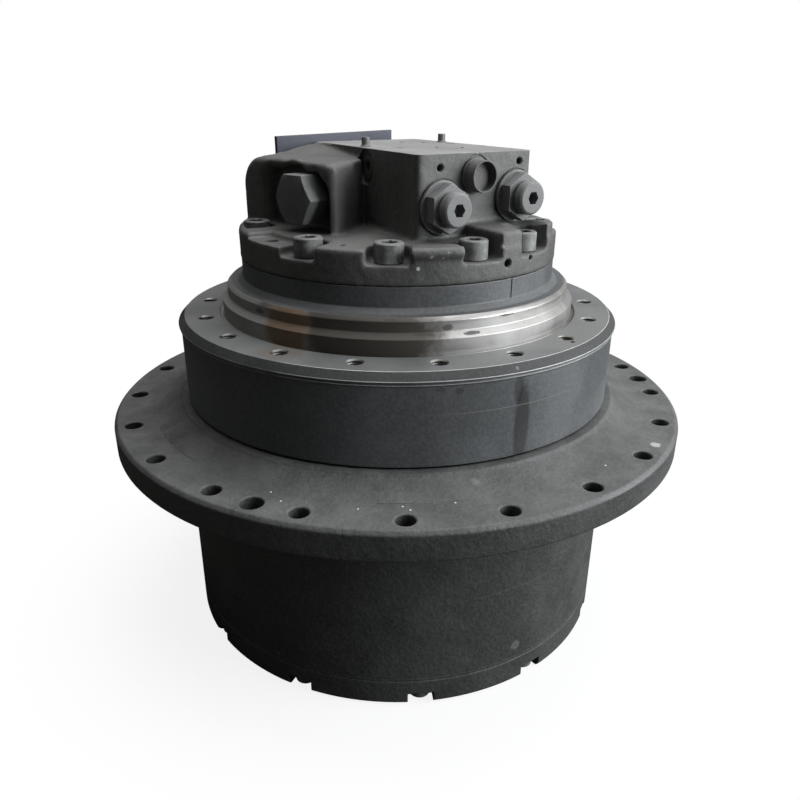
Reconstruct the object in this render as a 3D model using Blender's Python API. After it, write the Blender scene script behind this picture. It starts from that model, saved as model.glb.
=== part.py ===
"""Excavator final drive: a rotating hub with a two-stage planetary gear train around a fixed spindle,
driven by an axial piston motor under a cast rear cover with its valve block.

Units are metres, +Z is up. The part stands on the face of its gear cover, and the origin is the point
of that face on the drive's axis. Every moving piece has its origin, or its parent's, on its own axis.
"""

import math

import bmesh
import bpy
from mathutils import Matrix, Vector

MM = 0.001
TURN = 2 * math.pi
HALF = 0.5

# General fits
SEAT_GAP = 0.3 * MM
RUNNING_GAP = 1.6 * MM
OVERRUN = 4 * MM
MERGE_DISTANCE = 0.001 * MM
EDGE_BREAK = 1.5 * MM

# Roundness of turned pieces
LARGE_SEGMENTS = 36
MEDIUM_SEGMENTS = 20
SMALL_SEGMENTS = 16
HOLE_SEGMENTS = 8
BOLT_SEGMENTS = 12
SHARP_ANGLE = math.radians(32)

# Gear cover, the face that the part stands on
COVER_RADIUS = 239 * MM
COVER_HEIGHT = 29.5 * MM
COVER_RIM_CHAMFER = 4 * MM
COVER_REST_INNER_RADIUS = 152 * MM
COVER_DISH_RADIUS = 142 * MM
COVER_DISH_DEPTH = 8 * MM
COVER_FLOOR = 12 * MM
COVER_RECESS_RADIUS = 187 * MM
COVER_POCKETS = 12
COVER_POCKET_RADIUS = 13 * MM
COVER_POCKET_DEPTH = 14 * MM
COVER_POCKET_CIRCLE = 226 * MM
COVER_POCKET_START = math.radians(6)

# Screwed plugs of the gear cover
PLUG_CIRCLE = 100 * MM
PLUG_SHANK_RADIUS = 14 * MM
PLUG_HEAD_RADIUS = 19 * MM
PLUG_HEAD_HEIGHT = 5.5 * MM
PLUG_SHANK_LENGTH = 11 * MM
PLUG_SOCKET_RADIUS = 8 * MM
PLUG_SOCKET_DEPTH = 8 * MM
DRAIN_PLUG_ANGLE = math.radians(270)
LEVEL_PLUG_ANGLE = math.radians(150)

# Gear housing with the ring gear inside
HOUSING_HEIGHT = 173.9 * MM
HOUSING_BORE_RADIUS = 212 * MM
RING_TOOTH_LENGTH = 126 * MM

# Hub with the sprocket flange
PILOT_HEIGHT = 14 * MM
FLANGE_RADIUS = 310 * MM
FLANGE_THICKNESS = 28.5 * MM
FLANGE_CHAMFER = 3.5 * MM
FLANGE_HOLES = 21
FLANGE_HOLE_EDGE_DISTANCE = 18.8 * MM
FLANGE_HOLE_RADIUS = 8.75 * MM
FLANGE_HOLE_START = math.radians(271.4)
JACKING_HOLES = 3
JACKING_HOLE_RADIUS = 10.3 * MM
HUB_CONE_FOOT_SHARE = 0.3984375
HUB_CONE_HEIGHT = 13 * MM
HUB_LIP_RADIUS = 239.5 * MM
HUB_LIP_CHAMFER = 3 * MM
HUB_SEAL_DEPTH = 15.5 * MM
HUB_SHOULDER_WIDTH = 4.4 * MM
HUB_SHOULDER_RADIUS = 181 * MM
SPIGOT_GAP = 0.3 * MM

# Main bearings between hub and spindle
BEARING_INNER_RADIUS = 150.3 * MM
BEARING_OUTER_RADIUS = 190 * MM
BEARING_WIDTH = 32 * MM
RACE_THICKNESS = 10.5 * MM
ROLLERS = 16
ROLLER_GAP = 0.4 * MM
CAGE_WAVE = 5 * MM

# Floating face seal between hub and spindle
SEAL_CAVITY_RADIUS = 229 * MM
SEAL_CAVITY_HEIGHT = 11 * MM
SEAL_RING_OUTER_RADIUS = 228.2 * MM
SEAL_RING_INNER_RADIUS = 196 * MM
SEAL_RING_LIP_RADIUS = 208 * MM
SEAL_RING_LIP_HEIGHT = 5 * MM
SPINDLE_SHOULDER_RADIUS = 183 * MM

# Spindle, from the seam with the hub to the motor cover
DRUM_RADIUS = 232.5 * MM
DRUM_HEIGHT = 87.4 * MM
DRUM_RIB_RADIUS = 234.8 * MM
DRUM_RIB_DEPTH = 12 * MM
DRUM_RIB_HEIGHT = 5 * MM
DRUM_RIB_RAMP = 2.2 * MM
FRAME_FACE_RADIUS = 228 * MM
FRAME_FACE_CHAMFER = 4.5 * MM
FRAME_HOLES = 18
FRAME_HOLE_CIRCLE = 207.7 * MM
FRAME_HOLE_RADIUS = 7 * MM
FRAME_HOLE_DEPTH = 36 * MM
FRAME_HOLE_START = math.radians(180)
PILOT_RADIUS = 188.2 * MM
PILOT_WALL_HEIGHT = 14 * MM
PILOT_GROOVE_WIDTH = 3 * MM
PILOT_GROOVE_DEPTH = 2 * MM
PILOT_LEDGE_HEIGHT = 5 * MM
PILOT_UPPER_RADIUS = 182.1 * MM
PILOT_UPPER_HEIGHT = 9.5 * MM
PILOT_CHAMFER = 3.4 * MM
CASING_RADIUS = 165.5 * MM
CASING_SHOULDER_RADIUS = 171 * MM
CASING_FILLET_HEIGHT = 4.6 * MM
CASING_BAND_HEIGHT = 18.6 * MM

# Bores of the spindle, from the top down
BRAKE_BORE_RADIUS = 128 * MM
BRAKE_BORE_DEPTH = 30 * MM
PLATE_BORE_RADIUS = 120 * MM
PLATE_SHOULDER_DEPTH = 82 * MM
MOTOR_BORE_RADIUS = 101 * MM
SPINDLE_FLOOR = 34 * MM
SHAFT_BEARING_RADIUS = 45 * MM
SHAFT_BEARING_WIDTH = 22.5 * MM
SHAFT_SEAL_RADIUS = 36 * MM

# Shaft of the motor
SHAFT_RADIUS = 25 * MM
SHAFT_END_RADIUS = 20 * MM
SHAFT_END_LENGTH = 19 * MM
REAR_BEARING_RADIUS = 40 * MM
REAR_BEARING_WIDTH = 17.5 * MM
SHAFT_SEAL_WIDTH = 7.5 * MM

# Swash plate and its cradle
CRADLE_RADIUS = 97 * MM
CRADLE_BORE_RADIUS = 42 * MM
CRADLE_HEIGHT = 40 * MM
CRADLE_WEB = 7 * MM
SWASH_RADIUS = 66 * MM
SWASH_LENGTH = 146 * MM
SWASH_FACE_DROP = 14 * MM
SWASH_REST_TILT = math.radians(8)
SWASH_STROKE_TILT = math.radians(8)
SWASH_BORE_RADIUS = 36 * MM

# Rotating group of the motor
PISTONS = 9
PISTON_CIRCLE = 50 * MM
PISTON_RADIUS = 12.2 * MM
PISTON_LENGTH = 46 * MM
PISTON_SWASH_ROOM = 20 * MM
SLIPPER_RADIUS = 13 * MM
SLIPPER_HEIGHT = 5 * MM
RETAINER_RADIUS = 70 * MM
RETAINER_BORE_RADIUS = 34 * MM
RETAINER_THICKNESS = 4 * MM
RETAINER_TO_BLOCK = 8 * MM
BLOCK_RADIUS = 76 * MM
BLOCK_BORE_DEPTH = 74 * MM
BLOCK_PORT_RADIUS = 6.5 * MM
VALVE_PLATE_RADIUS = 74 * MM
VALVE_PLATE_BORE_RADIUS = 30 * MM
VALVE_PLATE_THICKNESS = 8 * MM

# Parking brake
BRAKE_PLATE_THICKNESS = 2.6 * MM
BRAKE_PLATE_INNER_RADIUS = 84 * MM
BRAKE_DISC_OUTER_RADIUS = 115 * MM
BRAKE_PAIRS = 2
BRAKE_PISTON_INNER_RADIUS = 86 * MM
BRAKE_PISTON_FLANGE = 17 * MM
BRAKE_TRAVEL = 1.5 * MM
BRAKE_SPRING_RISE = 8 * MM
BRAKE_SPRING_THICKNESS = 3 * MM
BRAKE_SPRING_INNER_RADIUS = 96 * MM

# Gears
GEAR_MODULE = 6.6 * MM
RING_TEETH = 60
SUN_1_TEETH = 12
SUN_2_TEETH = 18
PLANETS = 3
PLANET_START = math.radians(90)
PRESSURE_ANGLE = math.radians(20)
ADDENDUM_SHARE = 0.85
DEDENDUM_SHARE = 1.15
TOOTH_THINNING = 0.6 * MM
FLANK_POINTS = 2

# First stage, next to the gear cover
STAGE_1_BASE = 8.5 * MM
PLANET_1_WIDTH = 38 * MM
PIN_1_RADIUS = 18 * MM
CARRIER_1_RADIUS = 150 * MM
CARRIER_1_THICKNESS = 15 * MM
SUN_1_OVERHANG = 3 * MM
STAGE_SIDE_GAP = 1.2 * MM
THRUST_BUTTON_RADIUS = 17 * MM
THRUST_BUTTON_NECK_RADIUS = 12 * MM

# Second stage, under the spindle
PLANET_2_WIDTH = 42 * MM
PIN_2_RADIUS = 22 * MM
CARRIER_2_RADIUS = 172 * MM
CARRIER_2_LOWER_PLATE = 10 * MM
CARRIER_2_UPPER_PLATE = 20 * MM
CARRIER_2_BORE_RADIUS = 42 * MM
CARRIER_GAP = 4 * MM
WINDOW_CLEARANCE = 3 * MM
SUN_2_JOURNAL_RADIUS = 44 * MM
SUN_2_BORE_RADIUS = 34 * MM

# Motor cover disc
MOTOR_COVER_RADIUS = 166.2 * MM
MOTOR_COVER_HEIGHT = 31.4 * MM
MOTOR_COVER_CHAMFER = 2.5 * MM
COVER_BOLT_CIRCLE = 147.5 * MM
COVER_BOLT_ANGLES = tuple(math.radians(a) for a in (190.5, 236.5, 267, 297.5, 324, 355, 27, 58, 109, 139.5))
COVER_BOLT_HEAD_RADIUS = 13.5 * MM
COVER_BOLT_HEAD_HEIGHT = 18 * MM
COVER_BOLT_RADIUS = 8.7 * MM
COVER_BOLT_GRIP = 38 * MM
COVER_BOLT_SOCKET_RADIUS = 8.1 * MM
COVER_BOLT_SOCKET_DEPTH = 9 * MM
COVER_BOLT_CHAMFER = 1.2 * MM
COVER_POCKET_FLOOR = 18 * MM
HEAD_POCKET_RADIUS = 18.5 * MM
HEAD_POCKET_MOUTH = 21 * MM
LEDGE_HEIGHT = 11 * MM
LEDGE_START = math.radians(310)
LEDGE_END = math.radians(400)
LEDGE_STEPS = 8
LEDGE_INSET = 1 * MM
PAD_START = math.radians(273)
PAD_END = math.radians(291)
PAD_HEIGHT = 4 * MM
PAD_DEPTH = 16 * MM

# Valve block on the motor cover, a prism given by its front corner and its two front sides
BLOCK_FRONT_CORNER = Vector((17.1 * MM, -123.4 * MM))
BLOCK_RIGHT_ANGLE = math.radians(34.4)
BLOCK_RIGHT_LENGTH = 137.4 * MM
BLOCK_LEFT_ANGLE = math.radians(117.2)
BLOCK_LEFT_LENGTH = 239.8 * MM
BLOCK_HEIGHT = 75.2 * MM
BLOCK_SINK = 6 * MM

# Housing of the counterbalance valve, on the left of the block
VALVE_HOUSING_RADIUS = 165.2 * MM
VALVE_HOUSING_INSET = 1.5 * MM
VALVE_HOUSING_FACE_ANGLE = math.radians(222.6)
VALVE_HOUSING_FACE_DISTANCE = 110.3 * MM
VALVE_HOUSING_FACE_END = 34.3 * MM
VALVE_HOUSING_FOLD = 115.3 * MM
VALVE_HOUSING_DROP = 10.5 * MM
VALVE_HOUSING_RAMP = 58 * MM
VALVE_HOUSING_RAMP_ANGLE = math.radians(235)
VALVE_HOUSING_ROUND = 30 * MM
ROUND_STEPS = 4

# Counterbalance valve in that housing
VALVE_AXIS_ANGLE = math.radians(227)
VALVE_AXIS_OFFSET = 22.8 * MM
VALVE_AXIS_HEIGHT = 31 * MM
VALVE_PLUG_END = 118 * MM
VALVE_PLUG_ACROSS_FLATS = 45 * MM
VALVE_PLUG_HEX_LENGTH = 20 * MM
VALVE_PLUG_SHANK_RADIUS = 17 * MM
VALVE_PLUG_SHANK_LENGTH = 16 * MM
VALVE_RECESS_START = -83.8 * MM
VALVE_RECESS_END = 22.3 * MM
VALVE_RECESS_TOP = 61 * MM
VALVE_RECESS_ROUND = 27 * MM
VALVE_RECESS_FLOOR = 90 * MM
VALVE_BORE_LENGTH = 92 * MM
SPOOL_RADIUS = 14 * MM
SPOOL_NECK_RADIUS = 9 * MM
SPOOL_LENGTH = 60 * MM
SPOOL_TRAVEL = 5 * MM
SPOOL_LAND_SHARES = (0.0, 0.22, 0.38, 0.62, 0.78, 1.0)

# Relief valves and cap on the block's front right face: places along the face and over the cover disc
RELIEF_PLACES = (Vector((27.3 * MM, 28.6 * MM)), Vector((116.6 * MM, 33.9 * MM)))
RELIEF_WASHER_RADIUS = 24.4 * MM
RELIEF_WASHER_THICKNESS = 3 * MM
RELIEF_ACROSS_FLATS = 39 * MM
RELIEF_HEX_LENGTH = 12 * MM
RELIEF_NECK_RADIUS = 14 * MM
RELIEF_NECK_LENGTH = 2.5 * MM
RELIEF_CAP_RADIUS = 15.8 * MM
RELIEF_CAP_LENGTH = 9 * MM
RELIEF_CAP_CHAMFER = 2 * MM
RELIEF_ROOM_RADIUS = 27 * MM
RELIEF_SHANK_RADIUS = 13 * MM
RELIEF_SHANK_LENGTH = 30 * MM
RELIEF_SOCKET_RADIUS = 6.5 * MM
RELIEF_SOCKET_DEPTH = 8 * MM
CAP_PLACE = Vector((66.5 * MM, 55 * MM))
CAP_RADIUS = 14.5 * MM
CAP_WALL = 1.6 * MM
CAP_LENGTH = 14.5 * MM
CAP_SHANK_LENGTH = 9 * MM
CAP_RIM_RADIUS = 16.2 * MM
CAP_RIM_THICKNESS = 1.5 * MM
GAUGE_HOLE_PLACES = (Vector((25.3 * MM, 63.2 * MM)), Vector((121 * MM, 65.8 * MM)))
GAUGE_HOLE_RADIUS = 3 * MM
GAUGE_HOLE_DEPTH = 12 * MM

# Socket plug in the block's left face
SOCKET_PLUG_PLACE = Vector((107 * MM, 57.7 * MM))
SOCKET_PLUG_RADIUS = 13 * MM
SOCKET_PLUG_LENGTH = 12 * MM
SOCKET_PLUG_SINK = 2 * MM
SOCKET_PLUG_HEX_RADIUS = 6 * MM
SOCKET_PLUG_HEX_DEPTH = 6 * MM
COUNTERBORE_RADIUS = 17 * MM
COUNTERBORE_DEPTH = 3 * MM

# Plate bolted over the ports on the block's back left face
PORT_PLATE_INSET = 30.8 * MM
PORT_PLATE_END = 103 * MM
PORT_PLATE_THICKNESS = 5.5 * MM
PORT_PLATE_BOTTOM = 8 * MM
PORT_PLATE_START_RISE = 6.5 * MM
PORT_PLATE_END_RISE = 11 * MM
PORT_RADIUS = 15 * MM
PORT_DEPTH = 36 * MM
PORT_SHARES = (0.2, 0.72)
PORT_LEVEL = 40 * MM

# Ports in the block's back right face
DRAIN_PORTS = (Vector((70 * MM, 40 * MM)), Vector((140 * MM, 48 * MM)))
DRAIN_PORT_RADIUS = 11 * MM
DRAIN_PORT_DEPTH = 22 * MM
DRAIN_SPOT_RADIUS = 18 * MM
DRAIN_SPOT_DEPTH = 1.5 * MM

# Dowel pins on top of the block
PIN_PLACES = (Vector((-33 * MM, 0.3 * MM)), Vector((51.5 * MM, 121.8 * MM)))
DOWEL_RADIUS = 4.2 * MM
DOWEL_RISE = 9 * MM
DOWEL_COLLAR_RADIUS = 6 * MM
DOWEL_COLLAR_HEIGHT = 1.6 * MM
DOWEL_SHANK_RADIUS = 3 * MM
DOWEL_SHANK_LENGTH = 8 * MM

# Heights that the stack gives
HOUSING_BASE = COVER_HEIGHT + SEAT_GAP
HOUSING_TOP = HOUSING_BASE + HOUSING_HEIGHT
HUB_PILOT_BASE = HOUSING_TOP + SEAT_GAP
FLANGE_BASE = HUB_PILOT_BASE + PILOT_HEIGHT
FLANGE_TOP = FLANGE_BASE + FLANGE_THICKNESS
HUB_TOP = FLANGE_TOP + HUB_CONE_HEIGHT
SEAL_FLOOR = HUB_TOP - HUB_SEAL_DEPTH
DRUM_BASE = HUB_TOP + RUNNING_GAP
SEAL_ROOF = DRUM_BASE + SEAL_CAVITY_HEIGHT
FRAME_FACE = DRUM_BASE + DRUM_HEIGHT
PILOT_TOP = FRAME_FACE + PILOT_WALL_HEIGHT + PILOT_LEDGE_HEIGHT + PILOT_UPPER_HEIGHT + PILOT_CHAMFER
CASING_TOP = PILOT_TOP + CASING_FILLET_HEIGHT + CASING_BAND_HEIGHT
MOTOR_COVER_BASE = CASING_TOP + SEAT_GAP
MOTOR_COVER_TOP = MOTOR_COVER_BASE + MOTOR_COVER_HEIGHT
BLOCK_TOP = MOTOR_COVER_TOP + BLOCK_HEIGHT
COVER_INNER_FACE = COVER_DISH_DEPTH + COVER_FLOOR
UPPER_BEARING_BASE = SEAL_FLOOR - 4 * SEAT_GAP - BEARING_WIDTH
LOWER_BEARING_BASE = UPPER_BEARING_BASE - HUB_SHOULDER_WIDTH - 2 * SEAT_GAP - BEARING_WIDTH
SPINDLE_FOOT = LOWER_BEARING_BASE
SPINDLE_FLOOR_TOP = SPINDLE_FOOT + SPINDLE_FLOOR
SHOULDER_BASE = UPPER_BEARING_BASE + BEARING_WIDTH + SEAT_GAP
PLATE_SHOULDER = CASING_TOP - PLATE_SHOULDER_DEPTH

# Radii that the sprocket flange gives
FLANGE_HOLE_CIRCLE = FLANGE_RADIUS - FLANGE_HOLE_EDGE_DISTANCE
HUB_LIP_FOOT_RADIUS = HUB_LIP_RADIUS + HUB_LIP_CHAMFER
FLANGE_FACE_EDGE = FLANGE_RADIUS - FLANGE_CHAMFER
HUB_CONE_FOOT_RADIUS = HUB_LIP_FOOT_RADIUS + (FLANGE_FACE_EDGE - HUB_LIP_FOOT_RADIUS) * HUB_CONE_FOOT_SHARE

# Gear sizes that the module gives
PLANET_1_TEETH = (RING_TEETH - SUN_1_TEETH) // 2
PLANET_2_TEETH = (RING_TEETH - SUN_2_TEETH) // 2
ADDENDUM = ADDENDUM_SHARE * GEAR_MODULE
DEDENDUM = DEDENDUM_SHARE * GEAR_MODULE
RING_PITCH_RADIUS = GEAR_MODULE * RING_TEETH * HALF
PLANET_1_CENTRE = GEAR_MODULE * (SUN_1_TEETH + PLANET_1_TEETH) * HALF
PLANET_2_CENTRE = GEAR_MODULE * (SUN_2_TEETH + PLANET_2_TEETH) * HALF
PLANET_2_TIP_RADIUS = GEAR_MODULE * PLANET_2_TEETH * HALF + ADDENDUM
SUN_2_TIP_RADIUS = GEAR_MODULE * SUN_2_TEETH * HALF + ADDENDUM

# Heights inside the gear housing
PLANET_1_BASE = COVER_HEIGHT + STAGE_1_BASE
CARRIER_1_BASE = PLANET_1_BASE + PLANET_1_WIDTH + STAGE_SIDE_GAP
CARRIER_1_TOP = CARRIER_1_BASE + CARRIER_1_THICKNESS
CARRIER_2_TOP = SPINDLE_FOOT - SEAT_GAP
CARRIER_2_WINDOW_TOP = CARRIER_2_TOP - CARRIER_2_UPPER_PLATE
PLANET_2_BASE = CARRIER_2_WINDOW_TOP - STAGE_SIDE_GAP - PLANET_2_WIDTH
CARRIER_2_WINDOW_BASE = PLANET_2_BASE - STAGE_SIDE_GAP
CARRIER_2_BASE = CARRIER_2_WINDOW_BASE - CARRIER_2_LOWER_PLATE
SUN_1_BASE = PLANET_1_BASE - SUN_1_OVERHANG
SUN_1_TOP = CARRIER_1_BASE - SEAT_GAP
TOOTH_TOP = HOUSING_BASE + RING_TOOTH_LENGTH

# Heights inside the motor
VALVE_PLATE_TOP = CASING_TOP
BLOCK_GROUP_TOP = VALVE_PLATE_TOP - VALVE_PLATE_THICKNESS - SEAT_GAP
SWASH_AXIS_HEIGHT = SPINDLE_FLOOR_TOP + SEAT_GAP + CRADLE_WEB + SEAT_GAP + SWASH_RADIUS
SWASH_FACE_HEIGHT = SWASH_AXIS_HEIGHT - SWASH_FACE_DROP
SLIPPER_BASE = SWASH_FACE_HEIGHT + PISTON_SWASH_ROOM
RETAINER_BASE = SLIPPER_BASE + SLIPPER_HEIGHT
CYLINDER_BASE = RETAINER_BASE + RETAINER_THICKNESS + RETAINER_TO_BLOCK
BRAKE_STACK_BASE = PLATE_SHOULDER + SEAT_GAP
BRAKE_STACK_STEP = BRAKE_PLATE_THICKNESS + SEAT_GAP
BRAKE_PISTON_BASE = BRAKE_STACK_BASE + 2 * BRAKE_PAIRS * BRAKE_STACK_STEP
BRAKE_SPRING_TOP = CASING_TOP
BRAKE_PISTON_TOP = BRAKE_SPRING_TOP - BRAKE_SPRING_RISE - BRAKE_SPRING_THICKNESS - BRAKE_TRAVEL - SEAT_GAP
BRAKE_STEP_HEIGHT = CASING_TOP - BRAKE_BORE_DEPTH


class Finish:
    """A surface finish: colour, roughness and metallic value."""

    def __init__(self, colour, roughness, metallic):
        self.colour = colour
        self.roughness = roughness
        self.metallic = metallic


FINISHES = {
    "hub_paint": Finish((0.050, 0.053, 0.056), 0.42, 0.1),
    "spindle_paint": Finish((0.056, 0.058, 0.062), 0.42, 0.1),
    "valve_paint": Finish((0.085, 0.092, 0.102), 0.40, 0.1),
    "plate_paint": Finish((0.105, 0.105, 0.150), 0.50, 0.0),
    "bolt_steel": Finish((0.110, 0.115, 0.120), 0.38, 0.6),
    "bright_steel": Finish((0.550, 0.550, 0.540), 0.28, 1.0),
    "gear_steel": Finish((0.420, 0.420, 0.430), 0.35, 1.0),
    "cast_steel": Finish((0.240, 0.240, 0.245), 0.55, 0.9),
    "bronze": Finish((0.560, 0.390, 0.190), 0.38, 1.0),
    "friction": Finish((0.160, 0.120, 0.080), 0.75, 0.2),
    "rubber": Finish((0.030, 0.030, 0.032), 0.80, 0.0),
}


def clear_scene():
    """Remove every object, so that only this part is in the scene."""
    for obj in list(bpy.data.objects):
        bpy.data.objects.remove(obj, do_unlink=True)


def material(name):
    """The material of a finish, made when it is first asked for."""
    found = bpy.data.materials.get(name)
    if found:
        return found
    finish = FINISHES[name]
    made = bpy.data.materials.new(name)
    made.use_nodes = True
    shader = made.node_tree.nodes["Principled BSDF"]
    shader.inputs["Base Color"].default_value = (*finish.colour, 1)
    shader.inputs["Roughness"].default_value = finish.roughness
    shader.inputs["Metallic"].default_value = finish.metallic
    made.diffuse_color = (*finish.colour, 1)
    return made


def on_circle(radius, angle):
    """The point at this radius and angle, in the plane."""
    return Vector((radius * math.cos(angle), radius * math.sin(angle)))


def circle(radius, segments, start=0.0):
    """An outline of points on a circle."""
    return [on_circle(radius, start + TURN * i / segments) for i in range(segments)]


def bore_round(radius, segments):
    """The radius of a faceted bore in which a round piece of this radius turns freely."""
    return (radius + SEAT_GAP) / math.cos(TURN / (2 * segments))


def facing(angle, centre, height):
    """The frame of a piece that lies along a horizontal direction, with its own +Z pointing outwards."""
    outwards = Vector((math.cos(angle), math.sin(angle), 0))
    across = Vector((-math.sin(angle), math.cos(angle), 0))
    up = Vector((0, 0, 1))
    frame = Matrix((across, up, outwards)).transposed().to_4x4()
    frame.translation = Vector((centre[0], centre[1], height))
    return frame


def lifted(height):
    """The frame of a piece that stands on this height."""
    return Matrix.Translation(Vector((0, 0, height)))


def add_turned(mesh, profile, segments, frame=None):
    """Spin a profile of (radius, height) points. One that starts and ends on the axis is left open there."""
    before = set(mesh.verts)
    points = [mesh.verts.new((radius, 0, height)) for radius, height in profile]
    edges = [mesh.edges.new(pair) for pair in zip(points, points[1:])]
    if profile[0][0] > 0:
        edges.append(mesh.edges.new((points[-1], points[0])))
    bmesh.ops.spin(
        mesh, geom=points + edges, cent=(0, 0, 0), axis=(0, 0, 1), angle=TURN, steps=segments
    )
    added = [point for point in mesh.verts if point not in before]
    bmesh.ops.remove_doubles(mesh, verts=added, dist=MERGE_DISTANCE)
    added = [point for point in mesh.verts if point not in before]
    if frame:
        bmesh.ops.transform(mesh, matrix=frame, verts=added)


def add_prism(mesh, outline, bottom, top, frame=None):
    """Extrude an outline of plane points between two heights."""
    floor = mesh.faces.new([mesh.verts.new((point[0], point[1], bottom)) for point in outline])
    lower = list(floor.verts)
    raised = bmesh.ops.extrude_face_region(mesh, geom=[floor])["geom"]
    upper = [item for item in raised if isinstance(item, bmesh.types.BMVert)]
    bmesh.ops.translate(mesh, vec=(0, 0, top - bottom), verts=upper)
    if frame:
        bmesh.ops.transform(mesh, matrix=frame, verts=lower + upper)


def finish_object(name, mesh, finish=None):
    """Turn a bmesh into an object, with its faces pointing out and its round faces smooth."""
    bmesh.ops.recalc_face_normals(mesh, faces=mesh.faces)
    data = bpy.data.meshes.new(name)
    mesh.to_mesh(data)
    mesh.free()
    data.shade_smooth()
    data.set_sharp_from_angle(angle=SHARP_ANGLE)
    obj = bpy.data.objects.new(name, data)
    bpy.context.scene.collection.objects.link(obj)
    if finish:
        data.materials.append(material(finish))
    return obj


def turned_object(name, profile, segments, finish=None):
    """An object made by turning one profile about the drive's axis."""
    mesh = bmesh.new()
    add_turned(mesh, profile, segments)
    return finish_object(name, mesh, finish)


def prism_object(name, outline, bottom, top, finish=None, frame=None):
    """An object made by extruding one outline."""
    mesh = bmesh.new()
    add_prism(mesh, outline, bottom, top, frame)
    return finish_object(name, mesh, finish)


def helper(obj):
    """Keep a cutter or an added shape out of the part itself."""
    obj.hide_render = True
    obj.display_type = "WIRE"
    return obj


def combine(obj, other, operation):
    """Add a Boolean of this object with a helper."""
    step = obj.modifiers.new(other.name, "BOOLEAN")
    step.operation = operation
    step.solver = "EXACT"
    step.object = helper(other)


def cut(obj, cutter):
    """Take a helper's shape away."""
    combine(obj, cutter, "DIFFERENCE")


def join(obj, addition):
    """Add a helper's shape."""
    combine(obj, addition, "UNION")


def axis_empty(name, place=(0, 0, 0)):
    """An empty on a joint's axis, for the pieces that turn with it."""
    empty = bpy.data.objects.new(name, None)
    empty.location = place
    bpy.context.scene.collection.objects.link(empty)
    return empty


def hole_profile(radius, bottom, top):
    """The profile of a drilled hole's cutter, which runs out above its mouth."""
    return [(0, bottom), (radius, bottom), (radius, top + OVERRUN), (0, top + OVERRUN)]


def hole_cutter(name, places, profile, segments=HOLE_SEGMENTS):
    """One cutter with the same hole at each place."""
    mesh = bmesh.new()
    for place in places:
        add_turned(mesh, profile, segments, Matrix.Translation(Vector((place[0], place[1], 0))))
    return finish_object(name, mesh)


def tube_profile(inner, outer, bottom, top):
    """A plain ring with square edges."""
    return [(inner, bottom), (outer, bottom), (outer, top), (inner, top)]


def chamfered_tube_profile(inner, outer, bottom, top, chamfer):
    """A ring with its outer edges broken."""
    return [
        (inner, bottom),
        (outer - chamfer, bottom),
        (outer, bottom + chamfer),
        (outer, top - chamfer),
        (outer - chamfer, top),
        (inner, top),
    ]


def involute(angle):
    """The involute function of a pressure angle."""
    return math.tan(angle) - angle


def tooth_half_angle(radius, teeth, thinning):
    """Half the angle that a tooth fills at this radius."""
    pitch_radius = GEAR_MODULE * teeth * HALF
    base_radius = pitch_radius * math.cos(PRESSURE_ANGLE)
    at_pitch = TURN / (4 * teeth) - thinning / (2 * pitch_radius)
    local = math.acos(min(1, base_radius / radius))
    return at_pitch + involute(PRESSURE_ANGLE) - involute(local)


def gear_outline(teeth, root_radius, tip_radius, thinning, start):
    """The outline of a spur gear with involute flanks and one tooth at the start angle."""
    steps = [i / (FLANK_POINTS - 1) for i in range(FLANK_POINTS)]
    radii = [root_radius + (tip_radius - root_radius) * step for step in steps]
    outline = []
    for tooth in range(teeth):
        middle = start + TURN * tooth / teeth
        halves = [tooth_half_angle(radius, teeth, thinning) for radius in radii]
        outline += [on_circle(r, middle - half) for r, half in zip(radii, halves)]
        outline += [on_circle(r, middle + half) for r, half in zip(reversed(radii), reversed(halves))]
    return outline


def external_gear_outline(teeth, start=0.0):
    """The outline of a sun or planet gear."""
    pitch_radius = GEAR_MODULE * teeth * HALF
    return gear_outline(teeth, pitch_radius - DEDENDUM, pitch_radius + ADDENDUM, TOOTH_THINNING, start)


def planet_angles():
    """The angles at which the planets stand on their carrier."""
    return [PLANET_START + TURN * i / PLANETS for i in range(PLANETS)]


def make_gear_cover():
    """The cast cover that closes the gear housing, with pockets for its bolts in the rim."""
    cover = turned_object(
        "gear_cover",
        [
            (0, COVER_DISH_DEPTH),
            (COVER_DISH_RADIUS, COVER_DISH_DEPTH),
            (COVER_REST_INNER_RADIUS, 0),
            (COVER_RADIUS - COVER_RIM_CHAMFER, 0),
            (COVER_RADIUS, COVER_RIM_CHAMFER),
            (COVER_RADIUS, COVER_HEIGHT),
            (COVER_RECESS_RADIUS, COVER_HEIGHT),
            (COVER_RECESS_RADIUS, COVER_INNER_FACE),
            (0, COVER_INNER_FACE),
        ],
        LARGE_SEGMENTS,
        "hub_paint",
    )
    pockets = bmesh.new()
    for i in range(COVER_POCKETS):
        angle = COVER_POCKET_START + TURN * i / COVER_POCKETS
        outline = [on_circle(COVER_POCKET_CIRCLE, angle) + offset for offset in pocket_outline(angle)]
        add_prism(pockets, outline, -OVERRUN, COVER_POCKET_DEPTH)
    cut(cover, finish_object("gear_cover_pockets", pockets))
    places = [on_circle(PLUG_CIRCLE, angle) for angle in (DRAIN_PLUG_ANGLE, LEVEL_PLUG_ANGLE)]
    bore = hole_profile(PLUG_SHANK_RADIUS + SEAT_GAP, -OVERRUN, COVER_INNER_FACE)
    cut(cover, hole_cutter("gear_cover_plug_bores", places, bore, SMALL_SEGMENTS))
    return cover


def pocket_outline(angle):
    """A bolt pocket that is round inside and open to the rim."""
    reach = COVER_RADIUS + OVERRUN - COVER_POCKET_CIRCLE
    quarter = TURN / 4
    arc_steps = HOLE_SEGMENTS // 2
    arc = [on_circle(COVER_POCKET_RADIUS, angle + quarter + TURN * HALF * i / arc_steps) for i in range(arc_steps + 1)]
    outwards = on_circle(reach, angle)
    return arc + [arc[-1] + outwards, arc[0] + outwards]


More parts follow.
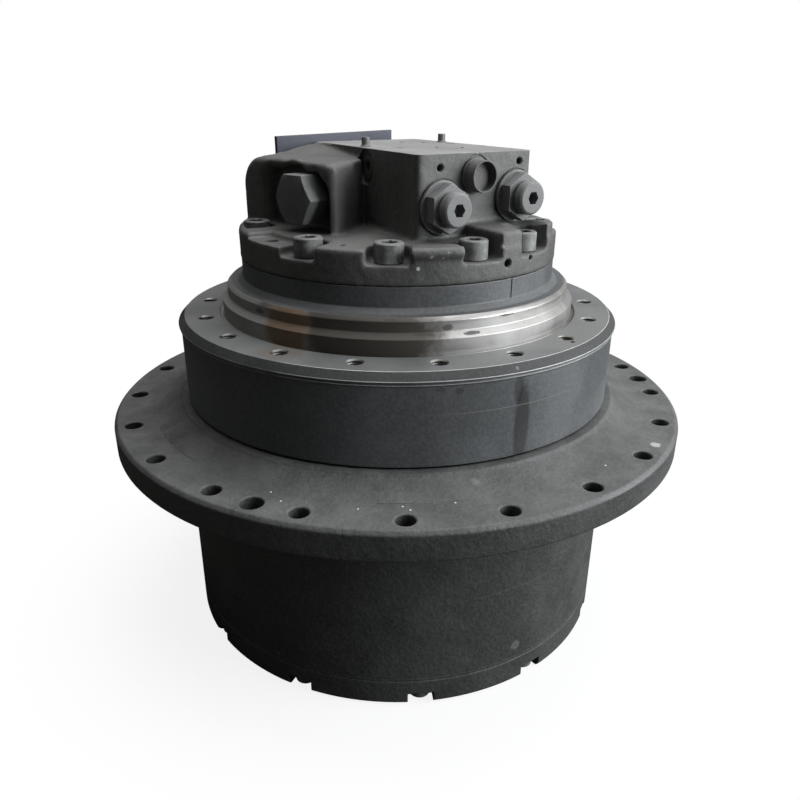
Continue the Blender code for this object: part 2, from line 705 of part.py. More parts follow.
def make_cover_plug(name, angle):
    """A screwed plug with a hexagon socket, its head inside the cover's dish."""
    seat = COVER_DISH_DEPTH - SEAT_GAP
    mesh = bmesh.new()
    profile = [
        (0, seat - PLUG_HEAD_HEIGHT),
        (PLUG_HEAD_RADIUS - EDGE_BREAK, seat - PLUG_HEAD_HEIGHT),
        (PLUG_HEAD_RADIUS, seat - PLUG_HEAD_HEIGHT + EDGE_BREAK),
        (PLUG_HEAD_RADIUS, seat),
        (PLUG_SHANK_RADIUS, seat),
        (PLUG_SHANK_RADIUS, seat + PLUG_SHANK_LENGTH),
        (0, seat + PLUG_SHANK_LENGTH),
    ]
    add_turned(mesh, profile, SMALL_SEGMENTS)
    plug = finish_object(name, mesh, "bolt_steel")
    floor = seat - PLUG_HEAD_HEIGHT
    cut(plug, prism_object(name + "_socket", circle(PLUG_SOCKET_RADIUS, 6), floor - OVERRUN, floor + PLUG_SOCKET_DEPTH))
    place = on_circle(PLUG_CIRCLE, angle)
    move_with_helpers(plug, (place[0], place[1], 0))
    return plug


def move_with_helpers(obj, place):
    """Move an object, and the helpers of its Booleans with it."""
    obj.location = place
    for step in obj.modifiers:
        step.object.location = place


def make_thrust_button():
    """The wear button in the middle of the gear cover, under the sun gear."""
    base = COVER_INNER_FACE + SEAT_GAP
    top = SUN_1_BASE - SEAT_GAP
    profile = [
        (0, base),
        (THRUST_BUTTON_RADIUS, base),
        (THRUST_BUTTON_RADIUS, base + (top - base) * HALF),
        (THRUST_BUTTON_NECK_RADIUS, top),
        (0, top),
    ]
    return turned_object("thrust_button", profile, SMALL_SEGMENTS, "bronze")


def make_gear_housing():
    """The ring gear housing: a drum with internal teeth for both stages."""
    ring_tip_radius = RING_PITCH_RADIUS - ADDENDUM
    housing = turned_object(
        "gear_housing",
        [
            (ring_tip_radius - OVERRUN, HOUSING_BASE),
            (COVER_RADIUS, HOUSING_BASE),
            (COVER_RADIUS, HOUSING_TOP),
            (HOUSING_BORE_RADIUS, HOUSING_TOP),
            (HOUSING_BORE_RADIUS, TOOTH_TOP),
            (ring_tip_radius - OVERRUN, TOOTH_TOP),
        ],
        LARGE_SEGMENTS,
        "hub_paint",
    )
    spaces = gear_outline(RING_TEETH, ring_tip_radius, RING_PITCH_RADIUS + DEDENDUM, -TOOTH_THINNING, 0.0)
    cut(housing, prism_object("gear_housing_teeth", spaces, HOUSING_BASE - OVERRUN, TOOTH_TOP + OVERRUN))
    return housing


def flange_hole_places():
    """Bolt hole places of the sprocket flange."""
    pitch = TURN / FLANGE_HOLES
    return [on_circle(FLANGE_HOLE_CIRCLE, FLANGE_HOLE_START + pitch * i) for i in range(FLANGE_HOLES)]


def jacking_hole_places():
    """Places of the jacking holes, each halfway between two bolt holes."""
    pitch = TURN / FLANGE_HOLES
    start = FLANGE_HOLE_START - pitch * (1 + HALF)
    return [on_circle(FLANGE_HOLE_CIRCLE, start + TURN * i / JACKING_HOLES) for i in range(JACKING_HOLES)]


def make_hub():
    """The hub casting: sprocket flange, pilot, spigot in the housing and seats of both main bearings."""
    bearing_bore = BEARING_OUTER_RADIUS
    shoulder_base = LOWER_BEARING_BASE + BEARING_WIDTH + SEAT_GAP
    shoulder_top = UPPER_BEARING_BASE - SEAT_GAP
    spigot = HOUSING_BORE_RADIUS - SPIGOT_GAP
    hub = turned_object(
        "hub",
        [
            (bearing_bore, SPINDLE_FOOT),
            (spigot, SPINDLE_FOOT),
            (spigot, HUB_PILOT_BASE),
            (COVER_RADIUS, HUB_PILOT_BASE),
            (COVER_RADIUS, FLANGE_BASE),
            (FLANGE_RADIUS - EDGE_BREAK, FLANGE_BASE),
            (FLANGE_RADIUS, FLANGE_BASE + EDGE_BREAK),
            (FLANGE_RADIUS, FLANGE_TOP - FLANGE_CHAMFER),
            (FLANGE_FACE_EDGE, FLANGE_TOP),
            (HUB_CONE_FOOT_RADIUS, FLANGE_TOP),
            (HUB_LIP_FOOT_RADIUS, HUB_TOP - HUB_LIP_CHAMFER),
            (HUB_LIP_RADIUS, HUB_TOP),
            (SEAL_CAVITY_RADIUS, HUB_TOP),
            (SEAL_CAVITY_RADIUS, SEAL_FLOOR),
            (bearing_bore, SEAL_FLOOR),
            (bearing_bore, shoulder_top),
            (HUB_SHOULDER_RADIUS, shoulder_top),
            (HUB_SHOULDER_RADIUS, shoulder_base),
            (bearing_bore, shoulder_base),
        ],
        LARGE_SEGMENTS,
        "hub_paint",
    )
    bolts = hole_profile(FLANGE_HOLE_RADIUS, HUB_PILOT_BASE - OVERRUN, HUB_TOP)
    cut(hub, hole_cutter("hub_bolt_holes", flange_hole_places(), bolts))
    jacks = hole_profile(JACKING_HOLE_RADIUS, HUB_PILOT_BASE - OVERRUN, HUB_TOP)
    cut(hub, hole_cutter("hub_jacking_holes", jacking_hole_places(), jacks))
    return hub


def spindle_outside():
    """The spindle's outer profile, from the lower bearing journal up to the motor cover."""
    journal = BEARING_INNER_RADIUS - SEAT_GAP
    face_edge = FRAME_FACE - FRAME_FACE_CHAMFER
    rib_top = FRAME_FACE - DRUM_RIB_DEPTH + DRUM_RIB_HEIGHT
    wall_top = FRAME_FACE + PILOT_WALL_HEIGHT
    ledge_top = wall_top + PILOT_LEDGE_HEIGHT
    upper_top = ledge_top + PILOT_UPPER_HEIGHT
    return [
        (journal, SPINDLE_FOOT),
        (journal, SHOULDER_BASE),
        (SPINDLE_SHOULDER_RADIUS, SHOULDER_BASE),
        (SPINDLE_SHOULDER_RADIUS, SEAL_ROOF),
        (SEAL_CAVITY_RADIUS, SEAL_ROOF),
        (SEAL_CAVITY_RADIUS, DRUM_BASE),
        (DRUM_RADIUS, DRUM_BASE),
        (DRUM_RADIUS, FRAME_FACE - DRUM_RIB_DEPTH),
        (DRUM_RIB_RADIUS, FRAME_FACE - DRUM_RIB_DEPTH + DRUM_RIB_RAMP),
        (DRUM_RIB_RADIUS, rib_top),
        (DRUM_RADIUS, face_edge),
        (FRAME_FACE_RADIUS, FRAME_FACE),
        (PILOT_RADIUS + PILOT_GROOVE_WIDTH, FRAME_FACE),
        (PILOT_RADIUS + PILOT_GROOVE_WIDTH, FRAME_FACE - PILOT_GROOVE_DEPTH),
        (PILOT_RADIUS, FRAME_FACE - PILOT_GROOVE_DEPTH),
        (PILOT_RADIUS, wall_top),
        (PILOT_UPPER_RADIUS, ledge_top),
        (PILOT_UPPER_RADIUS, upper_top),
        (PILOT_UPPER_RADIUS - PILOT_CHAMFER, PILOT_TOP),
        (CASING_SHOULDER_RADIUS, PILOT_TOP),
        (CASING_RADIUS, PILOT_TOP + CASING_FILLET_HEIGHT),
        (CASING_RADIUS, CASING_TOP),
    ]


def spindle_inside():
    """The spindle's bores, from the motor cover down to the shaft seal."""
    bearing_bore = SHAFT_BEARING_RADIUS + SEAT_GAP
    seal_bore = SHAFT_SEAL_RADIUS + SEAT_GAP
    bearing_seat = SPINDLE_FLOOR_TOP - SHAFT_BEARING_WIDTH - SEAT_GAP
    return [
        (BRAKE_BORE_RADIUS, CASING_TOP),
        (BRAKE_BORE_RADIUS, BRAKE_STEP_HEIGHT),
        (PLATE_BORE_RADIUS, BRAKE_STEP_HEIGHT),
        (PLATE_BORE_RADIUS, PLATE_SHOULDER),
        (MOTOR_BORE_RADIUS, PLATE_SHOULDER),
        (MOTOR_BORE_RADIUS, SPINDLE_FLOOR_TOP),
        (bearing_bore, SPINDLE_FLOOR_TOP),
        (bearing_bore, bearing_seat),
        (seal_bore, bearing_seat),
        (seal_bore, SPINDLE_FOOT),
    ]


def cover_bolt_places():
    """Places of the motor cover's bolts."""
    return [on_circle(COVER_BOLT_CIRCLE, angle) for angle in COVER_BOLT_ANGLES]


def make_spindle():
    """The fixed spindle: frame flange, pilot, motor casing and journals of the main bearings."""
    spindle = turned_object("spindle", spindle_outside() + spindle_inside(), LARGE_SEGMENTS, "spindle_paint")
    pitch = TURN / FRAME_HOLES
    places = [on_circle(FRAME_HOLE_CIRCLE, FRAME_HOLE_START + pitch * i) for i in range(FRAME_HOLES)]
    tapped = hole_profile(FRAME_HOLE_RADIUS, FRAME_FACE - FRAME_HOLE_DEPTH, FRAME_FACE)
    cut(spindle, hole_cutter("spindle_frame_holes", places, tapped))
    bolt_end = MOTOR_COVER_BASE + COVER_POCKET_FLOOR - COVER_BOLT_GRIP - OVERRUN
    bolt_holes = hole_profile(COVER_BOLT_RADIUS + SEAT_GAP, bolt_end, CASING_TOP)
    cut(spindle, hole_cutter("spindle_cover_holes", cover_bolt_places(), bolt_holes, BOLT_SEGMENTS))
    return spindle


def make_main_bearing(name, base):
    """One main bearing as its two races and its ring of caged rollers."""
    top = base + BEARING_WIDTH
    inner_race_radius = BEARING_INNER_RADIUS + RACE_THICKNESS
    outer_bore = BEARING_OUTER_RADIUS - SEAT_GAP
    outer_race_radius = outer_bore - RACE_THICKNESS
    inner = tube_profile(BEARING_INNER_RADIUS, inner_race_radius, base, top)
    outer = tube_profile(outer_race_radius, outer_bore, base, top)
    races = [
        turned_object(name + "_inner_race", inner, LARGE_SEGMENTS, "bright_steel"),
        turned_object(name + "_outer_race", outer, LARGE_SEGMENTS, "bright_steel"),
    ]
    rollers = make_roller_ring(name + "_rollers", inner_race_radius, outer_race_radius, base, top)
    return races, rollers


def make_roller_ring(name, inner_race_radius, outer_race_radius, base, top):
    """The caged rollers of a bearing, as one ring whose outside swells at each roller."""
    facet_loss = 1 - math.cos(TURN / (2 * LARGE_SEGMENTS))
    outer = outer_race_radius * (1 - facet_loss) - ROLLER_GAP
    inner = inner_race_radius + ROLLER_GAP
    swell = (outer - inner) * HALF / ((outer + inner) * HALF)
    outer_line = []
    for i in range(ROLLERS):
        middle = TURN * i / ROLLERS
        for turn, depth in ((-swell, CAGE_WAVE), (-swell * HALF, 0), (swell * HALF, 0), (swell, CAGE_WAVE)):
            outer_line.append(on_circle(outer - depth, middle + turn))
    ring = prism_object(name, outer_line, base + RUNNING_GAP, top - RUNNING_GAP, "gear_steel")
    bore = circle(bore_round(inner, MEDIUM_SEGMENTS), MEDIUM_SEGMENTS)
    cut(ring, prism_object(name + "_bore", bore, base - OVERRUN, top + OVERRUN))
    return ring


def make_seal_rings():
    """The two lapped rings of the floating face seal: one turns with the hub, one stays with the spindle."""
    face = HUB_TOP
    rings = []
    for name, floor, direction in (
        ("seal_ring_rotating", SEAL_FLOOR + SEAT_GAP, 1),
        ("seal_ring_static", SEAL_ROOF - SEAT_GAP, -1),
    ):
        contact = face - direction * SEAT_GAP * HALF
        lip = floor + direction * SEAL_RING_LIP_HEIGHT
        profile = [
            (SEAL_RING_INNER_RADIUS, floor),
            (SEAL_RING_OUTER_RADIUS, floor),
            (SEAL_RING_OUTER_RADIUS, lip),
            (SEAL_RING_LIP_RADIUS, contact),
            (SEAL_RING_INNER_RADIUS, contact),
        ]
        rings.append(turned_object(name, profile, LARGE_SEGMENTS, "bright_steel"))
    return rings


def make_second_carrier():
    """The second stage's carrier, a cage with three windows, fixed under the spindle."""
    carrier = turned_object(
        "second_stage_carrier",
        chamfered_tube_profile(
            CARRIER_2_BORE_RADIUS, CARRIER_2_RADIUS, CARRIER_2_BASE, CARRIER_2_TOP, COVER_RIM_CHAMFER
        ),
        LARGE_SEGMENTS,
        "cast_steel",
    )
    centres = [on_circle(PLANET_2_CENTRE, angle) for angle in planet_angles()]
    window = [
        (0, CARRIER_2_WINDOW_BASE),
        (PLANET_2_TIP_RADIUS + WINDOW_CLEARANCE, CARRIER_2_WINDOW_BASE),
        (PLANET_2_TIP_RADIUS + WINDOW_CLEARANCE, CARRIER_2_WINDOW_TOP),
        (0, CARRIER_2_WINDOW_TOP),
    ]
    windows = bmesh.new()
    for angle in planet_angles():
        arm = Matrix.Rotation(angle, 4, "Z") @ Matrix.Translation(Vector((PLANET_2_CENTRE, 0, 0)))
        add_turned(windows, window, MEDIUM_SEGMENTS, arm)
    cut(carrier, finish_object("carrier_2_windows", windows))
    sun_room = SUN_2_TIP_RADIUS + WINDOW_CLEARANCE
    middle = [(0, CARRIER_2_BASE - OVERRUN), (sun_room, CARRIER_2_BASE - OVERRUN)]
    sun_roof = CARRIER_2_WINDOW_TOP + STAGE_SIDE_GAP
    middle += [(sun_room, sun_roof), (0, sun_roof)]
    cut(carrier, turned_object("carrier_2_sun_room", middle, MEDIUM_SEGMENTS))
    pin_base = CARRIER_2_WINDOW_BASE - CARRIER_2_LOWER_PLATE * HALF
    pin_top = CARRIER_2_WINDOW_TOP + CARRIER_2_UPPER_PLATE * HALF
    pins = bmesh.new()
    for centre in centres:
        pin = circle(PIN_2_RADIUS, SMALL_SEGMENTS)
        add_prism(pins, [centre + point for point in pin], pin_base, pin_top)
    join(carrier, finish_object("carrier_2_pins", pins))
    return carrier


def make_planet(name, teeth, pin_radius, width, centre, base, start):
    """A planet gear with its origin on its own pin."""
    planet = prism_object(name, external_gear_outline(teeth, start), 0, width, "gear_steel")
    bore = circle(bore_round(pin_radius, SMALL_SEGMENTS), SMALL_SEGMENTS)
    cut(planet, prism_object(name + "_bore", bore, -OVERRUN, width + OVERRUN))
    move_with_helpers(planet, (centre[0], centre[1], base))
    return planet


def make_planets(stage, teeth, pin_radius, width, centre_distance, base):
    """The planets of one stage, each with a tooth pointing outwards along its arm."""
    planets = []
    for number, angle in enumerate(planet_angles(), start=1):
        name = f"planet_gear_{stage}_{number}"
        centre = on_circle(centre_distance, angle)
        planets.append(make_planet(name, teeth, pin_radius, width, centre, base, angle))
    return planets


def make_second_sun():
    """The second stage's sun gear, whose journal sits in the first stage's carrier."""
    journal_base = CARRIER_1_BASE
    teeth_base = CARRIER_2_WINDOW_BASE
    teeth_top = CARRIER_2_WINDOW_TOP - STAGE_SIDE_GAP
    start = PLANET_START
    sun = prism_object("sun_gear_2", external_gear_outline(SUN_2_TEETH, start), teeth_base, teeth_top, "gear_steel")
    journal = [
        (0, journal_base),
        (SUN_2_JOURNAL_RADIUS, journal_base),
        (SUN_2_JOURNAL_RADIUS, teeth_base + OVERRUN),
        (0, teeth_base + OVERRUN),
    ]
    join(sun, turned_object("sun_gear_2_journal", journal, MEDIUM_SEGMENTS))
    bore = circle(SUN_2_BORE_RADIUS, MEDIUM_SEGMENTS)
    cut(sun, prism_object("sun_gear_2_bore", bore, journal_base - OVERRUN, teeth_top + OVERRUN))
    return sun


def make_first_carrier():
    """The first stage's carrier: a plate with three pins, driving the second sun gear."""
    carrier = turned_object(
        "first_stage_carrier",
        chamfered_tube_profile(
            SUN_2_JOURNAL_RADIUS + SEAT_GAP, CARRIER_1_RADIUS, CARRIER_1_BASE, CARRIER_1_TOP, EDGE_BREAK
        ),
        MEDIUM_SEGMENTS,
        "cast_steel",
    )
    pins = bmesh.new()
    for angle in planet_angles():
        centre = on_circle(PLANET_1_CENTRE, angle)
        pin = circle(PIN_1_RADIUS, SMALL_SEGMENTS)
        pin_top = CARRIER_1_BASE + CARRIER_1_THICKNESS * HALF
        add_prism(pins, [centre + point for point in pin], PLANET_1_BASE - STAGE_SIDE_GAP, pin_top)
    join(carrier, finish_object("carrier_1_pins", pins))
    return carrier


def make_first_sun():
    """The first stage's sun gear on the end of the drive shaft."""
    start = PLANET_START + TURN / (2 * SUN_1_TEETH)
    sun = prism_object("sun_gear_1", external_gear_outline(SUN_1_TEETH, start), SUN_1_BASE, SUN_1_TOP, "gear_steel")
    bore = circle(SHAFT_END_RADIUS + SEAT_GAP, SMALL_SEGMENTS)
    cut(sun, prism_object("sun_gear_1_bore", bore, SUN_1_BASE - OVERRUN, SUN_1_TOP + OVERRUN))
    return sun


def make_drive_shaft():
    """The motor's shaft, from the first sun gear up to the bearing in the motor cover."""
    step = SUN_1_TOP + SEAT_GAP
    upper_step = VALVE_PLATE_TOP - VALVE_PLATE_THICKNESS
    top = MOTOR_COVER_BASE + SHAFT_END_LENGTH
    profile = [
        (0, SUN_1_BASE + EDGE_BREAK),
        (SHAFT_END_RADIUS, SUN_1_BASE + EDGE_BREAK),
        (SHAFT_END_RADIUS, step),
        (SHAFT_RADIUS, step),
        (SHAFT_RADIUS, upper_step),
        (SHAFT_END_RADIUS, upper_step),
        (SHAFT_END_RADIUS, top - EDGE_BREAK),
        (SHAFT_END_RADIUS - EDGE_BREAK, top),
        (0, top),
    ]
    return turned_object("drive_shaft", profile, SMALL_SEGMENTS, "bright_steel")


def make_shaft_supports():
    """The two shaft bearings and the shaft seal."""
    bearing_base = SPINDLE_FLOOR_TOP - SHAFT_BEARING_WIDTH
    shaft_bore = bore_round(SHAFT_RADIUS, MEDIUM_SEGMENTS)
    front = tube_profile(shaft_bore, SHAFT_BEARING_RADIUS, bearing_base, SPINDLE_FLOOR_TOP)
    rear_base = MOTOR_COVER_BASE + SEAT_GAP
    rear_inner = bore_round(SHAFT_END_RADIUS, MEDIUM_SEGMENTS)
    rear = tube_profile(rear_inner, REAR_BEARING_RADIUS, rear_base, rear_base + REAR_BEARING_WIDTH)
    seal_top = bearing_base - 2 * SEAT_GAP
    seal = tube_profile(shaft_bore, SHAFT_SEAL_RADIUS, seal_top - SHAFT_SEAL_WIDTH, seal_top)
    turned_object("shaft_bearing_front", front, MEDIUM_SEGMENTS, "bright_steel")
    turned_object("shaft_bearing_rear", rear, MEDIUM_SEGMENTS, "bright_steel")
    turned_object("shaft_seal", seal, MEDIUM_SEGMENTS, "rubber")


def lying_cylinder(name, radius, length, segments):
    """A cylinder about a horizontal axis along X, centred on the origin."""
    frame = facing(0.0, (0, 0), 0)
    return prism_object(name, circle(radius, segments), -length * HALF, length * HALF, None, frame)


def make_swash_cradle():
    """The cradle on the spindle's floor, with the round trough that the swash plate rocks in."""
    base = SPINDLE_FLOOR_TOP + SEAT_GAP
    profile = tube_profile(CRADLE_BORE_RADIUS, CRADLE_RADIUS, base, base + CRADLE_HEIGHT)
    cradle = turned_object("swash_cradle", profile, MEDIUM_SEGMENTS, "bronze")
    trough_radius = bore_round(SWASH_RADIUS, LARGE_SEGMENTS)
    trough = lying_cylinder("swash_cradle_trough", trough_radius, 2 * CRADLE_RADIUS + OVERRUN, LARGE_SEGMENTS)
    trough.location = (0, 0, SWASH_AXIS_HEIGHT)
    cut(cradle, trough)
    return cradle


def make_swash_plate():
    """The swash plate: the lower part of a lying cylinder, cut by its tilted face, with its origin on its axis."""
    swash = lying_cylinder("swash_plate", SWASH_RADIUS, SWASH_LENGTH, LARGE_SEGMENTS)
    swash.data.materials.append(material("gear_steel"))
    reach = 2 * SWASH_RADIUS
    side = Vector((reach, reach))
    square = [Vector((-side[0], -side[1])), Vector((side[0], -side[1])), side, Vector((-side[0], side[1]))]
    above = prism_object("swash_plate_face", square, -SWASH_FACE_DROP, reach)
    above.rotation_euler = (SWASH_REST_TILT, 0, 0)
    cut(swash, above)
    cut(swash, prism_object("swash_plate_bore", circle(SWASH_BORE_RADIUS, SMALL_SEGMENTS), -reach, reach))
    move_with_helpers(swash, (0, 0, SWASH_AXIS_HEIGHT))
    return swash


def piston_centres():
    """Places of the pistons round the shaft."""
    return [on_circle(PISTON_CIRCLE, TURN * i / PISTONS) for i in range(PISTONS)]


def make_piston_set():
    """The nine pistons with their slippers and the retainer plate that holds them."""
    retainer_top = RETAINER_BASE + RETAINER_THICKNESS
    profile = tube_profile(RETAINER_BORE_RADIUS, RETAINER_RADIUS, RETAINER_BASE, retainer_top)
    pistons = turned_object("piston_set", profile, MEDIUM_SEGMENTS, "bright_steel")
    shapes = bmesh.new()
    for centre in piston_centres():
        piston_frame = Matrix.Translation(Vector((centre[0], centre[1], 0)))
        column = [
            (0, SLIPPER_BASE),
            (SLIPPER_RADIUS, SLIPPER_BASE),
            (SLIPPER_RADIUS, RETAINER_BASE + RETAINER_THICKNESS * HALF),
            (PISTON_RADIUS, RETAINER_BASE + RETAINER_THICKNESS * HALF),
            (PISTON_RADIUS, retainer_top + PISTON_LENGTH),
            (0, retainer_top + PISTON_LENGTH),
        ]
        add_turned(shapes, column, HOLE_SEGMENTS, piston_frame)
    join(pistons, finish_object("piston_columns", shapes))
    return pistons


def make_cylinder_block():
    """The cylinder block, with nine bores from below that narrow to the ports above."""
    profile = tube_profile(bore_round(SHAFT_RADIUS, MEDIUM_SEGMENTS), BLOCK_RADIUS, CYLINDER_BASE, BLOCK_GROUP_TOP)
    block = turned_object("cylinder_block", profile, MEDIUM_SEGMENTS, "gear_steel")
    bore_top = CYLINDER_BASE + BLOCK_BORE_DEPTH
    bore = [
        (0, CYLINDER_BASE - OVERRUN),
        (PISTON_RADIUS + SEAT_GAP, CYLINDER_BASE - OVERRUN),
        (PISTON_RADIUS + SEAT_GAP, bore_top),
        (BLOCK_PORT_RADIUS, bore_top),
        (BLOCK_PORT_RADIUS, BLOCK_GROUP_TOP + OVERRUN),
        (0, BLOCK_GROUP_TOP + OVERRUN),
    ]
    cut(block, hole_cutter("cylinder_bores", piston_centres(), bore))
    return block


def make_valve_plate():
    """The valve plate between the cylinder block and the motor cover."""
    base = VALVE_PLATE_TOP - VALVE_PLATE_THICKNESS
    profile = tube_profile(VALVE_PLATE_BORE_RADIUS, VALVE_PLATE_RADIUS, base, VALVE_PLATE_TOP)
    return turned_object("valve_plate", profile, MEDIUM_SEGMENTS, "bronze")


def make_brake():
    """The parking brake: a stack of plates and discs, the stepped piston and its disc spring."""
    plate_outer = PLATE_BORE_RADIUS - SEAT_GAP
    disc_inner = BLOCK_RADIUS + SEAT_GAP
    discs = []
    for i in range(BRAKE_PAIRS):
        plate_base = BRAKE_STACK_BASE + 2 * i * BRAKE_STACK_STEP
        disc_base = plate_base + BRAKE_STACK_STEP
        plate = tube_profile(BRAKE_PLATE_INNER_RADIUS, plate_outer, plate_base, plate_base + BRAKE_PLATE_THICKNESS)
        disc = tube_profile(disc_inner, BRAKE_DISC_OUTER_RADIUS, disc_base, disc_base + BRAKE_PLATE_THICKNESS)
        turned_object(f"brake_plate_{i + 1}", plate, LARGE_SEGMENTS, "gear_steel")
        discs.append(turned_object(f"brake_disc_{i + 1}", disc, MEDIUM_SEGMENTS, "friction"))
    flange_base = BRAKE_STEP_HEIGHT + BRAKE_TRAVEL
    piston = turned_object(
        "brake_piston",
        [
            (BRAKE_PISTON_INNER_RADIUS, BRAKE_PISTON_BASE),
            (plate_outer, BRAKE_PISTON_BASE),
            (plate_outer, flange_base),
            (BRAKE_BORE_RADIUS - SEAT_GAP, flange_base),
            (BRAKE_BORE_RADIUS - SEAT_GAP, BRAKE_PISTON_TOP),
            (BRAKE_PISTON_INNER_RADIUS, BRAKE_PISTON_TOP),
        ],
        LARGE_SEGMENTS,
        "cast_steel",
    )
    outer = BRAKE_BORE_RADIUS - SEAT_GAP
    spring = turned_object(
        "brake_disc_spring",
        [
            (BRAKE_SPRING_INNER_RADIUS, BRAKE_SPRING_TOP - BRAKE_SPRING_THICKNESS),
            (outer, BRAKE_SPRING_TOP - BRAKE_SPRING_THICKNESS - BRAKE_SPRING_RISE),
            (outer, BRAKE_SPRING_TOP - BRAKE_SPRING_RISE),
            (BRAKE_SPRING_INNER_RADIUS, BRAKE_SPRING_TOP),
        ],
        LARGE_SEGMENTS,
        "gear_steel",
    )
    return discs, piston, spring


def block_corners():
    """The four corners of the valve block: front, right, back and left."""
    right = BLOCK_FRONT_CORNER + on_circle(BLOCK_RIGHT_LENGTH, BLOCK_RIGHT_ANGLE)
    left_side = on_circle(BLOCK_LEFT_LENGTH, BLOCK_LEFT_ANGLE)
    return [BLOCK_FRONT_CORNER, right, right + left_side, BLOCK_FRONT_CORNER + left_side]


def port_plate_start():
    """Where the port plate starts along its face: this far inside the end of the valve housing's round."""
    left = block_corners()[3]
    along = left.dot(on_circle(1, BLOCK_RIGHT_ANGLE))
    housing_end = along + math.sqrt(along**2 + VALVE_HOUSING_RADIUS**2 - left.length_squared)
    return PORT_PLATE_INSET - housing_end


def valve_housing_outline():
    """The outline of the counterbalance valve's housing, from its fold with the block round to the back."""
    front, _, back, left = block_corners()
    face = on_circle(VALVE_HOUSING_FACE_DISTANCE, VALVE_HOUSING_FACE_ANGLE)
    along = on_circle(VALVE_HOUSING_FACE_END, VALVE_HOUSING_FACE_ANGLE + TURN / 4)
    fold = front + on_circle(VALVE_HOUSING_FOLD, BLOCK_LEFT_ANGLE) + on_circle(VALVE_HOUSING_INSET, BLOCK_RIGHT_ANGLE)
    inside = fold + on_circle(BLOCK_RIGHT_LENGTH * HALF, BLOCK_RIGHT_ANGLE)
    near_back = left + (back - left) * HALF - on_circle(VALVE_HOUSING_INSET, BLOCK_LEFT_ANGLE)
    behind = on_circle(1, BLOCK_RIGHT_ANGLE)
    ahead = face.normalized()
    corner = near_back + behind * (VALVE_HOUSING_FACE_DISTANCE - near_back.dot(ahead)) / behind.dot(ahead)
    return [face + along, fold, inside, near_back, corner]


def sector_outline(inner, outer, start, end, steps):
    """The outline of a ring's sector."""
    angles = [start + (end - start) * i / steps for i in range(steps + 1)]
    return [on_circle(outer, a) for a in angles] + [on_circle(inner, a) for a in reversed(angles)]


def make_valve_housing():
    """The counterbalance valve's housing, with its sloped top and its rounded outer edge."""
    base = MOTOR_COVER_TOP - BLOCK_SINK
    housing = prism_object("valve_housing", valve_housing_outline(), base, BLOCK_TOP)
    left = block_corners()[3]
    ramp = [
        Vector((0, 0)),
        Vector((VALVE_HOUSING_RAMP, -VALVE_HOUSING_DROP)),
        Vector((4 * VALVE_HOUSING_RADIUS, -VALVE_HOUSING_DROP)),
        Vector((4 * VALVE_HOUSING_RADIUS, VALVE_HOUSING_RAMP)),
        Vector((0, VALVE_HOUSING_RAMP)),
    ]
    frame = facing(VALVE_HOUSING_RAMP_ANGLE - TURN / 4, left, BLOCK_TOP)
    reach = 2 * VALVE_HOUSING_RADIUS
    cut(housing, prism_object("valve_housing_ramp", ramp, -reach, reach, None, frame))
    dome_top = BLOCK_TOP - VALVE_HOUSING_DROP + VALVE_HOUSING_INSET
    dome_radius = reach
    arc = []
    for i in range(ROUND_STEPS + 1):
        angle = TURN / 4 * i / ROUND_STEPS
        radius = VALVE_HOUSING_RADIUS - VALVE_HOUSING_ROUND * (1 - math.cos(angle))
        arc.append((radius, dome_top - VALVE_HOUSING_ROUND * (1 - math.sin(angle))))
    above = BLOCK_TOP + OVERRUN
    below = base - OVERRUN
    outline = [(dome_radius, below), (VALVE_HOUSING_RADIUS, below)] + arc + [(arc[-1][0], above), (dome_radius, above)]
    cut(housing, turned_object("valve_housing_round", outline, LARGE_SEGMENTS))
    recess_frame = facing(VALVE_HOUSING_FACE_ANGLE, (0, 0), MOTOR_COVER_TOP)
    recess = prism_object("valve_housing_recess", recess_outline(), VALVE_RECESS_FLOOR, reach, None, recess_frame)
    cut(housing, recess)
    return housing


def recess_outline():
    """The outline of the recess in the valve housing's face, with two round upper corners."""
    middle_height = VALVE_RECESS_TOP - VALVE_RECESS_ROUND
    right = Vector((VALVE_RECESS_END - VALVE_RECESS_ROUND, middle_height))
    left = Vector((VALVE_RECESS_START + VALVE_RECESS_ROUND, middle_height))
    quarter = TURN / 4
    outline = [right + on_circle(VALVE_RECESS_ROUND, quarter * i / ROUND_STEPS) for i in range(ROUND_STEPS + 1)]
    outline += [left + on_circle(VALVE_RECESS_ROUND, quarter + quarter * i / ROUND_STEPS) for i in range(ROUND_STEPS + 1)]
    below = -BLOCK_SINK - OVERRUN
    return outline + [Vector((VALVE_RECESS_START, below)), Vector((VALVE_RECESS_END, below))]


def cover_head_pocket(mesh, angle):
    """The pocket for one bolt head, round inside and wider towards the cover's rim."""
    centre = on_circle(COVER_BOLT_CIRCLE, angle)
    side = TURN / 4
    inner = [
        centre + on_circle(HEAD_POCKET_RADIUS, angle + side + TURN * HALF * i / HOLE_SEGMENTS)
        for i in range(HOLE_SEGMENTS + 1)
    ]
    reach = MOTOR_COVER_RADIUS + OVERRUN - COVER_BOLT_CIRCLE
    outwards = on_circle(reach, angle)
    across = on_circle(HEAD_POCKET_MOUTH, angle + side)
    floor = MOTOR_COVER_BASE + COVER_POCKET_FLOOR
    add_prism(mesh, inner + [centre + outwards - across, centre + outwards + across], floor, BLOCK_TOP + OVERRUN)


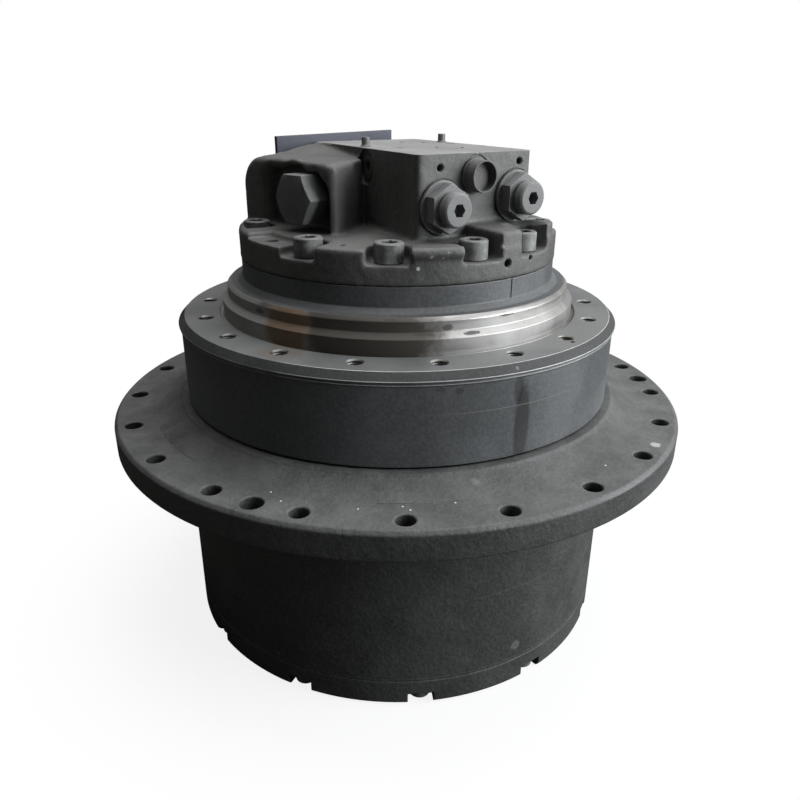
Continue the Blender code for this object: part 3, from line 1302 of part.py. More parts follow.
def make_motor_cover():
    """The motor's rear cover: a disc with bolt pockets, the valve block and the valve housing in one casting."""
    cover = turned_object(
        "motor_cover",
        [
            (0, MOTOR_COVER_BASE),
            (MOTOR_COVER_RADIUS, MOTOR_COVER_BASE),
            (MOTOR_COVER_RADIUS, MOTOR_COVER_TOP - MOTOR_COVER_CHAMFER),
            (MOTOR_COVER_RADIUS - MOTOR_COVER_CHAMFER, MOTOR_COVER_TOP),
            (0, MOTOR_COVER_TOP),
        ],
        LARGE_SEGMENTS,
        "valve_paint",
    )
    base = MOTOR_COVER_TOP - BLOCK_SINK
    ledge_outer = MOTOR_COVER_RADIUS - LEDGE_INSET
    ledge_inner = COVER_BOLT_CIRCLE * HALF
    ledge = sector_outline(ledge_inner, ledge_outer, LEDGE_START, LEDGE_END, LEDGE_STEPS)
    join(cover, prism_object("cover_ledge", ledge, base, MOTOR_COVER_TOP + LEDGE_HEIGHT))
    pad = sector_outline(ledge_outer - PAD_DEPTH, ledge_outer, PAD_START, PAD_END, LEDGE_STEPS)
    join(cover, prism_object("cover_pad", pad, base, MOTOR_COVER_TOP + PAD_HEIGHT))
    pockets = bmesh.new()
    for angle in COVER_BOLT_ANGLES:
        cover_head_pocket(pockets, angle)
    cut(cover, finish_object("cover_head_pockets", pockets))
    room = [(0, 0), (RELIEF_ROOM_RADIUS, 0), (RELIEF_ROOM_RADIUS, MOTOR_COVER_RADIUS), (0, MOTOR_COVER_RADIUS)]
    rooms = bmesh.new()
    for place in RELIEF_PLACES:
        add_turned(rooms, room, MEDIUM_SEGMENTS, right_face_frame(place))
    cut(cover, finish_object("cover_relief_rooms", rooms))
    join(cover, prism_object("valve_block", block_corners(), base, BLOCK_TOP))
    join(cover, make_valve_housing())
    cut_cover_bores(cover)
    cut_valve_bores(cover)
    return cover


def cut_cover_bores(cover):
    """Cut the cover's bolt holes, the rear bearing's seat and the holes of the dowel pins."""
    floor = MOTOR_COVER_BASE + COVER_POCKET_FLOOR
    holes = hole_profile(COVER_BOLT_RADIUS + RUNNING_GAP * HALF, MOTOR_COVER_BASE - OVERRUN, floor)
    cut(cover, hole_cutter("cover_bolt_holes", cover_bolt_places(), holes, BOLT_SEGMENTS))
    seat = [
        (0, MOTOR_COVER_BASE - OVERRUN),
        (REAR_BEARING_RADIUS + SEAT_GAP, MOTOR_COVER_BASE - OVERRUN),
        (REAR_BEARING_RADIUS + SEAT_GAP, MOTOR_COVER_BASE + SHAFT_END_LENGTH + SEAT_GAP),
        (0, MOTOR_COVER_BASE + SHAFT_END_LENGTH + SEAT_GAP),
    ]
    cut(cover, turned_object("cover_bearing_seat", seat, MEDIUM_SEGMENTS))
    pins = hole_profile(DOWEL_SHANK_RADIUS + SEAT_GAP, BLOCK_TOP - DOWEL_SHANK_LENGTH - SEAT_GAP, BLOCK_TOP)
    cut(cover, hole_cutter("cover_dowel_holes", PIN_PLACES, pins))


def face_frame(corner, along_angle, place, outward_angle):
    """The frame of something on a side face of the block, at a place along the face and over the disc."""
    centre = corner + on_circle(place[0], along_angle)
    return facing(outward_angle, centre, MOTOR_COVER_TOP + place[1])


def right_face_frame(place):
    """A frame on the block's front right face."""
    return face_frame(BLOCK_FRONT_CORNER, BLOCK_RIGHT_ANGLE, place, BLOCK_RIGHT_ANGLE - TURN / 4)


def left_face_frame(place):
    """A frame on the block's left face."""
    return face_frame(BLOCK_FRONT_CORNER, BLOCK_LEFT_ANGLE, place, BLOCK_LEFT_ANGLE + TURN / 4)


def back_face_frame(place):
    """A frame on the block's back left face, where the port plate is bolted."""
    return face_frame(block_corners()[3], BLOCK_RIGHT_ANGLE, place, BLOCK_RIGHT_ANGLE + TURN / 4)


def drain_face_frame(place):
    """A frame on the block's back right face."""
    return face_frame(block_corners()[1], BLOCK_LEFT_ANGLE, place, BLOCK_LEFT_ANGLE - TURN / 4)


def valve_frame(distance):
    """A frame on the counterbalance valve's axis, this far from the drive's axis."""
    centre = on_circle(distance, VALVE_AXIS_ANGLE) + on_circle(VALVE_AXIS_OFFSET, VALVE_AXIS_ANGLE - TURN / 4)
    return facing(VALVE_AXIS_ANGLE, centre, MOTOR_COVER_TOP + VALVE_AXIS_HEIGHT)


def blind_bore(radius, depth):
    """The profile of a bore's cutter below a face at height zero."""
    return [(0, -depth), (radius, -depth), (radius, OVERRUN), (0, OVERRUN)]


def stepped_bore(radius, depth, spot_radius, spot_depth):
    """The profile of a bore's cutter with a shallow wider mouth."""
    return [
        (0, -depth),
        (radius, -depth),
        (radius, -spot_depth),
        (spot_radius, -spot_depth),
        (spot_radius, OVERRUN),
        (0, OVERRUN),
    ]


def cut_valve_bores(cover):
    """Cut every bore of the block's sides and of the valve housing."""
    bores = bmesh.new()
    relief = blind_bore(RELIEF_SHANK_RADIUS + SEAT_GAP, RELIEF_SHANK_LENGTH + SEAT_GAP)
    for place in RELIEF_PLACES:
        add_turned(bores, relief, SMALL_SEGMENTS, right_face_frame(place))
    cap = blind_bore(CAP_RADIUS - CAP_WALL * HALF + SEAT_GAP, CAP_SHANK_LENGTH + SEAT_GAP)
    add_turned(bores, cap, SMALL_SEGMENTS, right_face_frame(CAP_PLACE))
    for place in GAUGE_HOLE_PLACES:
        add_turned(bores, blind_bore(GAUGE_HOLE_RADIUS, GAUGE_HOLE_DEPTH), HOLE_SEGMENTS, right_face_frame(place))
    plug_depth = COUNTERBORE_DEPTH + SOCKET_PLUG_LENGTH + SEAT_GAP
    plug = stepped_bore(SOCKET_PLUG_RADIUS + SEAT_GAP, plug_depth, COUNTERBORE_RADIUS, COUNTERBORE_DEPTH)
    add_turned(bores, plug, SMALL_SEGMENTS, left_face_frame(SOCKET_PLUG_PLACE))
    plate_start = port_plate_start()
    for share in PORT_SHARES:
        place = Vector((plate_start + (PORT_PLATE_END - plate_start) * share, PORT_LEVEL))
        add_turned(bores, blind_bore(PORT_RADIUS, PORT_DEPTH), SMALL_SEGMENTS, back_face_frame(place))
    drain = stepped_bore(DRAIN_PORT_RADIUS, DRAIN_PORT_DEPTH, DRAIN_SPOT_RADIUS, DRAIN_SPOT_DEPTH)
    for place in DRAIN_PORTS:
        add_turned(bores, drain, SMALL_SEGMENTS, drain_face_frame(place))
    cut(cover, finish_object("cover_side_bores", bores))
    recess_floor = VALVE_PLUG_END - VALVE_PLUG_HEX_LENGTH
    shank_bore = VALVE_PLUG_SHANK_RADIUS + SEAT_GAP
    shank_depth = VALVE_PLUG_SHANK_LENGTH + SEAT_GAP
    bore = stepped_bore(SPOOL_RADIUS + SEAT_GAP, VALVE_BORE_LENGTH, shank_bore, shank_depth)
    spool = bmesh.new()
    add_turned(spool, bore, SMALL_SEGMENTS, valve_frame(recess_floor))
    cut(cover, finish_object("cover_spool_bore", spool))


def hexagon(across_flats, turn=0.0):
    """A hexagon with this distance across its flats, one of them facing up before it is turned."""
    return circle(across_flats * HALF / math.cos(TURN / 12), 6, turn)


def placed_object(name, mesh, finish, frame):
    """An object whose own frame stands in the world as given."""
    obj = finish_object(name, mesh, finish)
    obj.matrix_world = frame
    return obj


def cut_socket(obj, radius, top, depth):
    """Cut a hexagon socket into the end of a piece, in the piece's own frame."""
    socket = prism_object(obj.name + "_socket", circle(radius, 6), top - depth, top + OVERRUN)
    socket.matrix_world = obj.matrix_world
    cut(obj, socket)


def make_relief_valve(name, place):
    """A relief valve cartridge: washer, hexagon, neck and round cap with a socket."""
    frame = right_face_frame(place)
    hex_base = SEAT_GAP + RELIEF_WASHER_THICKNESS
    hex_top = hex_base + RELIEF_HEX_LENGTH
    neck_top = hex_top + RELIEF_NECK_LENGTH
    top = neck_top + RELIEF_CAP_LENGTH
    mesh = bmesh.new()
    body = [
        (0, -RELIEF_SHANK_LENGTH),
        (RELIEF_SHANK_RADIUS, -RELIEF_SHANK_LENGTH),
        (RELIEF_SHANK_RADIUS, SEAT_GAP),
        (RELIEF_WASHER_RADIUS, SEAT_GAP),
        (RELIEF_WASHER_RADIUS, hex_base),
        (RELIEF_NECK_RADIUS, hex_base),
        (RELIEF_NECK_RADIUS, neck_top),
        (RELIEF_CAP_RADIUS, neck_top),
        (RELIEF_CAP_RADIUS, top - RELIEF_CAP_CHAMFER),
        (RELIEF_CAP_RADIUS - RELIEF_CAP_CHAMFER, top),
        (0, top),
    ]
    add_turned(mesh, body, SMALL_SEGMENTS)
    valve = placed_object(name, mesh, "valve_paint", frame)
    outline = hexagon(RELIEF_ACROSS_FLATS, TURN / 12)
    hexagon_body = prism_object(name + "_hexagon", outline, hex_base - SEAT_GAP, hex_top)
    hexagon_body.matrix_world = frame
    join(valve, hexagon_body)
    cut_socket(valve, RELIEF_SOCKET_RADIUS, top, RELIEF_SOCKET_DEPTH)
    return valve


def make_port_cap():
    """The thin round cap in the port between the relief valves, open at its outer end."""
    outer = CAP_RADIUS - CAP_WALL * HALF
    profile = [
        (0, -CAP_SHANK_LENGTH),
        (outer, -CAP_SHANK_LENGTH),
        (outer, SEAT_GAP),
        (CAP_RIM_RADIUS, SEAT_GAP),
        (CAP_RIM_RADIUS, SEAT_GAP + CAP_RIM_THICKNESS),
        (CAP_RADIUS, SEAT_GAP + CAP_RIM_THICKNESS),
        (CAP_RADIUS, CAP_LENGTH),
        (CAP_RADIUS - CAP_WALL, CAP_LENGTH),
        (CAP_RADIUS - CAP_WALL, CAP_WALL - CAP_SHANK_LENGTH * HALF),
        (0, CAP_WALL - CAP_SHANK_LENGTH * HALF),
    ]
    mesh = bmesh.new()
    add_turned(mesh, profile, SMALL_SEGMENTS)
    return placed_object("port_cap", mesh, "valve_paint", right_face_frame(CAP_PLACE))


def make_socket_plug():
    """The plug with a hexagon socket, sunk in the block's left face."""
    mesh = bmesh.new()
    top = -SOCKET_PLUG_SINK
    bottom = -COUNTERBORE_DEPTH - SOCKET_PLUG_LENGTH
    profile = [
        (0, bottom),
        (SOCKET_PLUG_RADIUS, bottom),
        (SOCKET_PLUG_RADIUS, top - EDGE_BREAK),
        (SOCKET_PLUG_RADIUS - EDGE_BREAK, top),
        (0, top),
    ]
    add_turned(mesh, profile, SMALL_SEGMENTS)
    plug = placed_object("socket_plug", mesh, "valve_paint", left_face_frame(SOCKET_PLUG_PLACE))
    cut_socket(plug, SOCKET_PLUG_HEX_RADIUS, top, SOCKET_PLUG_HEX_DEPTH)
    return plug


def make_counterbalance_plug():
    """The big hexagon plug that closes the counterbalance valve's bore."""
    frame = valve_frame(VALVE_PLUG_END - VALVE_PLUG_HEX_LENGTH)
    mesh = bmesh.new()
    shank = [
        (0, -VALVE_PLUG_SHANK_LENGTH),
        (VALVE_PLUG_SHANK_RADIUS, -VALVE_PLUG_SHANK_LENGTH),
        (VALVE_PLUG_SHANK_RADIUS, VALVE_PLUG_HEX_LENGTH * HALF),
        (0, VALVE_PLUG_HEX_LENGTH * HALF),
    ]
    add_turned(mesh, shank, SMALL_SEGMENTS)
    plug = placed_object("counterbalance_plug", mesh, "valve_paint", frame)
    head = prism_object("counterbalance_plug_head", hexagon(VALVE_PLUG_ACROSS_FLATS), SEAT_GAP, VALVE_PLUG_HEX_LENGTH)
    head.matrix_world = frame
    join(plug, head)
    return plug


def make_counterbalance_spool():
    """The valve's spool, with three lands, sliding along its bore. Its origin is on the bore's axis."""
    outer_end = VALVE_PLUG_END - VALVE_PLUG_HEX_LENGTH - VALVE_PLUG_SHANK_LENGTH - SPOOL_TRAVEL - 2 * SEAT_GAP
    frame = valve_frame(outer_end)
    mesh = bmesh.new()
    profile = [(0, -SPOOL_LENGTH)]
    for i, share in enumerate(SPOOL_LAND_SHARES):
        height = -SPOOL_LENGTH * (1 - share)
        before, after = (SPOOL_NECK_RADIUS, SPOOL_RADIUS) if i % 2 == 0 else (SPOOL_RADIUS, SPOOL_NECK_RADIUS)
        if 0 < share:
            profile.append((before, height))
        if share < 1:
            profile.append((after, height))
    profile.append((0, 0))
    add_turned(mesh, profile, SMALL_SEGMENTS)
    return placed_object("counterbalance_spool", mesh, "bright_steel", frame)


def make_port_plate():
    """The flat plate bolted over the ports on the block's back left face."""
    start = port_plate_start()
    outline = [
        Vector((start, PORT_PLATE_BOTTOM)),
        Vector((PORT_PLATE_END, PORT_PLATE_BOTTOM)),
        Vector((PORT_PLATE_END, BLOCK_HEIGHT + PORT_PLATE_END_RISE)),
        Vector((start, BLOCK_HEIGHT + PORT_PLATE_START_RISE)),
    ]
    mirrored = [Vector((-point[0], point[1])) for point in outline]
    frame = back_face_frame(Vector((0, 0)))
    mesh = bmesh.new()
    add_prism(mesh, mirrored, SEAT_GAP, SEAT_GAP + PORT_PLATE_THICKNESS)
    return placed_object("port_plate", mesh, "plate_paint", frame)


def make_dowel_pin(name, place):
    """A dowel pin standing out of the block's top, with a small collar."""
    mesh = bmesh.new()
    profile = [
        (0, -DOWEL_SHANK_LENGTH),
        (DOWEL_SHANK_RADIUS, -DOWEL_SHANK_LENGTH),
        (DOWEL_SHANK_RADIUS, SEAT_GAP),
        (DOWEL_COLLAR_RADIUS, SEAT_GAP),
        (DOWEL_RADIUS, DOWEL_COLLAR_HEIGHT),
        (DOWEL_RADIUS, DOWEL_RISE),
        (0, DOWEL_RISE),
    ]
    add_turned(mesh, profile, HOLE_SEGMENTS)
    frame = Matrix.Translation(Vector((place[0], place[1], BLOCK_TOP)))
    return placed_object(name, mesh, "bolt_steel", frame)


def make_cover_bolt(name, place):
    """A socket head screw of the motor cover, standing in its pocket."""
    mesh = bmesh.new()
    profile = [
        (0, -COVER_BOLT_GRIP),
        (COVER_BOLT_RADIUS, -COVER_BOLT_GRIP),
        (COVER_BOLT_RADIUS, SEAT_GAP),
        (COVER_BOLT_HEAD_RADIUS, SEAT_GAP),
        (COVER_BOLT_HEAD_RADIUS, COVER_BOLT_HEAD_HEIGHT - COVER_BOLT_CHAMFER),
        (COVER_BOLT_HEAD_RADIUS - COVER_BOLT_CHAMFER, COVER_BOLT_HEAD_HEIGHT),
        (0, COVER_BOLT_HEAD_HEIGHT),
    ]
    add_turned(mesh, profile, BOLT_SEGMENTS)
    frame = Matrix.Translation(Vector((place[0], place[1], MOTOR_COVER_BASE + COVER_POCKET_FLOOR)))
    bolt = placed_object(name, mesh, "bolt_steel", frame)
    cut_socket(bolt, COVER_BOLT_SOCKET_RADIUS, COVER_BOLT_HEAD_HEIGHT, COVER_BOLT_SOCKET_DEPTH)
    return bolt


def make_hub_group():
    """Everything that turns with the hub."""
    axis = axis_empty("hub_axis")
    pieces = [make_gear_cover(), make_thrust_button(), make_gear_housing(), make_hub()]
    pieces.append(make_cover_plug("drain_plug", DRAIN_PLUG_ANGLE))
    pieces.append(make_cover_plug("level_plug", LEVEL_PLUG_ANGLE))
    pieces.append(make_seal_rings()[0])
    for name, base in (("main_bearing_upper", UPPER_BEARING_BASE), ("main_bearing_lower", LOWER_BEARING_BASE)):
        races, _ = make_main_bearing(name, base)
        pieces.append(races[1])
    for piece in pieces:
        piece.parent = axis


def make_gear_train():
    """Both planetary stages."""
    make_second_carrier()
    make_planets(2, PLANET_2_TEETH, PIN_2_RADIUS, PLANET_2_WIDTH, PLANET_2_CENTRE, PLANET_2_BASE)
    axis = axis_empty("first_stage_axis")
    pieces = make_planets(1, PLANET_1_TEETH, PIN_1_RADIUS, PLANET_1_WIDTH, PLANET_1_CENTRE, PLANET_1_BASE)
    pieces += [make_first_carrier(), make_second_sun()]
    for piece in pieces:
        piece.parent = axis


def make_motor():
    """The axial piston motor inside the spindle, with its brake."""
    make_shaft_supports()
    make_swash_cradle()
    make_swash_plate()
    make_valve_plate()
    discs, _, _ = make_brake()
    axis = axis_empty("motor_axis")
    for piece in [make_drive_shaft(), make_first_sun(), make_piston_set(), make_cylinder_block()] + discs:
        piece.parent = axis


def make_cover_group():
    """The motor cover with everything screwed into it."""
    make_motor_cover()
    for number, place in enumerate(cover_bolt_places(), start=1):
        make_cover_bolt(f"motor_cover_bolt_{number:02d}", place)
    for side, place in zip(("left", "right"), RELIEF_PLACES):
        make_relief_valve(f"relief_valve_{side}", place)
    for side, place in zip(("front", "back"), PIN_PLACES):
        make_dowel_pin(f"dowel_pin_{side}", place)
    make_port_cap()
    make_socket_plug()
    make_counterbalance_plug()
    make_counterbalance_spool()
    make_port_plate()


def main():
    """Build the whole final drive."""
    clear_scene()
    make_spindle()
    make_hub_group()
    make_gear_train()
    make_motor()
    make_cover_group()


main()
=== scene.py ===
"""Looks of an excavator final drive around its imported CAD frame.

The drive stands on the face of its gear cover with its valve block up. Sizes in the classes are
millimetres and angles are degrees about the drive's axis, counted from +X towards +Y; the tools at the
top turn them into metres. Every visible casting, screw and plug is modelled again in detail and stands
for its CAD node, and the gears, bearings and motor parts inside keep their CAD shapes.
"""

import logging
import math
from contextlib import contextmanager
from dataclasses import dataclass, field, replace
from enum import Enum
from typing import Callable, Iterator, Optional, Sequence, Tuple, Union

import bpy
from mathutils import Matrix, Vector


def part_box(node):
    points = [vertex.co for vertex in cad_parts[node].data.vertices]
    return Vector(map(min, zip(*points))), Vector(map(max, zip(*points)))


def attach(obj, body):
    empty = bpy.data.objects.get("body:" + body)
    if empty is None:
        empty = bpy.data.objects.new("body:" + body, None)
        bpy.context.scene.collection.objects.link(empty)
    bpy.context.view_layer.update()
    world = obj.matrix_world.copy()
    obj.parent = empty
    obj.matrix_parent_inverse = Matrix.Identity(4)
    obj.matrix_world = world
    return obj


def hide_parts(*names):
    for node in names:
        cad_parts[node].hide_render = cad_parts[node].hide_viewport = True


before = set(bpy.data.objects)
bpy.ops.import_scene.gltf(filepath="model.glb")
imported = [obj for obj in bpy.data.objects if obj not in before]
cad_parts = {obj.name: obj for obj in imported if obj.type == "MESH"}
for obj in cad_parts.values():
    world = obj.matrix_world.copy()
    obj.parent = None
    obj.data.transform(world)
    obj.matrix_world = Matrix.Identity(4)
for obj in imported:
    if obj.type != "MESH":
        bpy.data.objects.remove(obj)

MM = 0.001
HALF = 0.5
FULL = 360.0
QUARTER = 90.0

# Shared tool settings
OVERRUN = 4.0
MERGE = 0.002
FINE_ROUND = 160
MEDIUM_ROUND = 64
SMALL_ROUND = 32
TINY_ROUND = 20
SHADE_ANGLE = 32.0
HEX_SIDES = 6
NEAR = 1.0

log = logging.getLogger("final_drive")

Point = Tuple[float, float]
Triple = Tuple[float, float, float]
Range = Tuple[float, float, float, float]
Piece = bpy.types.Object
Socket = bpy.types.NodeSocket


# Modelling tools


class Join(Enum):
    """How two solids are combined."""

    CUT = "DIFFERENCE"
    ADD = "UNION"
    SHARED = "INTERSECT"


def nothing() -> None:
    """Deselects every object."""
    bpy.ops.object.select_all(action="DESELECT")


def everything() -> None:
    """Selects the whole mesh that is open."""
    bpy.ops.mesh.select_all(action="SELECT")


def face_outwards() -> None:
    """Selects the whole mesh that is open and turns its faces outwards."""
    everything()
    bpy.ops.mesh.normals_make_consistent(inside=False)


def resize(across: float, along: float, centre: float = 0.0) -> None:
    """Scales what is selected in X and Y about a place on the X axis, in millimetres."""
    bpy.ops.transform.resize(value=(across, along, 1.0), center_override=(centre * MM, 0.0, 0.0))


def choose(*pieces: Piece) -> None:
    """Selects these objects and nothing else, the last one active."""
    nothing()
    for piece in pieces:
        piece.select_set(True)
    bpy.context.view_layer.objects.active = pieces[-1]


@contextmanager
def editing(piece: Piece, kind: str = "VERT") -> Iterator[None]:
    """Opens a piece in edit mode for a while.

    Args:
        piece: The piece to edit.
        kind: What is selected there: VERT, EDGE or FACE.
    """
    choose(piece)
    bpy.ops.object.mode_set(mode="EDIT")
    bpy.ops.mesh.select_mode(type=kind)
    yield
    bpy.ops.object.mode_set(mode="OBJECT")


def on_circle(radius: float, angle: float) -> Vector:
    """A point on a circle about the origin, in the units of the radius."""
    turn = math.radians(angle)
    return Vector((radius * math.cos(turn), radius * math.sin(turn)))


def arc(radius: float, start: float, end: float, steps: int, centre: Sequence[float] = (0.0, 0.0)) -> list:
    """Points of an arc, both ends with it."""
    middle = Vector((centre[0], centre[1]))
    return [middle + on_circle(radius, start + (end - start) * i / steps) for i in range(steps + 1)]


def facing(angle: float, centre: Sequence[float], height: float) -> Matrix:
    """A frame that looks outwards along a level direction.

    Args:
        angle: The direction that the frame's Z axis takes.
        centre: The frame's place over the floor plan, in millimetres.
        height: The frame's height, in millimetres.

    Returns:
        The frame, its X axis level and its Y axis up.
    """
    out = on_circle(1.0, angle)
    turn = Matrix(((-out.y, 0.0, out.x), (out.x, 0.0, out.y), (0.0, 1.0, 0.0))).to_4x4()
    return Matrix.Translation(Vector((centre[0], centre[1], height)) * MM) @ turn


def on_ring(radius: float, count: int, start: float) -> list:
    """Points at even steps round a circle, the first one at the start angle."""
    pitch = FULL / count
    return [on_circle(radius, start + pitch * i) for i in range(count)]


def upright(centre: Sequence[float], height: float, turn: float = 0.0) -> Matrix:
    """A frame with its Z axis up, at a place and a height in millimetres."""
    place = Matrix.Translation(Vector((centre[0], centre[1], height)) * MM)
    return place @ Matrix.Rotation(math.radians(turn), 4, "Z")


def underside(node: str) -> float:
    """The height of a CAD node's lowest point, in millimetres."""
    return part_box(node)[0].z / MM


def upper_side(node: str) -> float:
    """The height of a CAD node's highest point, in millimetres."""
    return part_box(node)[1].z / MM


def traced(name: str, path: Sequence[Vector]) -> Piece:
    """Draws a closed line of edges by extruding one corner after another.

    Args:
        name: The new piece's name.
        path: The corners in metres.

    Returns:
        The piece, which has edges and no faces yet.
    """
    nothing()
    bpy.ops.mesh.primitive_plane_add(size=MM)
    piece = bpy.context.object
    piece.name = name
    with editing(piece):
        everything()
        bpy.ops.mesh.merge(type="CENTER")
        bpy.ops.transform.translate(value=path[0])
        for before, after in zip(path, list(path[1:]) + [path[0]]):
            bpy.ops.mesh.extrude_region_move(TRANSFORM_OT_translate={"value": after - before})
        everything()
        bpy.ops.mesh.remove_doubles(threshold=MERGE * MM)
    return piece


def spun(angle: float, rounds: int) -> None:
    """Spins what is selected about the Z axis."""
    centre, axis = (0.0, 0.0, 0.0), (0.0, 0.0, 1.0)
    bpy.ops.mesh.spin(steps=rounds, angle=math.radians(angle), center=centre, axis=axis)


def extruded(rise: float) -> None:
    """Extrudes what is selected upwards, in millimetres."""
    bpy.ops.mesh.extrude_region_move(TRANSFORM_OT_translate={"value": Vector((0.0, 0.0, rise)) * MM})


def turned(name: str, profile: Sequence[Point], rounds: int = MEDIUM_ROUND) -> Piece:
    """Spins a profile about the Z axis, as on a lathe.

    Args:
        name: The new piece's name.
        profile: Radius and height of each corner, in millimetres; the last joins the first.
        rounds: How many steps the turn has.

    Returns:
        The closed piece.
    """
    piece = traced(name, [Vector((radius, 0.0, height)) * MM for radius, height in profile])
    with editing(piece):
        everything()
        spun(FULL, rounds)
        everything()
        bpy.ops.mesh.remove_doubles(threshold=MERGE * MM)
        bpy.ops.mesh.dissolve_degenerate(threshold=MERGE * MM)
        face_outwards()
    return piece


def slab(name: str, outline: Sequence[Sequence[float]], bottom: float, top: float) -> Piece:
    """Raises a flat outline into a solid.

    Args:
        name: The new piece's name.
        outline: Corners in the XY plane, in millimetres.
        bottom: The height of its underside.
        top: The height of its upper face.

    Returns:
        The closed piece.
    """
    piece = traced(name, [Vector((corner[0], corner[1], bottom)) * MM for corner in outline])
    with editing(piece):
        everything()
        bpy.ops.mesh.edge_face_add()
        extruded(top - bottom)
        face_outwards()
    return piece


def corner_reach(across_flats: float) -> float:
    """How far a hexagon's corners are from its middle."""
    return across_flats * HALF / math.cos(math.pi / HEX_SIDES)


def hexagon(across_flats: float, turn: float = 0.0) -> list:
    """The outline of a hexagon with a corner in the direction of its turn."""
    return arc(corner_reach(across_flats), turn, turn + FULL, HEX_SIDES)[:-1]


def placed(piece: Piece, place: Matrix) -> Piece:
    """Moves a piece to its frame and applies that to its mesh."""
    piece.matrix_world = place
    choose(piece)
    bpy.ops.object.transform_apply(location=True, rotation=True, scale=True)
    return piece


def copied(piece: Piece, name: str, place: Matrix) -> Piece:
    """A copy with its own mesh, in the frame given."""
    choose(piece)
    bpy.ops.object.duplicate(linked=False)
    copy = bpy.context.object
    copy.name = name
    return placed(copy, place)


def removed(piece: Piece) -> None:
    """Deletes a helper."""
    choose(piece)
    bpy.ops.object.delete()


def grouped(master: Piece, places: Sequence[Matrix]) -> Piece:
    """One object of several copies of a helper, which is used up."""
    copies = [copied(master, master.name + "_copy", place) for place in places]
    removed(master)
    return together(copies)


def together(pieces: Sequence[Piece]) -> Piece:
    """Makes one object of several without changing their meshes."""
    choose(*pieces)
    if len(pieces) > 1:
        bpy.ops.object.join()
    return bpy.context.object


def modified(piece: Piece, kind: str, **settings: object) -> Piece:
    """Adds a modifier with these settings and applies it."""
    choose(piece)
    bpy.ops.object.modifier_add(type=kind)
    modifier = piece.modifiers[-1]
    for key, value in settings.items():
        setattr(modifier, key, value)
    bpy.ops.object.modifier_apply(modifier=modifier.name)
    return piece


def combined(piece: Piece, other: Piece, how: Join) -> Piece:
    """Combines a piece with a helper, which is used up."""
    modified(piece, "BOOLEAN", operation=how.value, object=other, solver="EXACT")
    removed(other)
    return piece


def cut(piece: Piece, helper: Piece) -> Piece:
    """Cuts a helper out of a piece."""
    return combined(piece, helper, Join.CUT)


def fused(piece: Piece, helper: Piece) -> Piece:
    """Adds a helper to a piece."""
    return combined(piece, helper, Join.ADD)


def drilled(piece: Piece, drill: Piece, spots: Sequence[Vector]) -> Piece:
    """Cuts one drill into a piece at several places, the drill's height kept."""
    return cut(piece, grouped(drill, [upright(spot, 0.0) for spot in spots]))


def bevelled(piece: Piece, width: float, steps: int = 2, angle: float = 30.0) -> Piece:
    """Rounds every edge that is sharper than an angle."""
    return modified(
        piece,
        "BEVEL",
        width=width * MM,
        segments=steps,
        limit_method="ANGLE",
        angle_limit=math.radians(angle),
        harden_normals=False,
        use_clamp_overlap=True,
    )


def shaded(piece: Piece, angle: float = SHADE_ANGLE) -> Piece:
    """Shades a piece smooth up to an angle between its faces, with its wide faces kept flat."""
    choose(piece)
    bpy.ops.object.shade_smooth_by_angle(angle=math.radians(angle))
    return modified(piece, "WEIGHTED_NORMAL", keep_sharp=True)


def picked(piece: Piece, kind: str, test: Callable[[bpy.types.AnyType], bool]) -> None:
    """Selects the vertices, edges or faces of a piece that pass a test, and nothing else.

    Args:
        piece: The piece.
        kind: What is selected: VERT, EDGE or FACE.
        test: Says for one of them whether it is selected.
    """
    with editing(piece, kind):
        bpy.ops.mesh.select_all(action="DESELECT")
    rows = {"VERT": piece.data.vertices, "EDGE": piece.data.edges, "FACE": piece.data.polygons}
    for row in rows[kind]:
        row.select = test(row)


def refaced(piece: Piece, finish: bpy.types.Material, test: Callable[[Vector], bool]) -> None:
    """Gives some faces of a piece another finish.

    Args:
        piece: The piece, with its main finish on it already.
        finish: The other finish.
        test: Says for a face's centre whether it takes that finish.
    """
    piece.data.materials.append(finish)
    picked(piece, "FACE", lambda face: test(face.center / MM))
    piece.active_material_index = len(piece.data.materials) - 1
    with editing(piece, "FACE"):
        bpy.ops.object.material_slot_assign()


def hole_cutter(name: str, radius: float, bottom: float, top: float, rim: float, rounds: int) -> Piece:
    """A drill with a countersink at its top.

    Args:
        name: The helper's name.
        radius: The hole's radius.
        bottom: The height of the hole's floor.
        top: The height of the face it is drilled from.
        rim: The width of the countersink.
        rounds: How many steps its turn has.

    Returns:
        The closed helper.
    """
    profile = [
        (0.0, bottom),
        (radius, bottom),
        (radius, top - rim),
        (radius + rim + OVERRUN, top + OVERRUN),
        (0.0, top + OVERRUN),
    ]
    return turned(name, profile, rounds)


# Node trees


Value = Union[float, Sequence[float], Socket]


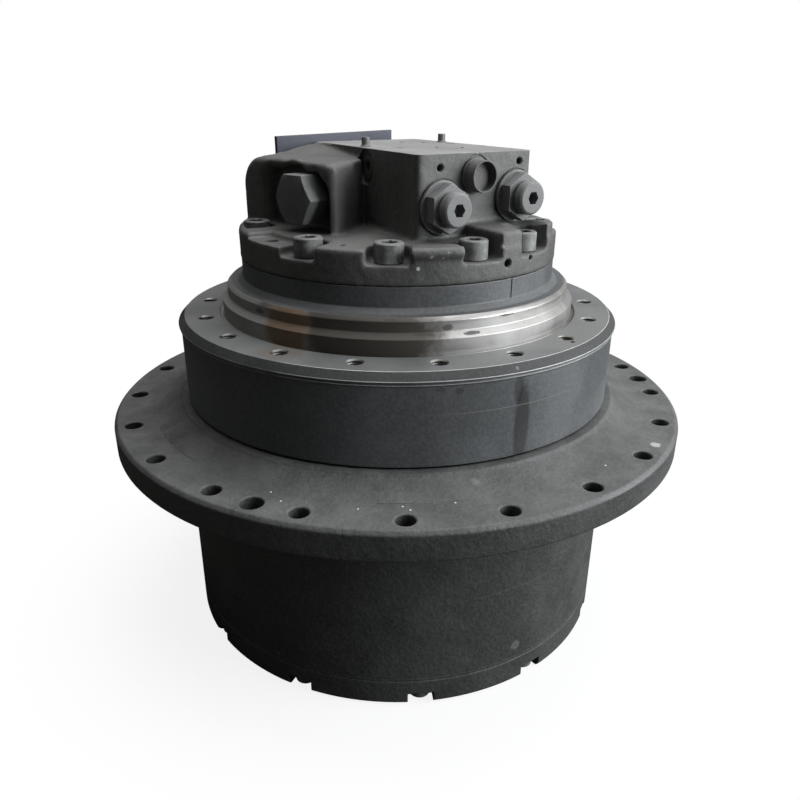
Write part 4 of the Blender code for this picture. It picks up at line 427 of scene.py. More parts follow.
class Wiring:
    """Adds nodes to one tree and joins their sockets."""

    def __init__(self, tree: bpy.types.NodeTree) -> None:
        """Keeps the tree that is wired."""
        self.tree = tree

    def put(self, socket: Socket, value: Value) -> None:
        """Links a socket or sets its value."""
        if isinstance(value, Socket):
            self.tree.links.new(value, socket)
        else:
            socket.default_value = value

    def node(self, kind: str, values: Optional[dict] = None, **settings: object) -> bpy.types.Node:
        """Adds one node.

        Args:
            kind: The node's type without its prefix.
            values: What each of its inputs gets, by name or number.
            settings: Its other settings.

        Returns:
            The node.
        """
        made = self.tree.nodes.new("ShaderNode" + kind)
        for key, value in settings.items():
            setattr(made, key, value)
        for key, value in (values or {}).items():
            self.put(made.inputs[key], value)
        return made

    def maths(self, operation: str, first: Value, second: Value = 0.0, clamp: bool = False) -> Socket:
        """Calculates with two values."""
        return self.node("Math", {0: first, 1: second}, operation=operation, use_clamp=clamp).outputs[0]

    def times(self, first: Value, second: Value) -> Socket:
        """Multiplies two values."""
        return self.maths("MULTIPLY", first, second)

    def plus(self, first: Value, second: Value) -> Socket:
        """Adds two values."""
        return self.maths("ADD", first, second)

    def minus(self, first: Value, second: Value) -> Socket:
        """Takes the second value from the first."""
        return self.maths("SUBTRACT", first, second)

    def ramp(self, value: Value, low: float, high: float, start: float = 0.0, end: float = 1.0) -> Socket:
        """Maps the range from low to high smoothly onto start to end."""
        values = {"Value": value, 1: low, 2: high, 3: start, 4: end}
        return self.node("MapRange", values, interpolation_type="SMOOTHSTEP").outputs[0]

    def mix(self, share: Value, first: Value, second: Value) -> Socket:
        """Mixes two colours."""
        made = self.node("Mix", None, data_type="RGBA")
        self.put(made.inputs[0], share)
        self.put(made.inputs[6], first)
        self.put(made.inputs[7], second)
        return made.outputs[2]

    def noise(self, vector: Value, scale: Value, detail: float = 3.0, roughness: float = 0.5) -> Socket:
        """Noise from 0 to 1 at a scale per metre."""
        values = {"Vector": vector, "Scale": scale, "Detail": detail, "Roughness": roughness}
        return self.node("TexNoise", values).outputs[0]

    def bump(self, height: Socket, normal: Socket, relief: float) -> Socket:
        """A normal tilted by a height, for a relief in millimetres."""
        values = {"Height": height, "Normal": normal, "Distance": relief * MM}
        return self.node("Bump", values).outputs[0]

    def place(self) -> Socket:
        """The place on the object, in metres."""
        return self.node("TexCoord").outputs["Object"]


FLOAT = "NodeSocketFloat"
VECTOR = "NodeSocketVector"


class Effect:
    """A node group that several finishes share, built at its first use."""

    title = ""
    inputs: Tuple[Tuple[str, float], ...] = ()
    outputs: Tuple[Tuple[str, str], ...] = ()

    def tree(self) -> bpy.types.NodeTree:
        """The group, which is built if it isn't there yet."""
        found = bpy.data.node_groups.get(self.title)
        if found:
            return found
        made = bpy.data.node_groups.new(self.title, "ShaderNodeTree")
        for name, value in self.inputs:
            made.interface.new_socket(name=name, in_out="INPUT", socket_type=FLOAT).default_value = value
        for name, kind in self.outputs:
            made.interface.new_socket(name=name, in_out="OUTPUT", socket_type=kind)
        wiring = Wiring(made)
        entry = made.nodes.new("NodeGroupInput")
        leaving = made.nodes.new("NodeGroupOutput")
        results = self.wire(wiring, entry.outputs)
        for (name, _), result in zip(self.outputs, results):
            wiring.put(leaving.inputs[name], result)
        return made

    def wire(self, wiring: Wiring, given: bpy.types.NodeInputs) -> Sequence[Socket]:
        """Builds the effect.

        Args:
            wiring: The wiring of the group's tree.
            given: The sockets that bring the group's inputs.

        Returns:
            One socket for each output, in their order.
        """
        raise NotImplementedError

    def used(self, wiring: Wiring, **values: float) -> bpy.types.NodeOutputs:
        """Places the group in a material.

        Args:
            wiring: The wiring of the material's tree.
            values: What its inputs get, with _ for a space.

        Returns:
            The group's outputs.
        """
        node = wiring.tree.nodes.new("ShaderNodeGroup")
        node.node_tree = self.tree()
        for name, value in values.items():
            wiring.put(node.inputs[name.replace("_", " ")], value)
        return node.outputs


class CastSkin(Effect):
    """The skin of a sand casting under paint: fine grain on slow waves, with duller and lighter patches."""

    title = "cast_skin"
    inputs = (("Grain Scale", 420.0), ("Wave Scale", 45.0))
    outputs = (("Height", FLOAT), ("Patches", FLOAT), ("Grain", FLOAT))

    grain_share: float = 0.55
    grain_detail: Point = (4.0, 0.6)
    grain_range: Point = (0.40, 0.62)
    wave_detail: float = 2.0
    patch_scale: float = 14.0
    patch_detail: Point = (5.0, 0.62)
    patch_range: Point = (0.38, 0.66)

    def wire(self, wiring: Wiring, given: bpy.types.NodeInputs) -> Sequence[Socket]:
        """Mixes fine and slow noise, slower noise for the patches and the fine noise alone."""
        place = wiring.place()
        fine = wiring.noise(place, given["Grain Scale"], *self.grain_detail)
        slow = wiring.noise(place, given["Wave Scale"], self.wave_detail)
        grain = wiring.times(fine, self.grain_share)
        waves = wiring.times(slow, 1.0 - self.grain_share)
        cloud = wiring.noise(place, self.patch_scale, *self.patch_detail)
        patches = wiring.ramp(cloud, *self.patch_range)
        return wiring.plus(grain, waves), patches, wiring.ramp(fine, *self.grain_range)


class EdgeWear(Effect):
    """Paint rubbed thin along edges, and a normal that rounds those edges."""

    title = "edge_wear"
    inputs = (("Width", 0.0012), ("Break Scale", 90.0))
    outputs = (("Wear", FLOAT), ("Normal", VECTOR))

    bevel_samples: int = 4
    edge_range: Point = (0.985, 0.86)
    break_detail: Point = (4.0, 0.6)
    break_range: Point = (0.36, 0.62)

    def wire(self, wiring: Wiring, given: bpy.types.NodeInputs) -> Sequence[Socket]:
        """Compares the rounded normal with the true one, and breaks the line up with noise."""
        rounded = wiring.node("Bevel", {"Radius": given["Width"]}, samples=self.bevel_samples).outputs[0]
        true = wiring.node("NewGeometry").outputs["True Normal"]
        product = wiring.node("VectorMath", {0: rounded, 1: true}, operation="DOT_PRODUCT")
        edge = wiring.ramp(product.outputs["Value"], *self.edge_range)
        noise = wiring.noise(wiring.place(), given["Break Scale"], *self.break_detail)
        return wiring.times(edge, wiring.ramp(noise, *self.break_range)), rounded


class Dust(Effect):
    """Dust that settles on faces looking up, and a few bright grains and flecks."""

    title = "dust"
    inputs = (("Amount", 0.4), ("Fleck Scale", 60.0))
    outputs = (("Film", FLOAT), ("Flecks", FLOAT))

    slope_range: Point = (0.35, 1.0)
    film_scale: float = 30.0
    film_detail: Point = (6.0, 0.7)
    film_range: Range = (0.35, 0.7, 0.35, 1.0)
    fleck_size: float = 0.07
    fleck_choice: float = 0.93

    def wire(self, wiring: Wiring, given: bpy.types.NodeInputs) -> Sequence[Socket]:
        """Takes the film from the face's slope and the flecks from a few cells."""
        place = wiring.place()
        normal = wiring.node("NewGeometry").outputs["Normal"]
        slope = wiring.ramp(wiring.node("SeparateXYZ", {0: normal}).outputs["Z"], *self.slope_range)
        cloud = wiring.ramp(wiring.noise(place, self.film_scale, *self.film_detail), *self.film_range)
        film = wiring.times(wiring.times(slope, cloud), given["Amount"])
        cells = wiring.node("TexVoronoi", {"Vector": place, "Scale": given["Fleck Scale"]})
        chosen = wiring.node("SeparateColor", {0: cells.outputs["Color"]}).outputs[0]
        near = wiring.ramp(cells.outputs["Distance"], self.fleck_size, self.fleck_size * HALF)
        rare = wiring.maths("GREATER_THAN", chosen, self.fleck_choice)
        return film, wiring.times(near, rare)


class ToolMarks(Effect):
    """Fine rings that a lathe leaves, and slow bands of brighter and duller metal."""

    title = "tool_marks"
    inputs = (("Pitch Scale", 900.0), ("Band Scale", 70.0))
    outputs = (("Rings", FLOAT), ("Bands", FLOAT))

    track_detail: float = 2.0

    def wire(self, wiring: Wiring, given: bpy.types.NodeInputs) -> Sequence[Socket]:
        """Reads one-dimensional noise along radius and height together."""
        parts = wiring.node("SeparateXYZ", {0: wiring.place()})
        flat = wiring.node("CombineXYZ", {0: parts.outputs["X"], 1: parts.outputs["Y"]}).outputs[0]
        radius = wiring.node("VectorMath", {0: flat}, operation="LENGTH").outputs["Value"]
        track = wiring.plus(radius, parts.outputs["Z"])
        found = []
        for name in ("Pitch Scale", "Band Scale"):
            values = {"W": track, "Scale": given[name], "Detail": self.track_detail}
            found.append(wiring.node("TexNoise", values, noise_dimensions="1D").outputs[0])
        return found


class StainAndPaintedLight(Effect):
    """A blotch with a soft ragged edge round one place on the piece."""

    title = "stain"
    inputs = (
        ("X", 0.0),
        ("Y", 0.0),
        ("Z", 0.0),
        ("Reach", 0.05),
        ("Tall", 1.0),
        ("Ragged", 0.3),
        ("Ragged Scale", 38.0),
    )
    outputs = (("Mask", FLOAT),)

    ragged_detail: Point = (5.0, 0.65)
    border: Point = (1.0, 0.6)

    def wire(self, wiring: Wiring, given: bpy.types.NodeInputs) -> Sequence[Socket]:
        """Compares the distance from the place with the reach, shifted by noise."""
        place = wiring.place()
        centre = wiring.node("CombineXYZ", {0: given["X"], 1: given["Y"], 2: given["Z"]}).outputs[0]
        away = wiring.node("VectorMath", {0: place, 1: centre}, operation="SUBTRACT").outputs[0]
        parts = wiring.node("SeparateXYZ", {0: away})
        rise = wiring.maths("DIVIDE", parts.outputs["Z"], given["Tall"])
        values = {0: parts.outputs["X"], 1: parts.outputs["Y"], 2: rise}
        squeezed = wiring.node("CombineXYZ", values).outputs[0]
        distance = wiring.node("VectorMath", {0: squeezed}, operation="LENGTH").outputs["Value"]
        share = wiring.maths("DIVIDE", distance, given["Reach"])
        noise = wiring.minus(wiring.noise(place, given["Ragged Scale"], *self.ragged_detail), HALF)
        shift = wiring.times(noise, given["Ragged"])
        return (wiring.ramp(wiring.plus(share, shift), *self.border),)


# Finishes


Colour = Tuple[float, float, float, float]


@dataclass(frozen=True)
class Blotch:
    """One patch of a finish: where it lies, how far it reaches and what it does. Most patches are stains,
    grit, chips and scratches; a few are painted shade and painted highlights.
    """

    angle: float
    radius: float
    height: float
    reach: float
    colour: Colour
    tall: float = 1.0
    ragged: float = 0.6
    strength: float = 1.0
    roughness: float = 0.6
    metallic: float = 0.0
    lobes: float = 2.2

    def mask(self, wiring: Wiring) -> Socket:
        """The patch's mask, from 0 to its strength."""
        spot = on_circle(self.radius * MM, self.angle)
        found = StainAndPaintedLight().used(
            wiring,
            X=spot.x,
            Y=spot.y,
            Z=self.height * MM,
            Reach=self.reach * MM,
            Tall=self.tall,
            Ragged=self.ragged,
            Ragged_Scale=self.lobes / (self.reach * MM),
        )
        return wiring.times(found["Mask"], self.strength)


class Finish:
    """What a surface looks like; its material is built once and shared."""

    name: str

    def material(self) -> bpy.types.Material:
        """The material, which is built at its first use."""
        found = bpy.data.materials.get(self.name)
        if found:
            return found
        made = bpy.data.materials.new(self.name)
        made.use_nodes = True
        self.wire(Wiring(made.node_tree), made.node_tree.nodes["Principled BSDF"])
        return made

    def wire(self, wiring: Wiring, shader: bpy.types.Node) -> None:
        """Wires the shader's inputs.

        Args:
            wiring: The wiring of the material's tree.
            shader: The tree's shader.
        """
        raise NotImplementedError


@dataclass(frozen=True)
class Paint(Finish):
    """Satin paint on a casting, with dust, rubbed edges and stains."""

    name: str
    colour: Colour
    faded: Colour
    dusty: Colour
    bare: Colour
    roughness: float = 0.42
    patch_roughness: float = 0.14
    sheen_level: float = 0.4
    grain_scale: float = 420.0
    wave_scale: float = 45.0
    relief: float = 0.35
    dust: float = 0.35
    fleck_scale: float = 60.0
    fleck_strength: float = 0.6
    speckle: float = 0.10
    wear: float = 0.55
    wear_width: float = 1.2
    blotches: Tuple[Blotch, ...] = ()

    def wire(self, wiring: Wiring, shader: bpy.types.Node) -> None:
        """Lays patches, speckle, stains, dust, rubbed edges and flecks over the colour; a few of the
        patches are painted shade and painted highlights.
        """
        skin = CastSkin().used(wiring, Grain_Scale=self.grain_scale, Wave_Scale=self.wave_scale)
        edge = EdgeWear().used(wiring, Width=self.wear_width * MM)
        dust = Dust().used(wiring, Amount=self.dust, Fleck_Scale=self.fleck_scale)
        colour = wiring.mix(skin["Patches"], self.colour, self.faded)
        speckle = wiring.times(skin["Grain"], self.speckle)
        colour = wiring.mix(speckle, colour, self.bare)
        dullest = self.roughness + self.patch_roughness
        rough = wiring.ramp(skin["Patches"], 0.0, 1.0, self.roughness, dullest)
        for blotch in self.blotches:
            mask = blotch.mask(wiring)
            colour = wiring.mix(mask, colour, blotch.colour)
            rough = wiring.plus(rough, wiring.times(mask, blotch.roughness - self.roughness))
        colour = wiring.mix(dust["Film"], colour, self.dusty)
        rubbed = wiring.times(edge["Wear"], self.wear)
        colour = wiring.mix(rubbed, colour, self.bare)
        flecks = wiring.times(dust["Flecks"], self.fleck_strength)
        wiring.put(shader.inputs["Base Color"], wiring.mix(flecks, colour, self.dusty))
        film = wiring.times(dust["Film"], self.patch_roughness)
        wiring.put(shader.inputs["Roughness"], wiring.plus(rough, film))
        wiring.put(shader.inputs["Specular IOR Level"], self.sheen_level)
        wiring.put(shader.inputs["Normal"], wiring.bump(skin["Height"], edge["Normal"], self.relief))


@dataclass(frozen=True)
class Metal(Finish):
    """Machined or cast metal with tool marks, oxide patches and stains."""

    name: str
    colour: Colour
    dull: Colour
    roughness: float = 0.3
    band_roughness: float = 0.15
    band_range: Point = (0.3, 0.7)
    metallic: float = 1.0
    pitch_scale: float = 900.0
    band_scale: float = 70.0
    ring_relief: float = 0.02
    grain_scale: float = 500.0
    grain_relief: float = 0.03
    oxide: float = 0.5
    edge_width: float = 0.8
    blotches: Tuple[Blotch, ...] = ()

    def wire(self, wiring: Wiring, shader: bpy.types.Node) -> None:
        """Lays oxide patches and stains over the colour, and tool marks over the grain."""
        marks = ToolMarks().used(wiring, Pitch_Scale=self.pitch_scale, Band_Scale=self.band_scale)
        skin = CastSkin().used(wiring, Grain_Scale=self.grain_scale)
        edge = EdgeWear().used(wiring, Width=self.edge_width * MM)
        tarnish = wiring.times(skin["Patches"], self.oxide)
        colour = wiring.mix(tarnish, self.colour, self.dull)
        dullest = self.roughness + self.band_roughness
        rough = wiring.ramp(marks["Bands"], *self.band_range, self.roughness, dullest)
        metal: Value = self.metallic
        for blotch in self.blotches:
            mask = blotch.mask(wiring)
            colour = wiring.mix(mask, colour, blotch.colour)
            rough = wiring.plus(rough, wiring.times(mask, blotch.roughness - self.roughness))
            shift = wiring.times(mask, blotch.metallic - self.metallic)
            metal = wiring.maths("ADD", metal, shift, clamp=True)
        wiring.put(shader.inputs["Base Color"], colour)
        wiring.put(shader.inputs["Roughness"], rough)
        wiring.put(shader.inputs["Metallic"], metal)
        rings = wiring.bump(marks["Rings"], edge["Normal"], self.ring_relief)
        wiring.put(shader.inputs["Normal"], wiring.bump(skin["Height"], rings, self.grain_relief))


CHARCOAL: Colour = (0.052, 0.055, 0.058, 1.0)
CHARCOAL_FADED: Colour = (0.068, 0.072, 0.076, 1.0)
SOOT: Colour = (0.029, 0.030, 0.030, 1.0)
SOOT_FADED: Colour = (0.040, 0.041, 0.041, 1.0)
GREY_DUST: Colour = (0.200, 0.202, 0.200, 1.0)
RUBBED: Colour = (0.20, 0.205, 0.205, 1.0)
RUST: Colour = (0.075, 0.050, 0.030, 1.0)
# Dark oil stains, and painted shade on the left wall of a hub pad.
OIL_AND_PAINTED_SHADE: Colour = (0.022, 0.023, 0.022, 1.0)
PALE: Colour = (0.135, 0.135, 0.130, 1.0)
CHIP: Colour = (0.46, 0.46, 0.45, 1.0)
GRIT: Colour = (0.75, 0.75, 0.73, 1.0)
FLANGE_FACE = 246.5


def grit(places: Sequence[Point], size: float) -> Tuple[Blotch, ...]:
    """Single grains on the sprocket flange, by angle and radius."""
    return tuple(Blotch(angle, radius, FLANGE_FACE, size, GRIT, ragged=0.0) for angle, radius in places)


COARSE_GRAINS = ((253.5, 256.3), (228.2, 261.8))
FINE_GRAINS = (
    (249.9, 279.4),
    (246.7, 269.6),
    (263.5, 276.5),
    (271.1, 270.5),
    (272.4, 276.1),
    (280.5, 268.6),
    (314.2, 274.6),
)
GRAINS = grit(COARSE_GRAINS, 1.5) + grit(FINE_GRAINS, 1.0)

HUB_PAINT = Paint(
    "painted_hub",
    SOOT,
    SOOT_FADED,
    GREY_DUST,
    (0.13, 0.13, 0.128, 1.0),
    roughness=0.52,
    grain_scale=250.0,
    wave_scale=70.0,
    relief=1.3,
    dust=0.30,
    fleck_scale=26.0,
    fleck_strength=0.5,
    speckle=0.12,
    wear=0.7,
    wear_width=2.0,
    blotches=(
        Blotch(207.0, 256.0, FLANGE_FACE, 15.0, OIL_AND_PAINTED_SHADE, ragged=0.9, strength=0.5),
        Blotch(214.5, 257.0, FLANGE_FACE, 9.0, OIL_AND_PAINTED_SHADE, ragged=0.9, strength=0.5),
        # Painted shade on the left wall of the pad at 276 degrees and a painted highlight on its right
        # wall.
        Blotch(266.5, 250.0, 251.0, 7.0, OIL_AND_PAINTED_SHADE, tall=1.4, ragged=1.1, strength=0.8),
        Blotch(285.6, 250.0, 251.0, 5.0, PALE, tall=1.6, ragged=1.3, strength=0.55),
        Blotch(328.6, 294.5, FLANGE_FACE, 6.0, GRIT, ragged=1.0, strength=0.35),
        Blotch(300.2, 239.0, 47.4, 7.0, PALE, ragged=1.0, strength=0.5),
        Blotch(296.0, 239.0, 120.0, 90.0, PALE, tall=0.006, ragged=0.7, strength=0.25),
    )
    + GRAINS,
)
DRUM_PAINT = Paint(
    "painted_drum",
    CHARCOAL,
    CHARCOAL_FADED,
    GREY_DUST,
    RUBBED,
    roughness=0.44,
    patch_roughness=0.12,
    grain_scale=330.0,
    wave_scale=26.0,
    relief=0.3,
    dust=0.10,
    fleck_scale=30.0,
    speckle=0.12,
    wear=0.9,
    wear_width=1.1,
    blotches=(
        Blotch(298.2, 232.5, 290.0, 10.0, OIL_AND_PAINTED_SHADE, tall=5.0, ragged=0.25, strength=0.8, roughness=0.3),
        Blotch(296.9, 232.5, 326.0, 6.0, OIL_AND_PAINTED_SHADE, tall=3.0, ragged=0.25, strength=0.6, roughness=0.3),
        Blotch(294.5, 232.5, 310.4, 88.0, PALE, tall=0.005, ragged=0.6, strength=0.85, roughness=0.5),
        Blotch(296.2, 231.5, 345.0, 1.7, PALE, tall=2.4, ragged=0.9, strength=0.8),
        Blotch(283.0, 232.5, 331.0, 5.0, OIL_AND_PAINTED_SHADE, tall=0.7, ragged=1.3, strength=0.7),
        Blotch(279.0, 232.5, 333.0, 6.0, OIL_AND_PAINTED_SHADE, tall=0.4, ragged=1.3, strength=0.6),
    ),
)
# Painted shade: the chamfer round the frame flange takes a much darker copy of the drum paint, for the
# shade of a face that slopes away from the top light.
SHADED_CHAMFER_PAINT = replace(
    DRUM_PAINT,
    name="drum_chamfer",
    colour=(0.020, 0.021, 0.021, 1.0),
    faded=(0.030, 0.031, 0.031, 1.0),
    roughness=0.58,
    sheen_level=0.25,
    speckle=0.05,
    dust=0.05,
)
FRAME_PAINT = Paint(
    "frame_face",
    (0.076, 0.078, 0.079, 1.0),
    (0.094, 0.095, 0.096, 1.0),
    GREY_DUST,
    RUBBED,
    roughness=0.50,
    grain_scale=330.0,
    wave_scale=26.0,
    relief=0.25,
    dust=0.12,
    fleck_scale=30.0,
    speckle=0.12,
    wear=0.3,
    blotches=(
        Blotch(330.0, 212.0, 348.5, 95.0, PALE, ragged=1.0, strength=0.45, roughness=0.6),
        Blotch(240.0, 205.0, 348.5, 26.0, RUST, ragged=1.0, strength=0.35, roughness=0.6),
        Blotch(262.0, 214.0, 348.5, 60.0, OIL_AND_PAINTED_SHADE, ragged=1.0, strength=0.35, roughness=0.5),
    ),
)
# Painted highlight: thin light lines along the edges of the drum's rib and chamfer, where the edges catch
# the light.
EDGE_HIGHLIGHT_PAINT = Paint(
    "rubbed_edge",
    (0.26, 0.262, 0.262, 1.0),
    (0.36, 0.362, 0.362, 1.0),
    GREY_DUST,
    GRIT,
    roughness=0.40,
    relief=0.1,
    dust=0.1,
    wear=0.3,
    # Painted shade: the painted highlight lines are darkened towards the left, away from the light.
    blotches=(Blotch(215.0, 230.0, 343.0, 150.0, CHARCOAL, ragged=0.8, strength=0.7),),
)
VALVE_PAINT = Paint(
    "painted_cover",
    (0.050, 0.051, 0.049, 1.0),
    (0.070, 0.070, 0.067, 1.0),
    GREY_DUST,
    (0.16, 0.16, 0.155, 1.0),
    roughness=0.50,
    grain_scale=360.0,
    wave_scale=75.0,
    relief=0.8,
    dust=0.10,
    fleck_scale=40.0,
    fleck_strength=0.3,
    speckle=0.14,
    wear=0.8,
    wear_width=1.6,
    blotches=(
        Blotch(276.2, 166.0, 420.0, 2.0, CHIP, ragged=1.6, roughness=0.35),
        Blotch(280.0, 168.5, 430.5, 1.9, CHIP, ragged=2.2, strength=0.55, roughness=0.35),
        Blotch(285.0, 168.5, 433.5, 1.7, CHIP, ragged=2.2, strength=0.5, roughness=0.35),
        Blotch(283.6, 168.0, 429.0, 1.2, CHIP, ragged=1.6, strength=0.6, roughness=0.35),
        Blotch(304.5, 165.0, 434.0, 3.0, CHIP, ragged=2.0, strength=0.5, roughness=0.4),
        Blotch(228.0, 165.5, 402.6, 22.0, PALE, tall=0.02, ragged=0.6, strength=0.6, roughness=0.4),
    ),
)
CARTRIDGE_PAINT = Paint(
    "cartridge_paint",
    (0.084, 0.085, 0.087, 1.0),
    (0.112, 0.113, 0.115, 1.0),
    GREY_DUST,
    (0.34, 0.34, 0.335, 1.0),
    roughness=0.46,
    grain_scale=600.0,
    relief=0.25,
    dust=0.4,
    wear=1.0,
    wear_width=1.0,
)
# The valve block's top face: a machined face with dust, whose lighter colour is partly a painted reflection
# of the light from behind the drive.
MACHINED_FACE_AND_SHEEN_PAINT = Paint(
    "machined_face",
    (0.17, 0.17, 0.165, 1.0),
    (0.24, 0.24, 0.23, 1.0),
    GREY_DUST,
    (0.34, 0.34, 0.33, 1.0),
    roughness=0.42,
    grain_scale=500.0,
    relief=0.3,
    dust=0.7,
    wear=0.6,
)
PLATE_PAINT = Paint(
    "painted_plate",
    (0.024, 0.026, 0.042, 1.0),
    (0.033, 0.035, 0.052, 1.0),
    (0.10, 0.10, 0.11, 1.0),
    (0.12, 0.12, 0.15, 1.0),
    roughness=0.5,
    grain_scale=500.0,
    relief=0.12,
    dust=0.2,
    wear=0.7,
)
SCREW_PAINT = Paint(
    "painted_screws",
    (0.070, 0.072, 0.072, 1.0),
    (0.100, 0.102, 0.102, 1.0),
    GREY_DUST,
    (0.34, 0.34, 0.33, 1.0),
    roughness=0.40,
    grain_scale=600.0,
    relief=0.3,
    dust=0.5,
    wear=0.9,
    wear_width=0.8,
)
SCUFF_PLACES = (
    (268.0, 378.5, 9.0, 0.14),
    (277.0, 366.0, 13.0, 0.10),
    (284.0, 371.0, 7.0, 0.50),
    (291.0, 365.0, 10.0, 0.16),
    (255.0, 369.5, 12.0, 0.12),
    (247.0, 377.0, 6.0, 0.60),
    (225.0, 372.0, 8.0, 0.40),
    (303.0, 376.0, 12.0, 0.10),
)
SCUFF: Colour = (0.030, 0.028, 0.025, 1.0)
SCUFFS = tuple(
    Blotch(angle, 184.0, height, reach, SCUFF, tall, 1.2, 0.8, metallic=0.3)
    for angle, height, reach, tall in SCUFF_PLACES
)
GREY_HAZE: Colour = (0.19, 0.19, 0.18, 1.0)
DARK_HAZE: Colour = (0.10, 0.098, 0.09, 1.0)
BURNT_OIL: Colour = (0.040, 0.034, 0.027, 1.0)
BROWN_RUST: Colour = (0.12, 0.075, 0.040, 1.0)
PILOT_STEEL = Metal(
    "pilot_steel",
    (0.33, 0.325, 0.32, 1.0),
    (0.19, 0.18, 0.165, 1.0),
    roughness=0.34,
    band_roughness=0.18,
    ring_relief=0.03,
    oxide=0.7,
    blotches=(
        Blotch(205.0, 185.0, 365.0, 85.0, GREY_HAZE, 1.0, 0.7, 1.0, 0.55, 0.3),
        Blotch(350.0, 185.0, 365.0, 70.0, DARK_HAZE, 1.0, 0.8, 0.8, 0.5, 0.4),
        Blotch(262.0, 187.0, 366.0, 78.0, BURNT_OIL, 1.0, 0.9, 0.95, 0.45, 0.35),
        Blotch(237.0, 188.0, 366.0, 32.0, BROWN_RUST, 1.0, 1.0, 0.9, 0.6, 0.15),
    )
    + SCUFFS,
)
BARE_STEEL = Metal(
    "bare_steel",
    (0.20, 0.20, 0.19, 1.0),
    (0.10, 0.095, 0.085, 1.0),
    roughness=0.42,
    ring_relief=0.01,
    oxide=0.4,
)
GEAR_STEEL = Metal(
    "ground_steel",
    (0.33, 0.33, 0.33, 1.0),
    (0.17, 0.165, 0.155, 1.0),
    roughness=0.24,
    oxide=0.55,
    grain_relief=0.02,
)
BRIGHT_STEEL = Metal(
    "polished_steel",
    (0.60, 0.60, 0.60, 1.0),
    (0.46, 0.46, 0.45, 1.0),
    roughness=0.16,
    band_roughness=0.08,
    oxide=0.3,
    grain_relief=0.008,
)
CAST_STEEL = Metal(
    "raw_casting",
    (0.19, 0.185, 0.18, 1.0),
    (0.11, 0.105, 0.10, 1.0),
    roughness=0.46,
    metallic=0.7,
    ring_relief=0.0,
    grain_relief=0.25,
    oxide=0.7,
)
BRONZE = Metal(
    "bearing_bronze",
    (0.58, 0.40, 0.17, 1.0),
    (0.36, 0.24, 0.11, 1.0),
    roughness=0.28,
    oxide=0.5,
)
FRICTION = Metal(
    "friction_lining",
    (0.24, 0.19, 0.13, 1.0),
    (0.12, 0.10, 0.08, 1.0),
    roughness=0.7,
    metallic=0.25,
    ring_relief=0.05,
    grain_relief=0.15,
)
RUBBER = Metal(
    "seal_rubber",
    (0.016, 0.016, 0.016, 1.0),
    (0.03, 0.03, 0.03, 1.0),
    roughness=0.62,
    metallic=0.0,
    ring_relief=0.02,
    grain_relief=0.05,
)

SLOT_FINISHES = {
    "hub_paint": HUB_PAINT,
    "spindle_paint": DRUM_PAINT,
    "valve_paint": VALVE_PAINT,
    "plate_paint": PLATE_PAINT,
    "bolt_steel": SCREW_PAINT,
    "bright_steel": BRIGHT_STEEL,
    "gear_steel": GEAR_STEEL,
    "cast_steel": CAST_STEEL,
    "bronze": BRONZE,
    "friction": FRICTION,
    "rubber": RUBBER,
}


class Body(Enum):
    """The CAD bodies that new pieces ride on."""

    FIXED = "fixed_body"
    HUB = "hub_body"


def dressed(piece: Piece, finish: Finish, body: Body, node: Optional[str] = None) -> Piece:
    """Finishes a piece: its material, the body it rides on and the CAD node it stands for.

    Args:
        piece: The piece, its mesh in place.
        finish: Its main finish.
        body: The body it rides on.
        node: The CAD node that it replaces, if any.

    Returns:
        The piece.
    """
    piece.data.materials.clear()
    piece.data.materials.append(finish.material())
    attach(piece, body.value)
    if node:
        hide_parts(node)
    log.info("%s: %d faces", piece.name, len(piece.data.polygons))
    return piece


def spread(
    master: Piece,
    finish: Finish,
    body: Body,
    rows: Sequence[Tuple[str, Matrix, Optional[str]]],
) -> None:
    """Makes finished pieces of one helper, which is used up.

    Args:
        master: The helper.
        finish: The finish of every copy.
        body: The body they ride on.
        rows: Each copy's name, its frame and the CAD node that it replaces, if any.
    """
    for name, place, node in rows:
        dressed(copied(master, name, place), finish, body, node)
    removed(master)


# The drive's own pieces


